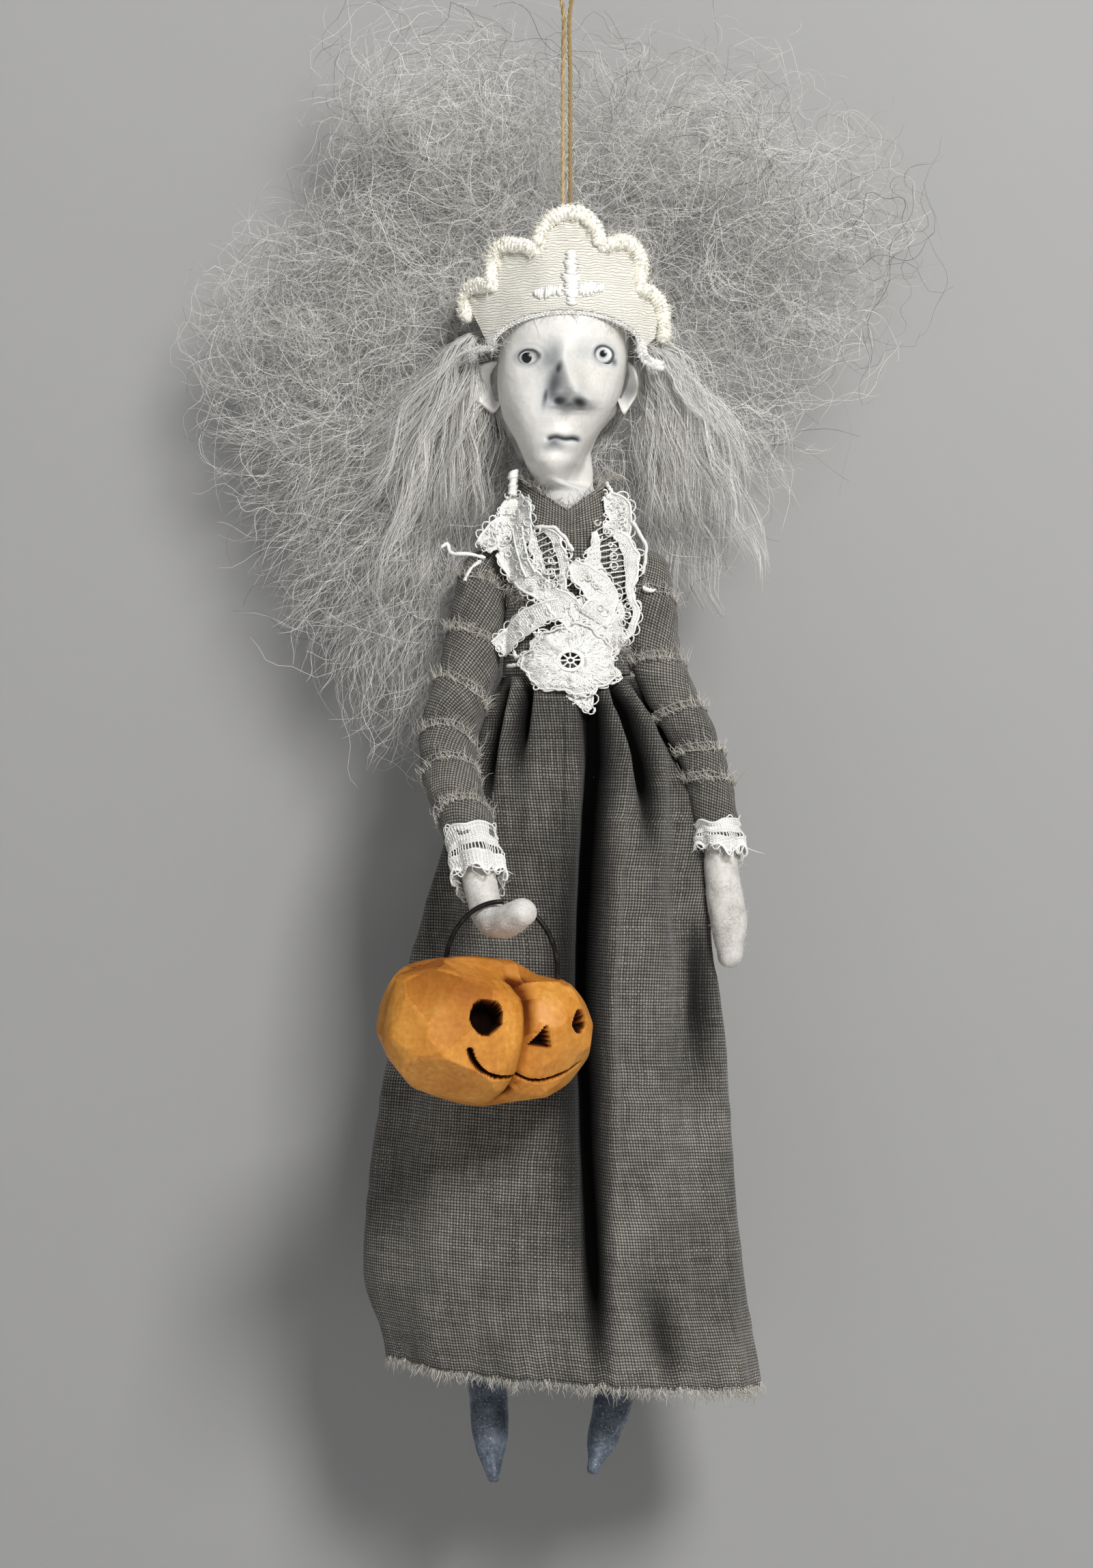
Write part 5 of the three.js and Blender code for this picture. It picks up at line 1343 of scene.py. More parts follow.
@dataclass
class Mohair:
    """Frizzy hair in tufts and locks, the felted wig cap under them, and a dark mass of painted shade deep in the
    cloud.
    """

    head: Head
    centre: tuple = (0.0, -88.0)
    strand: float = 0.126
    middle_y: float = 20.4
    half_depth: float = 17.0
    skull: tuple = ((0, 2, -93), (15.4, 16.8, 26.0))
    room: tuple = ((-92, 92), (-7, 39.5), (-196, 2))
    reach: tuple = (  # bearing from straight up, and how far single hairs go
        (-180, 62), (-165, 96), (-155, 107), (-145, 98), (-135, 93), (-120, 87), (-105, 88), (-90, 89),
        (-78, 86), (-64, 78), (-53, 76), (-46, 88), (-36, 95), (-25, 90), (-14, 82), (-4, 84), (10, 80),
        (22, 86), (33, 93), (44, 88), (56, 95), (68, 101), (78, 98), (88, 84), (100, 72), (120, 67),
        (135, 65), (150, 64), (165, 60), (180, 62),
    )
    dense: tuple = (  # bearing from straight up, and how far the mass goes
        (-180, 58), (-165, 84), (-158, 92), (-145, 88), (-135, 82), (-120, 76), (-105, 76), (-90, 77),
        (-78, 72), (-64, 61), (-53, 57), (-46, 65), (-36, 74), (-25, 69), (-14, 60), (-4, 60), (10, 57),
        (22, 62), (33, 68), (44, 64), (56, 69), (68, 74), (80, 71), (92, 56), (105, 50), (120, 48),
        (135, 50), (150, 53), (165, 56), (180, 58),
    )

    def edge(self, bearing: Array, table: tuple) -> Array:
        """How far the hair goes at bearings from straight up, by one of its tables."""
        return np.interp(bearing, *np.array(table, float).T)

    def tufts(self, many: int, each: int, steps: int, rng: Rng, wild: bool = False) -> Form:
        """Tufts of curly strands all through the cloud, combed down below the ears.

        Args:
            many: Number of tufts.
            each: Strands in each.
            steps: Points along each strand.
            rng: Source of their differences.
            wild: Whether they are long single hairs at the cloud's edge, many of them dark.

        Returns:
            All the strands.
        """
        fine = np.linspace(-180, 180, 721)
        weight = np.cumsum(self.edge(fine, self.dense) ** 2 * (1.1 - 0.25 * np.sin(np.radians(fine))))
        bearing = np.interp(rng.uniform(0, weight[-1], many), weight, fine)
        turn = np.radians(bearing)
        share = rng.uniform(0.6, 1.18, many) if wild else 1.02 * rng.uniform(0.01, 1, many) ** 0.64
        loose = rng.uniform(size=many) < 0.24
        share = np.where(loose & (not wild), rng.uniform(0.8, 1.3, many), share)
        far = share * self.edge(bearing, self.dense)
        x, z = self.centre[0] + far * np.sin(turn), self.centre[1] + far * np.cos(turn)
        comb = smoothstep(-z, 90, 118) * (0.3 if wild else 1.0)

        def pick(free: tuple, combed: tuple) -> Array:
            """A value for each tuft, between one range where it is free and another where it is combed."""
            return lerp(rng.uniform(*free, many), rng.uniform(*combed, many), comb)

        def part(low: float, high: float) -> Array:
            """A value for each tuft."""
            return rng.uniform(low, high, (many, 1, 1))

        def own(value: Array, size: float) -> Array:
            """A tuft's value as each of its strands has it."""
            return (value[:, None] + rng.normal(scale=size, size=(many, each)))[..., None]

        flow = np.arctan2(x, z + 66) + rng.normal(scale=0.28, size=many)
        flow = flow + 0.5 * (1 - comb) * rng.normal(size=many)
        heading = np.where(rng.uniform(size=many) < 0.45 + 0.5 * comb, flow, rng.uniform(-math.pi, math.pi, many))
        bend = rng.choice([-1.0, 1.0], many) * pick((0.6, 5.4), (0.0, 1.1))
        long = pick((34, 90), (34, 90)) if wild else pick((20, 62), (24, 50))
        wave = pick((0.2, 1.0), (0.15, 0.5))
        turns, phase = long / rng.uniform(11, 24, many), rng.uniform(0, 6.3, many)
        s = np.linspace(0, 1, steps)
        angle = own(heading, 0.24) + own(bend, 0.6) * (s - 0.5)
        angle = angle + own(wave, 0.12) * np.sin(2 * math.pi * turns[:, None, None] * s + own(phase, 0.8))
        stride = long[:, None, None] * rng.uniform(0.6, 1.15, (many, each, 1)) / (steps - 1)
        across, up = np.cumsum(np.sin(angle), 2) * stride, np.cumsum(np.cos(angle), 2) * stride
        deep = own(self.depths(np.minimum(share, 0.96), rng), 1.3)
        swing = part(2, 7) * np.sin(math.pi * s * part(0.8, 4) + own(phase, 0.5))
        deep = deep + swing + 1.2 * rng.normal(size=(many, each, 1)) * np.sin(math.pi * s * part(0.5, 2))
        deep = self.middle_y + 27 * np.tanh((deep - self.middle_y) / 27)
        across = own(x, 1.7) + across - across.mean(2, keepdims=True)
        up = own(z, 1.7) + up - up.mean(2, keepdims=True)
        paths = places(across, deep, up).reshape(many * each, steps, 3)
        paths = self.clear(self.held_in(paths, rng, 1.1 if wild else 1.03))
        thin = self.strand / 2 * rng.uniform(0.55, 1.1, (many * each, 1)) * (1 - 0.45 * np.abs(2 * s - 1) ** 3)
        tone = np.clip(rng.normal(0.6, 0.15, (many, 1)) + rng.normal(scale=0.12, size=(many, each)), 0, 1)
        kind = rng.uniform(size=(many, each))
        dark = np.where(x > -10, 0.75, 0.4)[:, None] if wild else 0.075
        shadow, light = rng.uniform(0.02, 0.26, kind.shape), rng.uniform(0.85, 1, kind.shape)
        tone = np.where(kind < dark, shadow, np.where(kind > 0.87, light, tone))
        return tubes(paths, thin, 3, tone.reshape(-1))

    def clear(self, paths: Array) -> Array:
        """Keeps strands out of the skull and the body, in the cloud's room and behind the arms."""
        middle, size = np.array(self.skull)
        near = np.linalg.norm((paths - middle) / size, axis=-1, keepdims=True)
        paths = np.where(near < 1, middle + (paths - middle) / np.maximum(near, 0.3), paths)
        x, y, z = np.moveaxis(paths, -1, 0)
        behind = lerp(1.0, 12.5, smoothstep(-z, 124, 136)) * smoothstep(np.abs(x), 46, 30)
        y = np.where(z < -118, np.maximum(y, behind + 0.25 * np.abs(y - behind)), y)
        face = (np.abs(x + 1) < 19) & (z > -122) & (z < -74)
        y = np.where(face, np.maximum(y, 2.0 + 0.2 * np.abs(y)), y)
        return np.stack([np.clip(value, *limits) for value, limits in zip((x, y, z), self.room)], -1)

    def depths(self, share: Array, rng: Rng) -> Array:
        """Depths in the cloud at shares of its reach, more of them near its front and back."""
        dome = np.sqrt(np.clip(1 - share**2, 0.02, 1))
        half = self.half_depth * dome * (1.4 - 0.4 * dome)
        shell = np.clip(1 - 0.38 * np.abs(rng.normal(size=share.shape)), -0.2, 1)
        return self.middle_y + rng.choice([-1.0, 1.0], share.shape) * shell * half

    def held_in(self, paths: Array, rng: Rng, most: float) -> Array:
        """Moves strands that reach past the cloud's uneven edge back into it."""
        across, up = paths[..., 0] - self.centre[0], paths[..., 2] - self.centre[1]
        full = self.edge(np.degrees(np.arctan2(across, up)), self.reach)
        share = np.hypot(across, up) / full
        limit = most - 0.36 * rng.uniform(size=len(paths)) ** 1.3
        past = np.maximum(share.max(1) - limit, 0)
        out = unit(places(across.mean(1), 0.0, up.mean(1)))
        return paths - (past * full.mean(1))[:, None, None] * out[:, None]

    def temples(self, rng: Rng) -> Form:
        """Wavy locks that come from under the cap over the ears and fall beside the face."""
        many, each, steps = 130, 12, 14
        side = rng.choice([-1.0, 1.0], many, p=[0.55, 0.45])
        s = np.linspace(0, 1, steps)[None, None]

        def part(low: float, high: float) -> Array:
            """A value for each lock."""
            return rng.uniform(low, high, (many, 1, 1))

        def stray(size: float) -> Array:
            """How far each strand is off its lock."""
            return rng.normal(scale=size, size=(many, each, 1))

        drop, flare = part(18, 60), part(2, 30)
        phase = part(0, 6.3) + stray(0.35)
        wave = part(0.6, 1.9) * np.sin(2 * math.pi * s * drop / part(13, 22) + phase) * smoothstep(s, 0, 0.25)
        x = 15.2 + part(0, 2.4) + flare * s**0.75 + wave + stray(0.9) * (0.35 + s)
        start = part(-93, -86)
        z = start - drop * s**1.3 + stray(1.2) * s + 0.5 * wave
        y = part(-6.5, 3) + part(6, 18) * s + 0.8 * wave + stray(0.8) * (0.4 + s)
        paths = places(side[:, None, None] * x, y, z).reshape(many * each, steps, 3)
        paths = self.clear(paths)
        thin = self.strand / 2 * (1 - 0.4 * s[0] ** 2) * rng.uniform(0.6, 1.1, (many * each, 1))
        tone = (0.66 + rng.normal(scale=0.09, size=(many, 1)) + rng.normal(scale=0.17, size=(many, each))).reshape(-1)
        return tubes(paths, thin, 3, np.clip(tone, 0, 1))

    def wig_cap(self) -> Form:
        """Felted base over the crown and back of the skull."""
        share = np.concatenate([np.linspace(0.02, 0.1, 6), np.linspace(0.13, 0.92, 22)])
        width, front, back = self.head.section(np.maximum(share, 0.03))
        turn = circle(64)
        ahead = np.cos(turn)
        grow = 1.1 + 0.5 * smoothstep(share, 0.02, 0.2)[:, None]
        line = np.interp(share, [0.02, 0.2, 0.45, 0.92], [0.8, 0.35, 0.02, -0.1])[:, None]
        keep = smoothstep(line - ahead[None], -0.12, 0.12)
        size = lerp(-2.2, grow, keep)
        x = self.head.lean(share)[:, None] + (width[:, None] + size) * np.sin(turn)
        y = -ahead * (np.where(ahead > 0, front[:, None], back[:, None]) + size)
        z = np.broadcast_to((self.head.crown_z + 1.0 - share * self.head.height)[:, None], x.shape)
        rings = places(x, y, z)
        rings = rings + uneven(rings, (0.5, 3, 8))[..., None] * unit(rings - np.array([0, 0, -95]))
        return loft(rings, tone=0.2 + uneven(rings, (0.16, 1.2, 9)))

    def core(self) -> Form:
        """Dark grey mass deep in the cloud, behind the skull: painted shade inside the hair."""
        turn = circle(72)
        full = self.edge(np.degrees(wrapped(turn)), self.dense)
        rings = []
        for lift in np.linspace(-0.96, 0.96, 25):
            size = 0.37 * math.sqrt(1 - lift**2)
            far = full * size * (1 - 0.25 * bump(wrapped(turn - math.pi), 0.5))
            y = self.middle_y + 5 + 0.6 * self.half_depth * lift
            rings.append(places(far * np.sin(turn), y, self.centre[1] + 4 + far * np.cos(turn)))
        rings = np.array(rings)
        rough = uneven(rings, (1.6, 5, 23), (0.9, 1.9, 24))
        rings = rings + rough[..., None] * unit(rings - np.array([0, self.middle_y, self.centre[1]]))
        rings[..., 1] = np.maximum(rings[..., 1], lerp(1.0, 12.6, smoothstep(-rings[..., 2], 116, 128)))
        # its dark grey tone is painted shade
        return loft(rings, tone=0.14 + uneven(rings, (0.16, (1.2, 1.2, 0.6), 25)))

    def build(self) -> None:
        """Makes the wig cap with the mass of painted shade, the tufts in several pieces, the temples and the wisps.
        """
        # the wig_cap piece also holds the dark mass of painted shade
        base = Form.join([self.wig_cap(), self.core()])
        make_piece("wig_cap", base.plain(), MOHAIR, Body.DOLL, ["hair_cloud"])
        stood_for = {0: ["hair_lock_right"], 1: ["hair_lock_left"]}
        for n in range(6):
            form = self.tufts(190, 7, 16, np.random.default_rng(50 + n))
            make_piece(f"mohair_tufts_{n + 1}", form, MOHAIR, Body.DOLL, stood_for.get(n))
        rng = np.random.default_rng(60)
        make_piece("mohair_temples", self.temples(rng), MOHAIR, Body.DOLL)
        make_piece("mohair_wisps", self.tufts(560, 1, 24, rng, True), MOHAIR, Body.DOLL)


# Dress and lace


@dataclass
class DressShape:
    """Sections of the dress, which all that lies on it follows."""

    neck_z: float = -121.0
    bodice_length: float = 44.5
    neck: tuple = (22.0, 19.36)
    chest: tuple = (26.4, 21.0)
    waist: tuple = (29.2, 20.4)
    neck_vee: float = 7.2
    skirt_length: float = 158.2
    gather: tuple = (30.2, 21.4)
    hem: tuple = (88.0, 46.0)
    hem_tilt: float = 3.4
    sway: float = 3.4
    flare: float = 3.5
    fold_depth: float = 5.0
    folds: tuple = (  # bearing at the waist and at the hem, spread, depth
        (66, 50, 9, 0.85), (-62, -58, 9, 0.75), (-95, -92, 10, 0.6),
        (-126, -130, 9, 0.8), (-158, -163, 9, 0.7), (165, 168, 9, 0.7), (132, 136, 9, 0.8), (100, 96, 9, 0.5),
    )

    @property
    def waist_z(self) -> float:
        """Height of the waist."""
        return self.neck_z - self.bodice_length

    def bodice(self, z) -> list:
        """Half width and half depth of the bodice at heights."""
        share = (self.neck_z - np.asarray(z, float)) / self.bodice_length
        upper, lower = smoothstep(share, 0, 0.4), smoothstep(share, 0.45, 1)
        return [lerp(lerp(a, b, upper), c, lower) / 2 for a, b, c in zip(self.neck, self.chest, self.waist)]

    def skirt(self, share) -> tuple:
        """Half width, half depth, sway and flare of the skirt at shares of its length."""
        spread = 1 - (1 - share) ** 2.4
        sizes = [lerp(a, b, spread) / 2 for a, b in zip(self.gather, self.hem)]
        return (*sizes, -self.sway * np.sin(math.pi * share**2.2), self.flare * bump(share - 0.15, 0.07))

    def skirt_points(self, share: Array, turn: Array, inset: float) -> Array:
        """Places on the skirt, by share of its length and bearing, drawn in by inset."""
        share, turn = share[:, None], turn[None]
        valley = np.zeros(np.broadcast_shapes(share.shape, turn.shape))
        for top, foot, spread, depth in self.folds:
            away = wrapped(turn - np.radians(lerp(top, foot, np.sqrt(share))))
            valley += depth * bump(away, math.radians(spread))
        reach = lerp(0.15, 1, smoothstep(share, 0, 0.22)) * lerp(1, 0.3, smoothstep(share, 0.45, 0.95))
        drawn = inset + self.fold_depth * reach * np.minimum(valley, 1.1)
        width, depth, sway, flare = self.skirt(share)
        x = sway + (width + flare * np.maximum(0, np.sin(turn)) - drawn) * np.sin(turn)
        y = -(depth - drawn) * np.cos(turn)
        z = self.waist_z - share * (self.skirt_length + self.hem_tilt * np.sin(turn)) - 0.35
        return places(x, y, z)

    def front_y(self, x, z) -> Array:
        """Y of the front of the bodice at places across and up."""
        width, depth = self.bodice(np.maximum(z, self.waist_z))
        return -depth * np.sqrt(np.maximum(0.08, 1 - (x / width) ** 2))

    def beside(self, z: float, bearing: float, clear: float) -> Array:
        """Place beside the dress at a height and bearing, a clearance away from it."""
        turn = math.radians(bearing)
        share = max(0.0, (self.waist_z - z) / self.skirt_length)
        if share > 0:
            width, depth, sway, flare = [float(v) for v in self.skirt(share)]
            width += flare if bearing > 0 else 0
        else:
            (width, depth), sway = [float(v) for v in self.bodice(z)], 0.0
        spot = np.array([width * math.sin(turn), -depth * math.cos(turn), 0])
        normal = unit(np.array([math.sin(turn) / width, -math.cos(turn) / depth, 0]))
        return spot + clear * normal + np.array([sway, 0, z])


@dataclass
class Dress:
    """Linen bodice and gathered skirt with frayed edges, over a stuffed torso."""

    shape: DressShape
    wall: float = 0.9
    girth: float = 0.088
    torso_top: float = -136.35
    torso_foot: float = -200.6
    lug_foot: float = -209.5
    pleats: int = 34
    taper: float = 0.85
    valleys: tuple = (  # rows of share, x and depth, then the spread to each side
        (((0, 6, 0), (0.02, 6.2, 2.2), (0.043, 7.2, 3.6), (0.117, 8.6, 6), (0.19, 7.8, 7.6),
          (0.289, 7, 9.6), (0.387, 6, 10.6), (0.485, 5.6, 10.6), (0.584, 6.2, 9.5), (0.75, 7, 5.5),
          (1, 8, 1.4)), 2.7, 1.1),
        (((0, 2, 0), (0.117, 4, 0.8), (0.289, 3, 2), (0.485, 1.5, 2.6), (0.75, 3, 1.8), (1, 4, 0.6)), 5.0, 3.0),
        (((0, -9.4, 0.6), (0.02, -9.8, 2.6), (0.06, -10.6, 3.4), (0.1, -11.4, 2.4), (0.16, -12.4, 0.8),
          (0.25, -13, 0)), 0.9, 1.3),
        (((0, -14.2, 0.6), (0.02, -14.6, 2.4), (0.08, -16, 3.2), (0.13, -17.4, 2.2), (0.2, -19, 0.6),
          (0.3, -20, 0)), 1.2, 0.9),
        (((0, 10.4, 0.6), (0.015, 11.2, 2.6), (0.056, 14, 4.6), (0.12, 16.4, 4.4), (0.18, 17.4, 2.4),
          (0.3, 18.4, 0)), 1.5, 0.8),
        (((0, 14.4, 0.6), (0.015, 15.4, 2.2), (0.05, 19.4, 3), (0.1, 23.4, 2.6), (0.16, 26.4, 0.8),
          (0.25, 28, 0)), 1.4, 0.9),
        (((0, -1.2, 0.2), (0.1, -1.2, 0.6), (0.3, -1.4, 0.6), (0.42, -1.6, 0)), 0.5, 0.5),
        (((0.3, 26, 0), (0.38, 30, 1.8), (0.48, 30.5, 2.2), (0.56, 31, 1), (0.7, 31, 0)), 2.4, 2.0),
        (((0.8, 20, 0), (0.88, 21, 1.6), (0.94, 23, 2), (1, 25, 0.8)), 3.0, 2.2),
    )

    def build(self) -> None:
        """Makes the torso, the bodice and the skirt with their fringes."""
        self.torso()
        self.bodice()
        self.skirt()

    def torso(self) -> None:
        """Stuffed calico torso with the lug that the legs hang on."""
        turn = circle(64)
        levels = np.linspace(self.torso_top, self.shape.waist_z, 24)
        width, depth = [size - self.wall - 0.35 for size in self.shape.bodice(levels)]
        rows = [(0.5 * width[0], 0.5 * depth[0], levels[0]), *zip(width, depth, levels - 0.3)]
        foot = self.torso_foot
        rows += [(12.9, 9.0, foot + 20), (12, 8.6, foot + 4), (11.2, 7.9, foot + 1.6), (9.6, 6.45, foot)]
        lug = self.lug_foot
        rows += [*[(2.6, 3.5, z) for z in (foot - 0.4, foot - 4, lug + 1)], (1.8, 2.6, lug)]
        table = np.array(rows)
        rings = places(table[:, :1] * np.sin(turn), -table[:, 1:2] * np.cos(turn), table[:, 2:])
        spots = self.cloth(turn, rings)
        piece = make_piece("stuffed_torso", loft(rings, spots), CALICO, Body.DOLL, ["torso"])

    def cloth(self, turn: Array, rings: Array) -> Array:
        """Places on the cloth of rings, in millimetres."""
        steps = np.linalg.norm(np.diff(rings, axis=0), axis=-1).mean(1)
        down = np.concatenate([[0], np.cumsum(steps)])
        full = np.append(turn, 2 * turn[-1] - turn[-2])
        return places(12 * (full[None] - math.pi), down[:, None])

    def bodice(self) -> None:
        """Bodice with creases, a frayed neck and a frayed strip across its front."""
        rng = np.random.default_rng(21)
        turn = np.linspace(-math.pi, math.pi, 145)[:-1]
        share = np.linspace(0, 1, 50)
        level = lerp(self.shape.neck_z, self.shape.waist_z, share)
        width, depth = self.shape.bodice(level)
        vee = self.shape.neck_vee * np.maximum(0, 1 - np.abs(turn) / 1.2) ** 1.2
        dip = vee * np.maximum(0, 1 - 3 * share[:, None])
        walls = []
        for inset in (0.0, self.wall):
            x, y = (width - inset)[:, None] * np.sin(turn), -(depth - inset)[:, None] * np.cos(turn)
            ring = places(x, y, level[:, None] - dip)
            crease = uneven(ring, (0.3, (3.5, 5, 9), 12), (0.22, (6, 6, 2.4), 13))
            edge = smoothstep(share, 0, 0.1) * smoothstep(share, 1, 0.9)
            walls.append(ring + (crease * edge[:, None])[..., None] * level_out(ring))
        rings = np.concatenate([walls[0], walls[1][::-1]])
        form = loft(rings, 0.76 * self.cloth(turn, rings), looped=True)
        piece = make_piece("linen_bodice", form, LINEN, Body.DOLL, ["bodice"])
        top, many = walls[0][0], 520
        pick = rng.integers(0, len(turn), many)
        roots = top[pick] + rng.normal(scale=0.25, size=(many, 3))
        up = np.array([0, 0, 1.0]) + 0.5 * level_out(roots) + 0.35 * rng.normal(size=(many, 3))
        fray = [fibres(roots, up, rng.uniform(0.8, 2.6, many), rng), self.strip_fray(rng)]
        fringe = make_piece("bodice_fray", Form.join(fray), LINEN_THREAD, Body.DOLL)

    def strip_fray(self, rng: Rng) -> Form:
        """Frayed ends of linen threads that stand out of the bodice beside the lace."""
        many = 420
        x = np.where(rng.uniform(size=many) < 0.5, rng.uniform(-13.5, -8.5, many), rng.uniform(9, 14, many))
        z = np.where(x < 0, rng.normal(-148, 1.1, many), rng.normal(-160, 1.2, many)) + 0.2 * np.abs(x)
        roots = places(x, self.shape.front_y(x, z) - 0.1, z)
        heading = places(0.5 * rng.normal(size=many), -0.5, -0.8 + 0.4 * rng.normal(size=many))
        return fibres(roots, heading, rng.uniform(1.2, 3.4, many), rng)

    def rolls(self, share: Array, ring: Array) -> tuple:
        """How far the front's cloth sinks into each valley and rolls up beside it, and how much painted shade it gets
        there.
        """
        total, dark = np.zeros(ring.shape[:2]), np.zeros(ring.shape[:2])
        for rows, near, far in self.valleys:
            x, depth = np.moveaxis(read_rows(rows, np.clip(share, rows[0][0], rows[-1][0])), -1, 0)
            away = ring[..., 0] - x[:, None]
            away = np.where(away < 0, away / near, away / far)
            fold = -bump(away, 1) + 0.12 * bump(away + 2.8, 0.9) + 0.24 * bump(away - 3.0, 1.0)
            total += np.maximum(depth, 0)[:, None] * fold
            # painted shade, strongest in the deepest valleys
            dark = np.maximum(dark, smoothstep(depth, 0.3, 4.5)[:, None] * bump(away - 0.1, 0.95))
        plump = 2.4 * bump(share - 0.17, 0.16)[:, None] * smoothstep(ring[..., 0], 9, 18)
        front = ring[..., 1] < 0
        return total * front + plump, dark * front

    def off_torso(self, ring: Array, clear: float) -> Array:
        """Keeps places of the skirt a clearance off the stuffed torso."""
        width, depth = [float(size) - self.wall - 0.35 for size in self.shape.bodice(self.shape.waist_z)]
        levels = [self.torso_foot - 1, self.torso_foot, self.torso_foot + 4, self.torso_foot + 20, self.shape.waist_z]
        sizes = [2, 9.6, 12, 12.9, width], [2, 6.5, 8.6, 9, depth]
        w, d = [np.interp(ring[..., 2], levels, row) + clear for row in sizes]
        near = np.hypot(ring[..., 0] / w, ring[..., 1] / d)
        grow = np.where(near < 1, 1 / np.maximum(near, 0.2), 1.0)
        return ring * places(grow, grow, 1.0)

    def skirt(self) -> None:
        """Gathered skirt: pleats at the waist that open into the folds, and a frayed hem."""
        rng = np.random.default_rng(22)
        turn = np.linspace(-math.pi, math.pi, 421)[:-1]
        turn = turn - 0.3 * np.sin(turn)
        outer, inner = np.linspace(0, 1, 98), np.linspace(1, 0, 24)
        walls, painted_shade_and_waist_darkening = [], []
        for share, inset in [(outer, 0.0), (inner, self.wall)]:
            ring = self.shape.skirt_points(share, turn, inset)
            s = share[:, None]
            sway = 2.0 * np.sin(3 * turn) + 1.1 * np.sin(7 * turn + 1)
            pleat = np.abs(np.sin(self.pleats / 2 * turn + sway + 0.6 * np.sin(5 * s + 3 * turn))) - 0.6
            pleat = (0.3 + 0.7 * (np.cos(turn) < 0)) * pleat * smoothstep(s, 0.3, 0.02) * smoothstep(s, -0.01, 0.02)
            rolls, dark = self.rolls(share, ring)
            # tone of the outer wall: painted shade in the valleys, and a little darker towards the waist
            painted_shade_and_waist_darkening.append((1.3 * dark + 0.09 * smoothstep(s, 0.6, 0.1)) * (inset == 0))
            pleat = pleat + rolls
            rumple = uneven(ring, (0.55, (7, 7, 13), 14), (0.24, 3.4, 15)) * smoothstep(s, 0.02, 0.12)
            hem = 0.8 * smoothstep(s, 0.86, 1) * np.sin(9 * turn + 2 * np.sin(4 * turn))
            ragged = smoothstep(s, 0.9, 1) * uneven(ring, (0.5, (2.2, 2.2, 60), 16))
            out = level_out(ring)
            right_side = smoothstep(-np.sin(turn), 0.7, 0.97)
            hem = hem + right_side * (0.8 * bump(s - 0.86, 0.06) - 2.7 * smoothstep(s, 0.89, 1.0))
            ring = ring + (pleat + rumple + hem)[..., None] * out + ragged[..., None] * np.array([0, 0, 1])
            walls.append(self.off_torso(ring, 0.9 - 0.6 * inset))
        rings = np.concatenate(walls)
        spots = self.cloth(turn, rings)
        steps = np.linalg.norm(np.diff(rings, axis=1, append=rings[:, :1]), axis=-1)
        spots[:, 1:, 0] = np.cumsum(steps, 1)
        spots[:, 0, 0] = 0
        spots[..., 0] -= spots[:, [np.argmin(np.abs(turn - 0.17))], 0]
        spots *= 0.8
        form = loft(rings, spots, np.concatenate(painted_shade_and_waist_darkening), looped=True)
        piece = make_piece("linen_skirt", form, LINEN, Body.DOLL, ["skirt"])
        hem_ring = walls[0][-1]
        many = 2300
        at = rng.uniform(0, len(turn), many)
        low = at.astype(int)
        roots = lerp(hem_ring[low], hem_ring[(low + 1) % len(turn)], (at - low)[:, None])
        roots = roots - level_out(roots) * rng.uniform(0, self.wall, (many, 1)) + [0, 0, 0.5]
        heading = np.array([0, 0, -1.0]) + 0.22 * rng.normal(size=(many, 3))
        fray = fibres(roots, heading, rng.uniform(0.9, 3.4, many), rng, 0.25, 0.1, (0.5, 1.0))
        fringe = make_piece("hem_fray", fray, LINEN_THREAD, Body.DOLL)


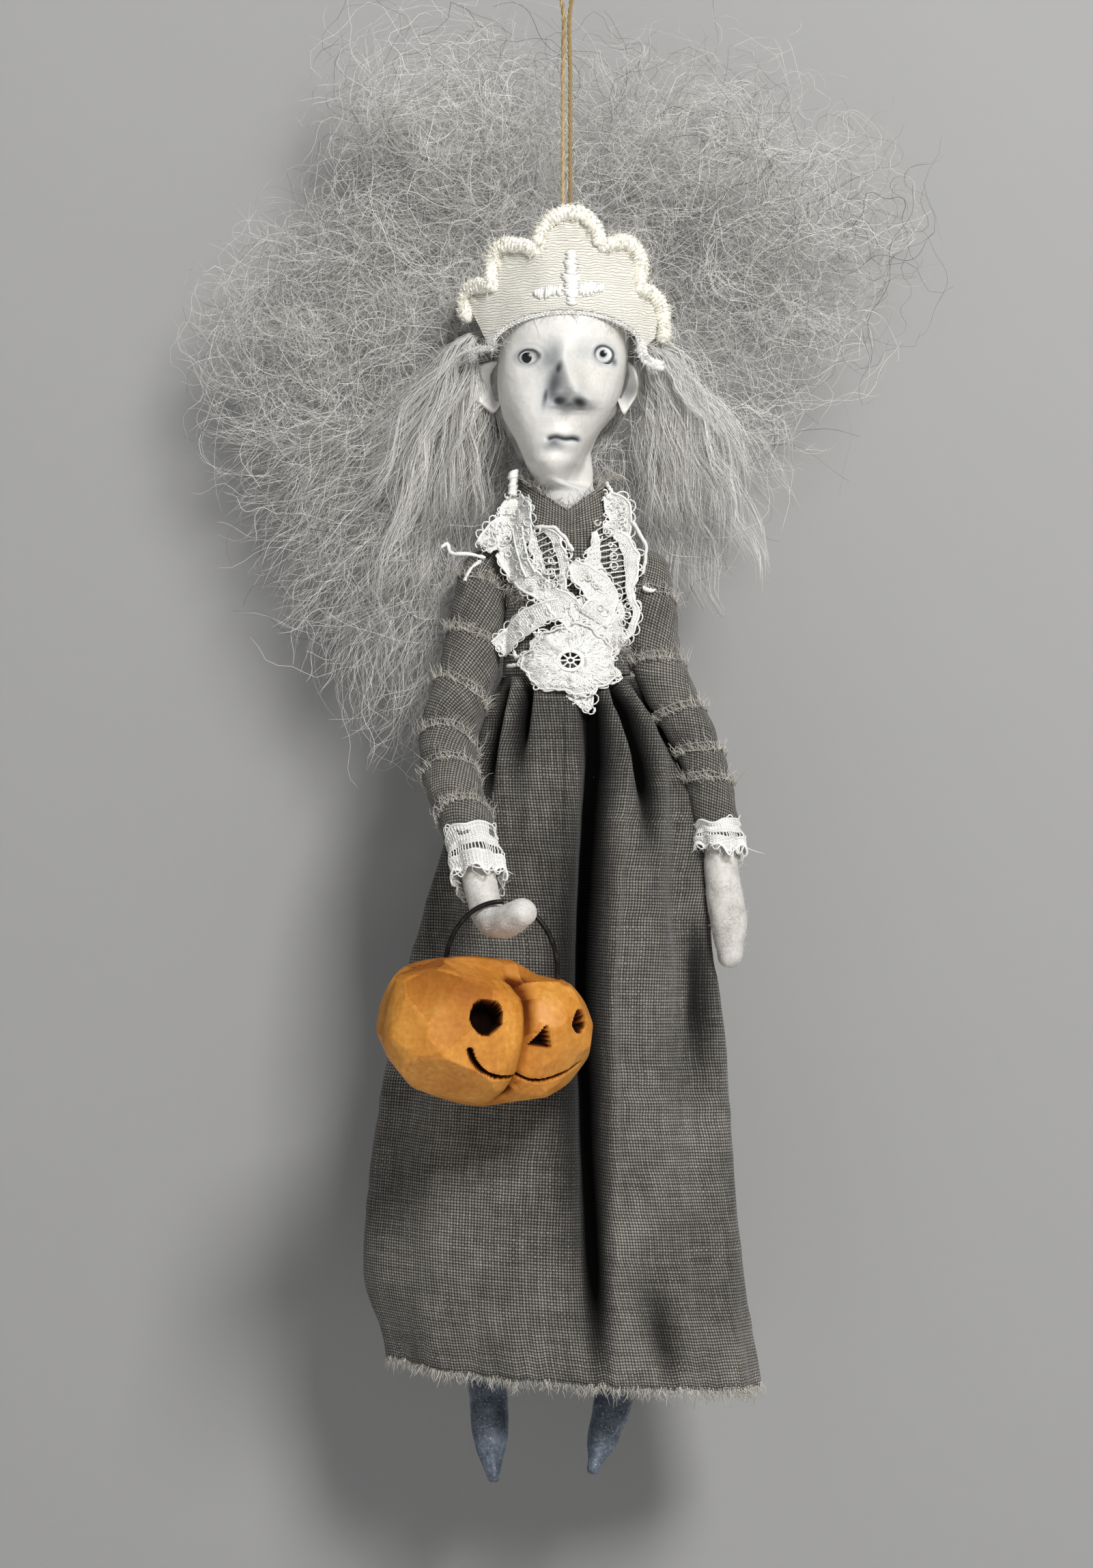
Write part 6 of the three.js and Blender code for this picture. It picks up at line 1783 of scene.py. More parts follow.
@dataclass
class Lace:
    """White tape lace of the collar and front, of threads that cross one over another."""

    shape: DressShape
    thread: float = 0.34
    pitch: float = 0.46
    right: tuple = (  # lift, share of openwork, and rows of x, z and width
        (0.9, 0.0, ((-11.9, -124.6, 3), (-11.6, -127.5, 6.5), (-11.8, -131, 8), (-12.5, -135, 6),
                    (-12.6, -138.5, 4.5))),
        (1.3, 0.0, ((-14.5, -137, 4), (-10.5, -142.5, 4.6), (-5.5, -146.5, 4.6), (-1, -150, 5),
                    (3.5, -154, 6))),
        (1.7, 0.0, ((-11.2, -132, 1.8), (-10.6, -136, 1.8), (-9.4, -140.5, 1.8), (-8.2, -143, 1.8))),
        (0.9, 0.45, ((-6.9, -132.5, 3), (-5, -136, 6.5), (-3.6, -140, 7), (-3, -144, 6), (-2.4, -148, 4.5))),
        (1.2, 0.0, ((-13.5, -131, 4), (-16.5, -133.5, 4.5), (-19, -136.5, 4))),
    )
    left: tuple = (
        (0.9, 0.0, ((9.2, -124.5, 2), (11.8, -128, 5.6), (12.2, -131.5, 5), (10.5, -134, 6))),
        (1.2, 0.4, ((7.5, -132.5, 4), (9.5, -136, 9), (10.5, -140, 11), (11.3, -143.5, 9),
                    (12.6, -147.5, 5), (14.2, -151, 4), (12.5, -155, 5), (8, -158, 6))),
        (1.7, 0.0, ((1.2, -140.5, 2), (3, -142.5, 4), (6, -145, 5.5), (8.5, -148.5, 6), (6, -153, 7))),
        (1.4, 0.0, ((4, -148, 7), (6, -152, 9), (8, -156, 9), (6.5, -160, 8))),
    )
    leaf: tuple = (
        (1.6, 0.0, ((-1.5, -150.5, 3.5), (-5.5, -151.5, 4.2), (-9.5, -153.8, 4.4), (-13, -157, 4),
                    (-15.6, -159.6, 4.4))),
        (1.2, 0.0, ((2, -168.5, 5), (4, -171, 3.5), (4.6, -173.5, 1.5))),
    )
    cords: tuple = (  # x and z, a row for each cord
        ((14.9, -130.5), (18, -136), (17.8, -140), (17.3, -142.5)),
        ((17.3, -145.5), (18.6, -146.2), (20.1, -146.3)),
        ((-7.3, -132.2), (-3, -132.4), (-0.2, -135), (1.3, -137.8)),
        ((9, -122), (9.8, -123.2), (10.6, -124.4)),
        ((-7.4, -156), (-6.8, -156.8), (-6.2, -157.6)),
        ((-12.1, -160.3), (-11.4, -161.5), (-9, -160.7)),
        ((-9.8, -162.7), (-11.6, -163.3), (-13.4, -163.5)),
        ((-12.1, -118.9), (-12.2, -122), (-12.5, -124.6)),
    )
    rosette: tuple = ((0.8, -162.4), (10.3, 7.6), 2.5)  # middle, half sizes, radius of its web
    # where each side would fold to as its arm comes up, and what would be kept of it
    folds: tuple = (((5.8, -13.2, -140), 0.63), ((-0.4, -13.4, -140), 0.63))
    fold_axis: tuple = (0.84, 0.54)

    def lay(self, flat: Array, lift) -> Array:
        """Places on the dress front of flat places across and up, raised by lift."""
        x, z = flat[..., 0], flat[..., 1]
        return places(x, self.shape.front_y(x, z) - lift, z)

    def ground(self, flat: Array, high: Array) -> Form:
        """Thin cloth between a tape's threads, over its flat places and their heights."""
        sheet = self.lay(flat, high).transpose(1, 0, 2)
        thin = np.array([0, 0.07, 0])
        rings = np.concatenate([sheet - thin, (sheet + thin)[:, ::-1]], 1)
        return loft(rings, tone=np.full(rings.shape[:2], 0.3)).plain()

    def tape(self, rows: Sequence, lift: float, hollow: float, rng: Rng) -> tuple:
        """A woven tape with corded edges.

        Args:
            rows: Places across and up, and the tape's width at each.
            lift: How far it stands off the dress.
            hollow: Share of its width that is openwork.
            rng: Source of its differences.

        Returns:
            Its ground, as a list, and its threads.
        """
        rough = spline(rows, np.linspace(0, 1, 80))
        length = float(np.linalg.norm(np.diff(rough[:, :2], axis=0), axis=1).sum())
        steps = max(8, round(length / self.pitch))
        mid = spline(rows, np.linspace(0, 1, steps))
        mid[:, 2] *= 1 + 0.16 * lattice_noise(np.concatenate([mid[:, :2] / 1.7, mid[:, :1] * 0], -1), 27)
        ahead = unit(np.gradient(mid[:, :2], axis=0))
        across = places(-ahead[:, 1], ahead[:, 0])
        many = max(4, round(float(np.max(mid[:, 2])) / self.pitch))
        place = np.linspace(-1, 1, many)
        flat = mid[None, :, :2] + place[:, None, None] * (mid[:, 2] / 2)[None, :, None] * across[None]
        flat = flat + 0.05 * rng.normal(size=flat.shape)
        at = np.concatenate([flat / 3.2, np.full((*flat.shape[:2], 1), lift)], -1)
        high = lift + 0.6 * lattice_noise(at, 17) + 0.25 * lattice_noise(at * 2.3, 26) + 0.35 * place[:, None] ** 2
        over = 0.1 * (-1.0) ** np.add.outer(np.arange(many), np.arange(steps))
        dense = np.abs(place) >= hollow
        shade = rng.uniform(0.5, 1, many)
        parts = [tubes(self.lay(flat, high + over)[dense], self.thread / 2, 4, shade[dense])]
        crossing = self.lay(flat, high - over).transpose(1, 0, 2)
        strips = [place <= -hollow, place >= hollow] if hollow else [place > -2]
        if hollow:
            parts.append(threads(crossing[::3], self.thread / 2, rng, 0.5))
        parts += [threads(crossing[:, keep], self.thread / 2, rng, 0.5) for keep in strips]
        grounds = [self.ground(flat[keep], high[keep]) for keep in strips]
        for side, row in [(-1, 0), (1, -1)]:
            rim = mid[:, :2] + side * (mid[:, 2:] / 2 + 0.1) * across
            edge = self.lay(rim, high[row] + 0.1)
            parts.append(threads(edge[None], 0.3, rng, sides=6))
            start = np.arange(2, steps - 5, 4)
            if len(start):
                turn = np.linspace(0, math.pi, 6)
                loop = start[:, None] + np.clip(2 - 2 * np.cos(turn), 0, 3.999)
                k = loop.astype(int)
                base = lerp(rim[k], rim[np.minimum(k + 1, steps - 1)], (loop - k)[..., None])
                base = base + side * (rng.uniform(0.4, 1.5, (len(start), 1)) * np.sin(turn))[..., None] * across[k]
                parts.append(threads(self.lay(base, high[row][k] + 0.1), 0.17, rng))
        return grounds, Form.join(parts)

    def oval(self, rng: Rng) -> tuple:
        """Rosette at the waist: crowded stitches round a web of eight holes."""
        (cx, cz), (rx, rz), hole = self.rosette
        middle = np.array([cx, cz])

        def spread(share: Array, turn: Array) -> Array:
            """Flat places by share from the web to the uneven rim and by bearing."""
            rim = 1 + 0.07 * np.sin(3 * turn + 1) + 0.05 * np.sin(7 * turn) + 0.03 * np.sin(17 * turn)
            ray = places(np.sin(turn), np.cos(turn))
            web, full = np.array([hole, 0.8 * hole]), rim[..., None] * np.array([rx, rz])
            return middle + ray * lerp(web, full, share[..., None])

        def high(flat: Array) -> Array:
            """How far the rosette stands off the dress."""
            at = np.concatenate([flat / 2.6, np.zeros((*flat.shape[:-1], 1))], -1)
            return 2.0 + 0.45 * lattice_noise(at, 17) + 0.3 * lattice_noise(at * 2.4, 26)

        share, turn = np.meshgrid(np.linspace(0, 1, 12), np.linspace(0, 2 * math.pi, 97), indexing="ij")
        flat = spread(share, turn)
        grounds = [self.ground(flat, high(flat))]
        many, s = 150, np.linspace(0, 1, 34)[None]

        def draw(low: float, top: float) -> Array:
            """A value for each stitch."""
            return rng.uniform(low, top, (many, 1))

        reach = draw(0.06, 0.24)
        share = draw(0, 1) * (1 - 2 * reach) + reach + reach * np.sin(draw(14, 50) * s + draw(0, 6.3))
        turn = draw(0, 6.3) + draw(0.3, 1.6) * s + draw(0.02, 0.1) * np.sin(draw(20, 60) * s)
        flat = spread(share, turn)
        parts = [threads(self.lay(flat, high(flat) + draw(0.05, 0.3)), 0.17, rng, 0.55)]
        picots = 44
        start = np.sort(rng.uniform(0, 6.3, picots))[:, None]
        bow = np.linspace(0, math.pi, 8)[None]
        far = 1 + rng.uniform(0.06, 0.2, (picots, 1)) * np.sin(bow)
        loops = spread(far, start + rng.uniform(0.05, 0.11, (picots, 1)) * (1 - np.cos(bow)))
        parts.append(threads(self.lay(loops, high(loops) + 0.1), 0.2, rng))
        turn = np.linspace(0, 2 * math.pi, 65)[None]
        hoops = spread(np.array([[0.0], [0.06], [1.0]]) + 0 * turn, turn + np.zeros((3, 1)))
        parts.append(threads(self.lay(hoops, 2.3), 0.3, rng, sides=5))
        spokes = circle(8)[:, None] + rng.normal(scale=0.08, size=(8, 1))
        flat = spread(np.zeros((8, 6)), spokes + np.zeros((8, 6)))
        flat = middle + (flat - middle) * np.linspace(0.25, 1.05, 6)[None, :, None]
        parts.append(threads(self.lay(flat, 2.25), 0.21, rng))
        hub = middle + (spread(0 * turn, turn) - middle) * 0.3
        parts.append(tubes(self.lay(hub, 2.3), 0.25, 5, np.ones(1)))
        return grounds, Form.join(parts)

    def loose(self, lines: Sequence, lift: float, thick: float, rng: Rng) -> tuple:
        """Paths, radii, sides and tones of cords laid on the front along lines of flat places."""
        flat = np.stack([spline(line, np.linspace(0, 1, 22)) for line in lines])
        wobble = 0.18 * np.sin(np.linspace(0, 22, 22))[None, :, None]
        radii = thick * (1 + 0.12 * rng.normal(size=flat.shape[:2]))
        return self.lay(flat + wobble * 0.5, lift), radii, 6, rng.uniform(0.6, 1, len(flat))

    def snarls(self, rng: Rng) -> tuple:
        """Paths, radii, sides and tones of loose curls of thread on and beside the tapes."""
        lines = [rows for _, _, rows in (*self.right, *self.left, *self.leaf)]
        many = 230
        spots = np.stack([spline(lines[rng.integers(len(lines))], rng.uniform(0, 1, 1))[0] for _ in range(many)])
        turn = np.linspace(0, 1, 12)[None] * rng.uniform(3, 8, (many, 1)) + rng.uniform(0, 6.3, (many, 1))
        size = rng.uniform(0.4, 1.1, (many, 1)) * np.linspace(1, 0.7, 12)[None]
        aside = rng.uniform(-0.62, 0.62, (many, 1)) * spots[:, 2:] * unit(rng.normal(size=(many, 2)))
        flat = (spots[:, :2] + aside)[:, None] + size[..., None] * places(np.sin(turn), np.cos(turn))
        lift = rng.uniform(1.2, 2.4, (many, 1)) + 0.3 * np.sin(turn)
        return self.lay(flat, lift), np.full(flat.shape[:2], 0.16), 4, rng.uniform(0.6, 1, many)

    def give_way(self, side: Side, cloth: list, strands: list) -> bpy.types.Object:
        """Adds one side's cords, and gives that side's lace pieces and cords meshes of their own."""
        own = []
        for paths, radii, sides, tones in strands:
            mine = np.sign(paths[:, :, 0].mean(1)) == side.value
            if mine.any():
                own.append(tubes(paths[mine], radii[mine], sides, tones[mine]))
        cords = make_piece(f"lace_cords_{side.label}", Form.join(own), COTTON, Body.DOLL)
        for piece in (*cloth, cords):
            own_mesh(piece)
        return cords

    def tassels(self, rng: Rng) -> Form:
        """Loose cotton ends on the right shoulder."""
        lines = [
            [(-18.5, -4.5, -138.8), (-22.1, -5.2, -138), (-26.4, -4.6, -137.6), (-27.2, -4.2, -135.6),
             (-28.6, -4.2, -136.4)],
            [(-19.5, -4.6, -139.5), (-21.5, -5.4, -141), (-22.2, -5.6, -142), (-22.9, -5.6, -143.2),
             (-23.2, -5.4, -144)],
        ]
        steps, many = 26, 120
        paths = np.stack([spline(line, np.linspace(0, 1, steps)) for line in lines])
        cords = threads(paths, 0.42 * (1 + 0.15 * rng.normal(size=(2, steps))), rng, sides=6)
        pick = rng.integers(0, steps, many)
        roots = paths[rng.integers(0, 2, many), pick]
        fuzz = fibres(roots, rng.normal(size=(many, 3)), rng.uniform(0.6, 1.8, many), rng, 0.4, 0.05)
        return Form.join([cords, fuzz])

    def build(self) -> None:
        """Makes the collar's two sides, the leaf, the rosette, the cords and the tassels."""
        rng = np.random.default_rng(31)
        sewn = []
        for name, tapes, node in [
            ("lace_right", self.right, "lace_collar_right"),
            ("lace_left", self.left, "lace_collar_left"),
            ("lace_leaf_tape", self.leaf, "lace_leaf"),
        ]:
            made = [self.tape(rows, lift, hollow, rng) for lift, hollow, rows in tapes]
            grounds = [ground for cloth, _ in made for ground in cloth]
            sewn.append(self.sew(name, grounds, [relief for _, relief in made], node))
        grounds, relief = self.oval(rng)
        sewn.append(self.sew("lace_rosette_tape", grounds, [relief], "lace_rosette"))
        strands = [
            self.loose(self.cords[:-1], 1.6, 0.42, rng),
            self.loose(self.cords[-1:], 1.6, 1.1, rng),
            self.snarls(rng),
        ]
        for side, (pieces, _) in zip(Side, sewn):
            pieces.append(self.give_way(side, pieces, strands))
        make_piece("shoulder_tassels", self.tassels(rng), COTTON, Body.RIGHT_ARM)

    def sew(self, name: str, grounds: list, reliefs: list, node: str) -> tuple:
        """Adds lace as its cloth and its threads, and gives both with the cloth's flat size."""
        whole = Form.join(grounds)
        cloth = make_piece(name, whole, COTTON, Body.DOLL, [node])
        relief = make_piece(f"{name}_threads", Form.join(reliefs), COTTON, Body.DOLL)
        return [cloth, relief], (TAPE, half_area(whole) / TAPE)


# Limbs


@dataclass
class Limb:
    """Round limb along a curve through stations of a place and a radius."""

    stations: Sequence
    fine: int = 400
    line: Array = field(init=False)
    thick: Array = field(init=False)

    def __post_init__(self) -> None:
        """Reads the curve once at fine steps."""
        shares = np.linspace(0, 1, self.fine)
        self.line = spline([place for place, _ in self.stations], shares)
        rows = [(n / (len(self.stations) - 1), r) for n, (_, r) in enumerate(self.stations)]
        self.thick = read_rows(rows, shares)[:, 0]

    @property
    def length(self) -> float:
        """Length of the curve."""
        return float(np.linalg.norm(np.diff(self.line, axis=0), axis=1).sum())

    def at(self, shares) -> tuple:
        """Centre, direction and radius at shares of the curve."""
        spot = np.clip(np.asarray(shares, float), 0, 1) * (self.fine - 1)
        low = np.minimum(spot.astype(int), self.fine - 2)
        w = spot - low
        along = unit(np.gradient(self.line, axis=0))
        mixed = [lerp(v[low], v[low + 1], w[..., None]) for v in (self.line, along)]
        return mixed[0], unit(mixed[1]), lerp(self.thick[low], self.thick[low + 1], w)

    def rings(self, shares: Array, turn: Array, radius: Array, slide=0.0, slant=0.0) -> Array:
        """Rings round the limb.

        Args:
            shares: Where on the curve.
            turn: Bearings round it.
            radius: Radius of each ring, or of each point of each ring.
            slide: How far each ring is moved along.
            slant: How far each ring is tilted along.

        Returns:
            Points by ring and bearing.
        """
        centre, along, _ = self.at(shares)
        side = np.array([1.0, 0, 0]) - along[:, :1] * along
        side = unit(side)
        ahead = np.cross(along, side)
        radius = np.broadcast_to(np.asarray(radius, float).reshape(len(shares), -1), (len(shares), len(turn)))
        moved = np.broadcast_to(np.asarray(slide, float).reshape(-1, 1), (len(shares), 1))
        tilt = np.broadcast_to(np.asarray(slant, float).reshape(-1, 1), (len(shares), 1)) * np.cos(turn + 0.6)
        flat = np.cos(turn)[None, :, None] * side[:, None] + np.sin(turn)[None, :, None] * ahead[:, None]
        return centre[:, None] + radius[..., None] * flat + (moved + tilt)[..., None] * along[:, None]

    def solid(self, around: int, many: int, lumps: float, seed: int) -> Form:
        """The limb closed with round ends, a little uneven."""
        turn = circle(around)
        dome = np.linspace(0.12, 1, 9)[:-1] * math.pi / 2
        middle = np.linspace(0, 1, many)
        shares = np.concatenate([np.zeros(8), middle, np.ones(8)])
        _, _, thick = self.at(shares)
        factor = np.concatenate([np.sin(dome), np.ones(many), np.sin(dome[::-1])])
        slide = np.concatenate([-np.cos(dome), np.zeros(many), np.cos(dome[::-1])]) * thick
        rings = self.rings(shares, turn, thick * factor, slide)
        noise = uneven(rings, (lumps, 2.6, seed)) * factor[:, None]
        rings = rings + noise[..., None] * off_axis(rings)
        down = arc(rings.mean(1))
        spots = places(4.2 * np.append(turn, 2 * math.pi)[None], down[:, None])
        return loft(rings, spots)


@dataclass
class Arm:
    """Felt arm and hand in a sleeve wound from frayed linen strips, with a lace cuff."""

    side: Side
    limb: Limb
    wrist: float
    wraps: tuple
    gap: float = 0.35
    linen: float = 0.9
    step: float = 0.7
    slant: float = 1.6
    cap_radius: float = 5.2
    lean: float = 5.0
    cuff_length: float = 7.6
    strip: float = 0.0125

    @property
    def body(self) -> Body:
        """The body that the arm is."""
        return Body(f"{self.side.label}_arm")

    def build(self) -> None:
        """Makes the felt, the sleeve and the cuff."""
        seed = 50 + self.side.value
        rng = np.random.default_rng(seed)
        self.felt(rng, seed)
        self.sleeve(rng, seed)
        self.cuff(rng)

    def felt(self, rng: Rng, seed: int) -> None:
        """Arm with its hand, and the wool's loose hairs on the hand."""
        label = self.side.label
        form = self.limb.solid(40, 130, 0.22, seed)
        arm = make_piece(f"felt_arm_{label}", form, WOOL, self.body, [f"arm_{label}"])
        many = 900
        shares = rng.uniform(self.wrist + 0.02, 1, many)
        centre, along, thick = self.limb.at(shares)
        out = rng.normal(size=(many, 3))
        out = unit(out - 0.9 * np.sum(out * along, -1, keepdims=True) * along)
        tip = shares > 0.985
        out[tip] = unit(out[tip] + 1.4 * along[tip])
        roots = centre + 0.96 * thick[:, None] * out
        heading = out + 0.9 * rng.normal(size=(many, 3))
        fuzz = fibres(roots, heading, rng.uniform(0.3, 0.8, many), rng, 0.6, 0.035, (0.3, 1.0))
        make_piece(f"felt_hairs_{label}", fuzz, WOOL_FUZZ, self.body)

    def sleeve(self, rng: Rng, seed: int) -> None:
        """Wound strips, each with its frayed edge up."""
        turn = circle(72)
        dome = np.linspace(0.1, 1, 10) * math.pi / 2
        shares, slant, edges = [0.0] * len(dome), [0.0] * len(dome), []
        radius = list(self.cap_radius * np.sin(dome))
        slide = list(-self.cap_radius * np.cos(dome))
        skin = self.gap + self.linen
        last = len(self.wraps) - 1
        for wrap, (start, end) in enumerate(zip(self.wraps, (*self.wraps[1:], 1.004))):
            start, end = self.wrist * start, self.wrist * (end - 0.004)
            for n, s in enumerate(np.linspace(0, 1, 9)):
                share = lerp(start, end, s)
                _, _, thick = self.limb.at(np.array([share]))
                swell = self.step * (1 - s) ** 0.8 + 0.25 * math.sin(math.pi * s)
                shares.append(share)
                radius.append(float(thick[0]) + skin + swell)
                slide.append(0.0)
                slant.append(self.slant * (1 - s if wrap == last else 1))
                if n == 0:
                    edges.append(len(shares) - 1)
        shares, radius = np.array(shares), np.array(radius)
        rings = self.limb.rings(shares, turn, radius, np.array(slide), np.array(slant))
        rings[: len(dome), :, 0] -= self.side.value * self.lean * (1 - np.sin(dome))[:, None]
        rumple = uneven(rings, (0.3, (3.2, 3.2, 2.2), seed), (0.12, 1.3, seed + 1))
        rings = rings + rumple[..., None] * off_axis(rings)
        inside = np.linspace(self.wrist, 0, 24)
        _, _, thick = self.limb.at(inside)
        lining = self.limb.rings(inside, turn, thick + self.gap)
        close = dome[1:9:2]
        crown = self.limb.rings(np.zeros(4), turn, 4.6 * np.cos(close), -4.2 * np.sin(close))
        whole = np.concatenate([rings, lining, crown])
        down = 0.76 * arc(whole.mean(1))
        around = 4.7 * np.append(turn, 2 * math.pi)
        tilted = down[:, None] + 0.35 * around[None]
        form = loft(whole, places(around[None] - 0.35 * down[:, None], tilted))
        label = self.side.label
        piece = make_piece(f"wound_sleeve_{label}", form, LINEN, self.body, [f"sleeve_{label}"])
        fray = []
        for edge in edges:
            many = 250
            pick = rng.integers(0, len(turn), many)
            centre, along, _ = self.limb.at(np.full(many, shares[edge]))
            roots = rings[edge, pick] + rng.normal(scale=0.22, size=(many, 3))
            out = unit(roots - centre)
            roots = roots + 0.25 * out + 0.7 * along
            long = rng.uniform(1.2, 3.4, many) * np.where(rng.uniform(size=many) < 0.06, 1.7, 1)
            heading = -along + 0.12 * out + 0.34 * rng.normal(size=(many, 3))
            fray.append(fibres(roots, heading, long, rng, 0.22, 0.085, (0.45, 1.0)))
            loop = np.concatenate([rings[edge], rings[edge, :6]])
            loop = loop + 0.28 * unit(loop - centre[0])
            strays = []
            for shift in (-0.2, 1.3):
                strays.append(loop - shift * along[0] + 0.45 * lattice_noise(loop / 2.2 + shift, 19)[:, None])
            fray.append(tubes(np.stack(strays), 0.09, 4, np.array([0.7, 0.55])))
        fringe = make_piece(f"sleeve_fray_{label}", Form.join(fray), LINEN_THREAD, self.body)

    def cuff(self, rng: Rng) -> None:
        """Ruffled lace over the wrist, of rings and threads, with a picot edge."""
        long = self.cuff_length / self.limb.length
        turn = np.linspace(0, 2 * math.pi, 97)
        rows = np.linspace(0, 1, 19)
        shares = self.wrist - 0.012 + rows * long
        _, _, thick = self.limb.at(shares)
        flute = np.sin(5 * turn + 0.9 * np.sin(2 * turn))[None]
        flare = np.interp(rows, [0, 0.15, 0.55, 1], [1.3, 0.9, 1.6, 1.2])[:, None]
        at = places(3 * turn[None], 6 * rows[:, None], 0.0)
        size = thick[:, None] + 0.6 + flare + 0.8 * rows[:, None] * flute + 0.35 * lattice_noise(at, 18)
        grid = self.limb.rings(shares, turn, size, 0.0, 0.8)
        _, along, _ = self.limb.at(shares)
        ragged = 1.1 * lattice_noise(places(2.2 * turn, 0.0, 0.0), 28) + 0.35 * np.sin(11 * turn)
        torn = 0.9 * lattice_noise(places(1.7 * turn, 5.0, 0.0), 29)
        slip = rows[:, None] ** 2 * ragged + (1 - rows[:, None]) ** 2 * torn
        grid = grid + slip[..., None] * along[:, None]
        grid[:, -1] = grid[:, 0]
        over = 0.1 * (-1.0) ** np.add.outer(np.arange(len(rows)), np.arange(len(turn)))
        out = off_axis(grid)
        top, foot = 7, 11
        solid = [row for row in range(len(rows)) if row < top or row > foot]
        parts = [threads((grid + over[..., None] * out)[solid], 0.17, rng, 0.5)]
        upright = (grid - over[..., None] * out).transpose(1, 0, 2)[:-1]
        parts.append(threads(upright[::2], 0.18, rng, 0.5))
        parts.append(threads(grid[[0, top, foot, -1]], 0.28, rng, sides=6))
        for row, way, many in [(-1, 1, 26), (0, -1, 9)]:
            start = np.sort(rng.choice(90, many, replace=False))
            bow = np.sin(np.linspace(0, math.pi, 7))
            loops = grid[row][start[:, None] + np.arange(7)]
            high = way * rng.uniform(0.7, 1.9, (many, 1, 1)) * bow[None, :, None]
            loops = loops + high * along[row] + 0.5 * bow[:, None] * out[row][start][:, None]
            parts.append(threads(loops, 0.17, rng))
        many = 40
        ends = rng.integers(0, len(upright), many)
        heading = along[-1] + 0.6 * rng.normal(size=(many, 3))
        parts.append(fibres(grid[-1][ends], heading, rng.uniform(0.8, 3.0, many), rng, 0.5, 0.12, (0.6, 1.0)))
        strips = []
        for band in (slice(0, top + 1), slice(foot, None)):
            walls = np.concatenate([grid[band] + 0.07 * out[band], (grid[band] - 0.07 * out[band])[::-1]])[:, :-1]
            strips.append(loft(walls, tone=np.full(walls.shape[:2], 0.3), looped=True))
        ground = Form.join([strip.outward() for strip in strips]).plain()
        label = self.side.label
        piece = make_piece(f"lace_cuff_{label}", ground, COTTON, self.body, [f"cuff_{label}"])
        relief = make_piece(f"lace_cuff_{label}_threads", Form.join(parts), COTTON, self.body)


@dataclass
class Leg:
    """Stockinged leg with a pointed boot."""

    side: Side
    foot: float
    cover: float
    toe_in: float
    shape: DressShape
    hip: tuple = (7.15, 0.0, -205.5)
    radius: float = 4.2
    boot_length: float = 25.0
    boot_radius: float = 4.4

    @property
    def body(self) -> Body:
        """The body that the leg is."""
        return Body(f"{self.side.label}_leg")

    def build(self) -> None:
        """Makes the leg and its boot."""
        s, name, dress = self.side.value, self.side.label, self.shape
        hem_z = dress.waist_z - dress.skirt_length - dress.hem_tilt * s * self.foot / (dress.hem[0] / 2)
        top = hem_z + self.cover
        ankle = top - 7
        stations = [
            (np.array([s * self.hip[0], 0, self.hip[2]]), self.radius),
            (np.array([s * lerp(self.hip[0], self.foot, 0.45), 0, (self.hip[2] + ankle) / 2]), 0.95 * self.radius),
            (np.array([s * self.foot, 0, ankle]), 0.72 * self.radius),
        ]
        stocking = Limb(stations).solid(32, 120, 0.2, 61)
        leg = make_piece(f"stocking_leg_{name}", stocking, STOCKING, self.body, [f"leg_{name}"])
        r = self.boot_radius
        boot = Limb([
            (np.array([s * self.foot + 0.4 * s, 0, top]), 0.96 * r),
            (np.array([s * self.foot, -0.6, top - 0.35 * self.boot_length]), r),
            (np.array([s * self.foot - 0.5 * self.toe_in, -3.4, top - 0.68 * self.boot_length]), 0.82 * r),
            (np.array([s * self.foot - self.toe_in, -7, top - 0.94 * self.boot_length]), 0.34 * r),
        ])
        turn = circle(64)
        shares = np.concatenate([[0, 0, 0, 0], np.linspace(0, 1, 90), np.ones(7)])
        _, _, thick = boot.at(shares)
        dome = np.linspace(0.95, 0.1, 7) * math.pi / 2
        factor = np.concatenate([[0.74, 0.8, 0.93, 1.02], np.ones(90), np.sin(dome)])
        slide = np.concatenate([[1.2, 0.1, -0.1, 0.15], np.zeros(90), thick[-7:] * np.cos(dome)])
        rings = boot.rings(shares, turn, thick * factor, slide)
        dent = uneven(rings, (0.22, 3.1, 62)) * factor[:, None]
        rings = rings + dent[..., None] * off_axis(rings)
        make_piece(f"glitter_boot_{name}", loft(rings).plain(), GLITTER, self.body, [f"boot_{name}"])


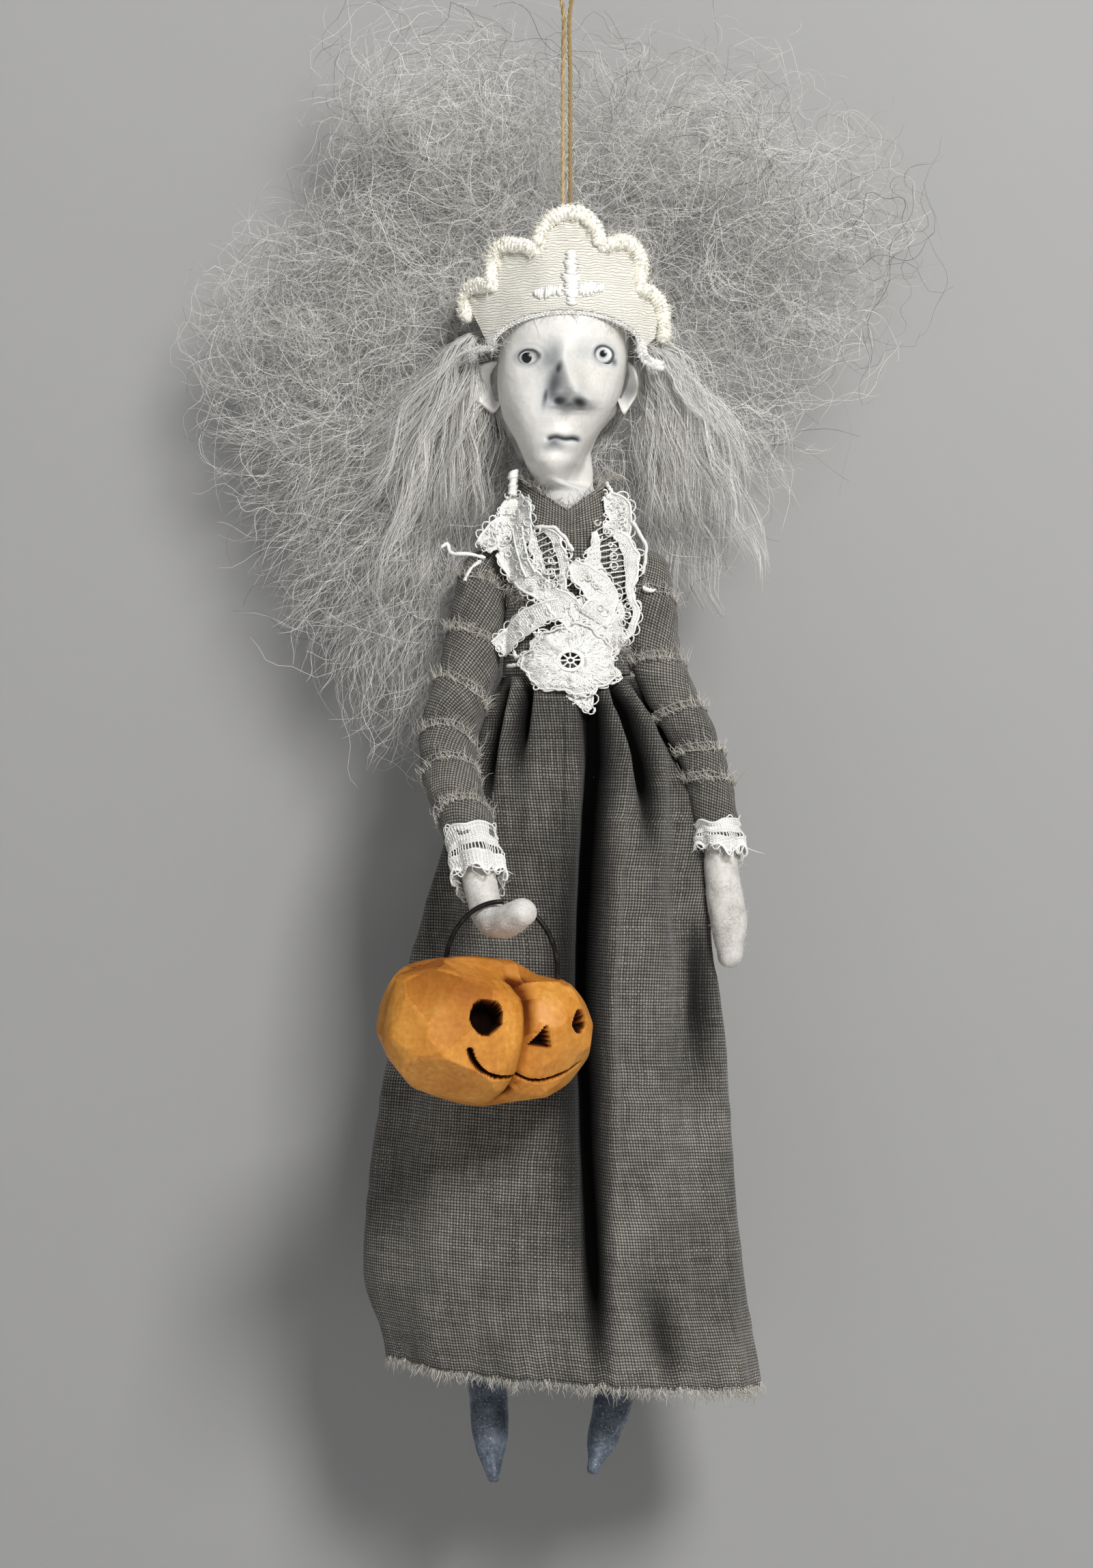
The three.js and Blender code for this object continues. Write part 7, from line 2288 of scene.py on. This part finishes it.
@dataclass
class PumpkinPail:
    """Carved pumpkin with a cut face, hung on a wire bail."""

    pivot: tuple = BAIL_TOP
    drop: tuple = (-3.3, 0.0, -27.2)
    width: float = 51.5
    depth: float = 37.0
    height: float = 32.5
    turn: float = 30.0
    roll: float = 5.5
    eye: float = 7.0
    nose: float = 4.5
    mouth: float = 1.0
    grin: tuple = (  # bearing and height
        (-29, -0.24), (-27, -0.36), (-22, -0.5), (-15, -0.58), (-5, -0.62), (5, -0.66), (20, -0.65),
        (35, -0.56), (50, -0.4),
    )
    bail: tuple = (24.6, 15.0, 1.1, 8.2)  # width, height, thickness, depth of its seats
    # bearing, spread and depth of each groove
    lobes: tuple = ((6, 11, 0.25), (76, 9, 0.08), (116, 14, 0.3), (-104, 9, 0.08), (-158, 9, 0.1))

    def surface(self, bearing: Array, height: Array) -> tuple:
        """Smooth places by bearing and height from -1 to 1, and how deep the grooves are there."""
        girth = np.sqrt(np.maximum(0, 1 - np.abs(height) ** 2.7))
        groove = np.zeros(np.broadcast_shapes(bearing.shape, height.shape))
        for middle, spread, depth in self.lobes:
            away = wrapped(bearing - math.radians(middle))
            wide = math.radians(spread) * (1 + 1.4 * smoothstep(height, 0.4, 0.95))
            groove = groove + depth * np.exp(-np.abs(away) / wide)
        dent = 2.4 * bump(girth, 0.3) * (height > 0)
        x = girth * self.width / 2 * np.sin(bearing)
        y = -girth * self.depth / 2 * np.cos(bearing)
        return places(x, y, height * self.height / 2 - dent), groove * smoothstep(girth, 0.1, 0.5)

    def outward(self, points: Array) -> Array:
        """Directions out of the pumpkin at places on it."""
        return unit(points / np.array([self.width, self.depth, self.height]) ** 2)

    def spot(self, bearing: float, height: float) -> Array:
        """One place on the uncut pumpkin."""
        return self.surface(np.array([math.radians(bearing)]), np.array([height]))[0][0]

    def cut(self, points: Array, rng: Rng) -> tuple:
        """Pares flat knife facets off points, and says how brown each facet is."""
        brown = np.zeros(points.shape[:-1])
        many = 190
        bearing = rng.uniform(-math.pi, math.pi, many)
        height = np.clip(rng.normal(0, 0.5, many), -0.96, 0.96)
        depth = np.where(np.arange(many) < 64, rng.uniform(0.9, 2.3, many), rng.uniform(0.4, 0.9, many))
        at, _ = self.surface(bearing, height)
        normal = self.outward(at)
        for spot, out, deep, shade in zip(at, normal, depth, rng.uniform(-0.2, 0.26, many)):
            above = (points - spot) @ out + deep
            above = np.where(np.linalg.norm(points - spot, axis=-1) < 13, above, 0)
            points = points - np.maximum(above, 0)[..., None] * out
            brown = np.where(above > 0.1, shade, brown)
        return points, brown

    def face(self, flat: Array) -> Array:
        """How deep the face is cut at local places."""
        deep = np.zeros(flat.shape[:-1])
        for bearing, height, size, most in [(-22, 0.2, self.eye / 2, 6.0), (38, 0.2, 0.72 * self.eye / 2, 5.0)]:
            apart = flat - self.spot(bearing, height)
            lean = np.arctan2(apart[..., 2], apart[..., 0])
            away = np.linalg.norm(apart, axis=-1) * (1 + 0.035 * np.sin(3 * lean + bearing) + 0.03 * np.sin(5 * lean))
            deep = np.maximum(deep, most * smoothstep(away, size + 0.35, size - 0.35))
        centre = self.spot(14, -0.06)
        x, z = flat[..., 0] - centre[0], flat[..., 2] - centre[2]
        up, half = self.nose, self.nose / 2
        inside = np.minimum(z + up * 0.45, (up * 0.55 - z) * 0.5 + half * 0.1 - np.abs(x - 0.12 * z) * 1.15)
        inside = np.where(np.linalg.norm(flat - centre, axis=-1) < 7, inside, -5)
        deep = np.maximum(deep, 3.5 * smoothstep(inside, -0.25, 0.35))
        grin = [self.spot(*row) for row in spline(self.grin, np.linspace(0, 1, 60))]
        away = np.min(np.stack([np.linalg.norm(flat - p, axis=-1) for p in grin]), axis=0)
        return np.maximum(deep, 1.7 * smoothstep(away, self.mouth / 2 + 0.3, self.mouth / 2 - 0.25))

    def build(self) -> None:
        """Makes the pumpkin and its bail."""
        rng = np.random.default_rng(71)
        around = np.linspace(-math.pi, math.pi, 301)[:-1]
        around = around - 0.35 * np.sin(around)
        height = np.sin(np.linspace(-0.497, 0.497, 150) * math.pi)
        points, groove = self.surface(around[None], height[:, None])
        deep = self.face(points)
        out = self.outward(points)
        carved, brown = self.cut(points, rng)
        pared = np.linalg.norm(carved - points, axis=-1)
        carved = carved + 1.1 * out
        sink = groove * lerp(0.75, 1.2, smoothstep(height, 0.3, 0.9))[:, None]
        carved = carved * places(1 - groove, 1 - groove, 1 - sink) - deep[..., None] * out
        sharp = brown + 0.2 * smoothstep(pared, 0.25, 0.03) + 0.6 * smoothstep(groove, 0.12, 0.24)
        sharp = sharp + (0.2 * smoothstep(height, 0.05, 0.8) - 0.12 * bump(height + 0.4, 0.3))[:, None]
        # the cuts' tone grows with their depth, near black deep in the holes: painted shade
        tone = np.maximum(0.75 * sharp, smoothstep(deep, 0.0, 1.4))
        tone = np.maximum(tone, 0.22 * smoothstep(np.abs(height)[:, None], 0.86, 0.99))
        a, b = math.radians(self.turn), math.radians(self.roll)
        spin = np.array([[math.cos(a), -math.sin(a), 0], [math.sin(a), math.cos(a), 0], [0, 0, 1]])
        tip = np.array([[math.cos(b), 0, math.sin(b)], [0, 1, 0], [-math.sin(b), 0, math.cos(b)]])
        centre = np.array(self.pivot) + np.array(self.drop)
        form = loft(carved @ (tip @ spin).T + centre, tone=tone).plain()
        make_piece("carved_pumpkin", form, RIND, Body.PAIL, ["pumpkin"], 38.0)
        wide, tall, thick, seat = self.bail
        bow = np.linspace(0, math.pi, 60)
        arch = places(wide / 2 * np.cos(bow), 0.0, tall * np.sin(bow) - tall)
        legs = np.linspace(seat, 0.6, 8)[:, None] * np.array([0, 0, -1.0]) + np.array([0, 0, -tall])
        line = np.vstack([legs + [wide / 2, 0, 0], arch, legs[::-1] - [wide / 2, 0, 0]]) + np.array(self.pivot)
        line = line + 0.12 * np.sin(np.linspace(0, 17, len(line)))[:, None] * np.array([0.3, 1, 0.2])
        wire = tubes(line[None], thick / 2, 12, np.zeros(1))
        make_piece("pail_bail", wire, IRON, Body.PAIL, ["bail_wire"])


@dataclass
class InnerWorks:
    """CAD pieces that stay as they are and only get their finish."""

    finishes: dict = field(default_factory=lambda: {
        "neck_dowel": DOWEL, "shoulder_thread": THREAD, "hip_thread": THREAD,
        "arm_wire_right": STEEL, "arm_wire_left": STEEL,
    })

    def build(self) -> None:
        """Dresses each of them."""
        for node, finish in self.finishes.items():
            mesh = bpy.data.objects[node].data
            mesh.materials.clear()
            mesh.materials.append(finish.material())
            log.info("%s: kept, in %s", node, finish.name)


def arms(shape: DressShape) -> list:
    """Both arms, the right one bent to its hook round the bail and the left one hanging."""
    pivot = np.array(BAIL_TOP)
    shoulder_z, radius, crook, reach = -140.0, 4.65, 4.65, 92.0

    def round_pivot(x: float, bearing: float, far: float) -> Array:
        """Place round the bail's top."""
        turn = math.radians(bearing)
        return pivot + np.array([x, far * crook * math.cos(turn), -far * crook * math.sin(turn)])

    right = Limb([
        (np.array([-18.4, 3.2, shoulder_z - 1]), 4.0),
        (shape.beside(shoulder_z - 23.24, -88, 7.8), radius),
        (shape.beside(shoulder_z - 41.5, -70, 7.8), 4.464),
        (pivot + np.array([-6.3, 13, 11.4]), 3.78),
        (round_pivot(-3.6, 8, 1.25), 3.6),
        (round_pivot(-2.2, 52, 1.06), 3.6),
        (round_pivot(-0.2, 95, 1), 3.4),
        (round_pivot(2.4, 136, 1.15), 3.5),
        (round_pivot(4.6, 160, 1.4), 3.2),
    ])
    rows = [
        (0.26, 88, 6.7, 4), (0.47, 84, 5.4, 3.35), (0.66, 82, 5, 3.3),
        (0.78, 78, 5.3, 3.9), (0.89, 76, 5.34, 4.14), (0.97, 76, 4.28, 2.88),
    ]
    left = Limb([
        (np.array([18.4, 3.2, shoulder_z - 1]), 4.0),
        *[(shape.beside(shoulder_z - reach * drop, bearing, clear), r) for drop, bearing, clear, r in rows],
    ])
    edges = (0.06, 0.25, 0.455, 0.66, 0.77, 0.9), (0.1, 0.32, 0.51, 0.67, 0.79)
    return [Arm(Side.RIGHT, right, 3 / 8, edges[0]), Arm(Side.LEFT, left, 3 / 6, edges[1])]


def main() -> None:
    """Builds the stage and every piece."""
    logging.basicConfig(level=logging.INFO, format="%(name)s %(message)s")
    Studio().build()
    Twine().build()
    head, shape = Head(), DressShape()
    parts = [
        head, Cap(), Mohair(head), Dress(shape), Lace(shape), *arms(shape),
        Leg(Side.RIGHT, 17.8, -1.6, -1.2, shape), Leg(Side.LEFT, 10.6, 2.4, 4.6, shape), PumpkinPail(), InnerWorks(),
    ]
    for part in parts:
        part.build()


if __name__ == "__main__":
    main()
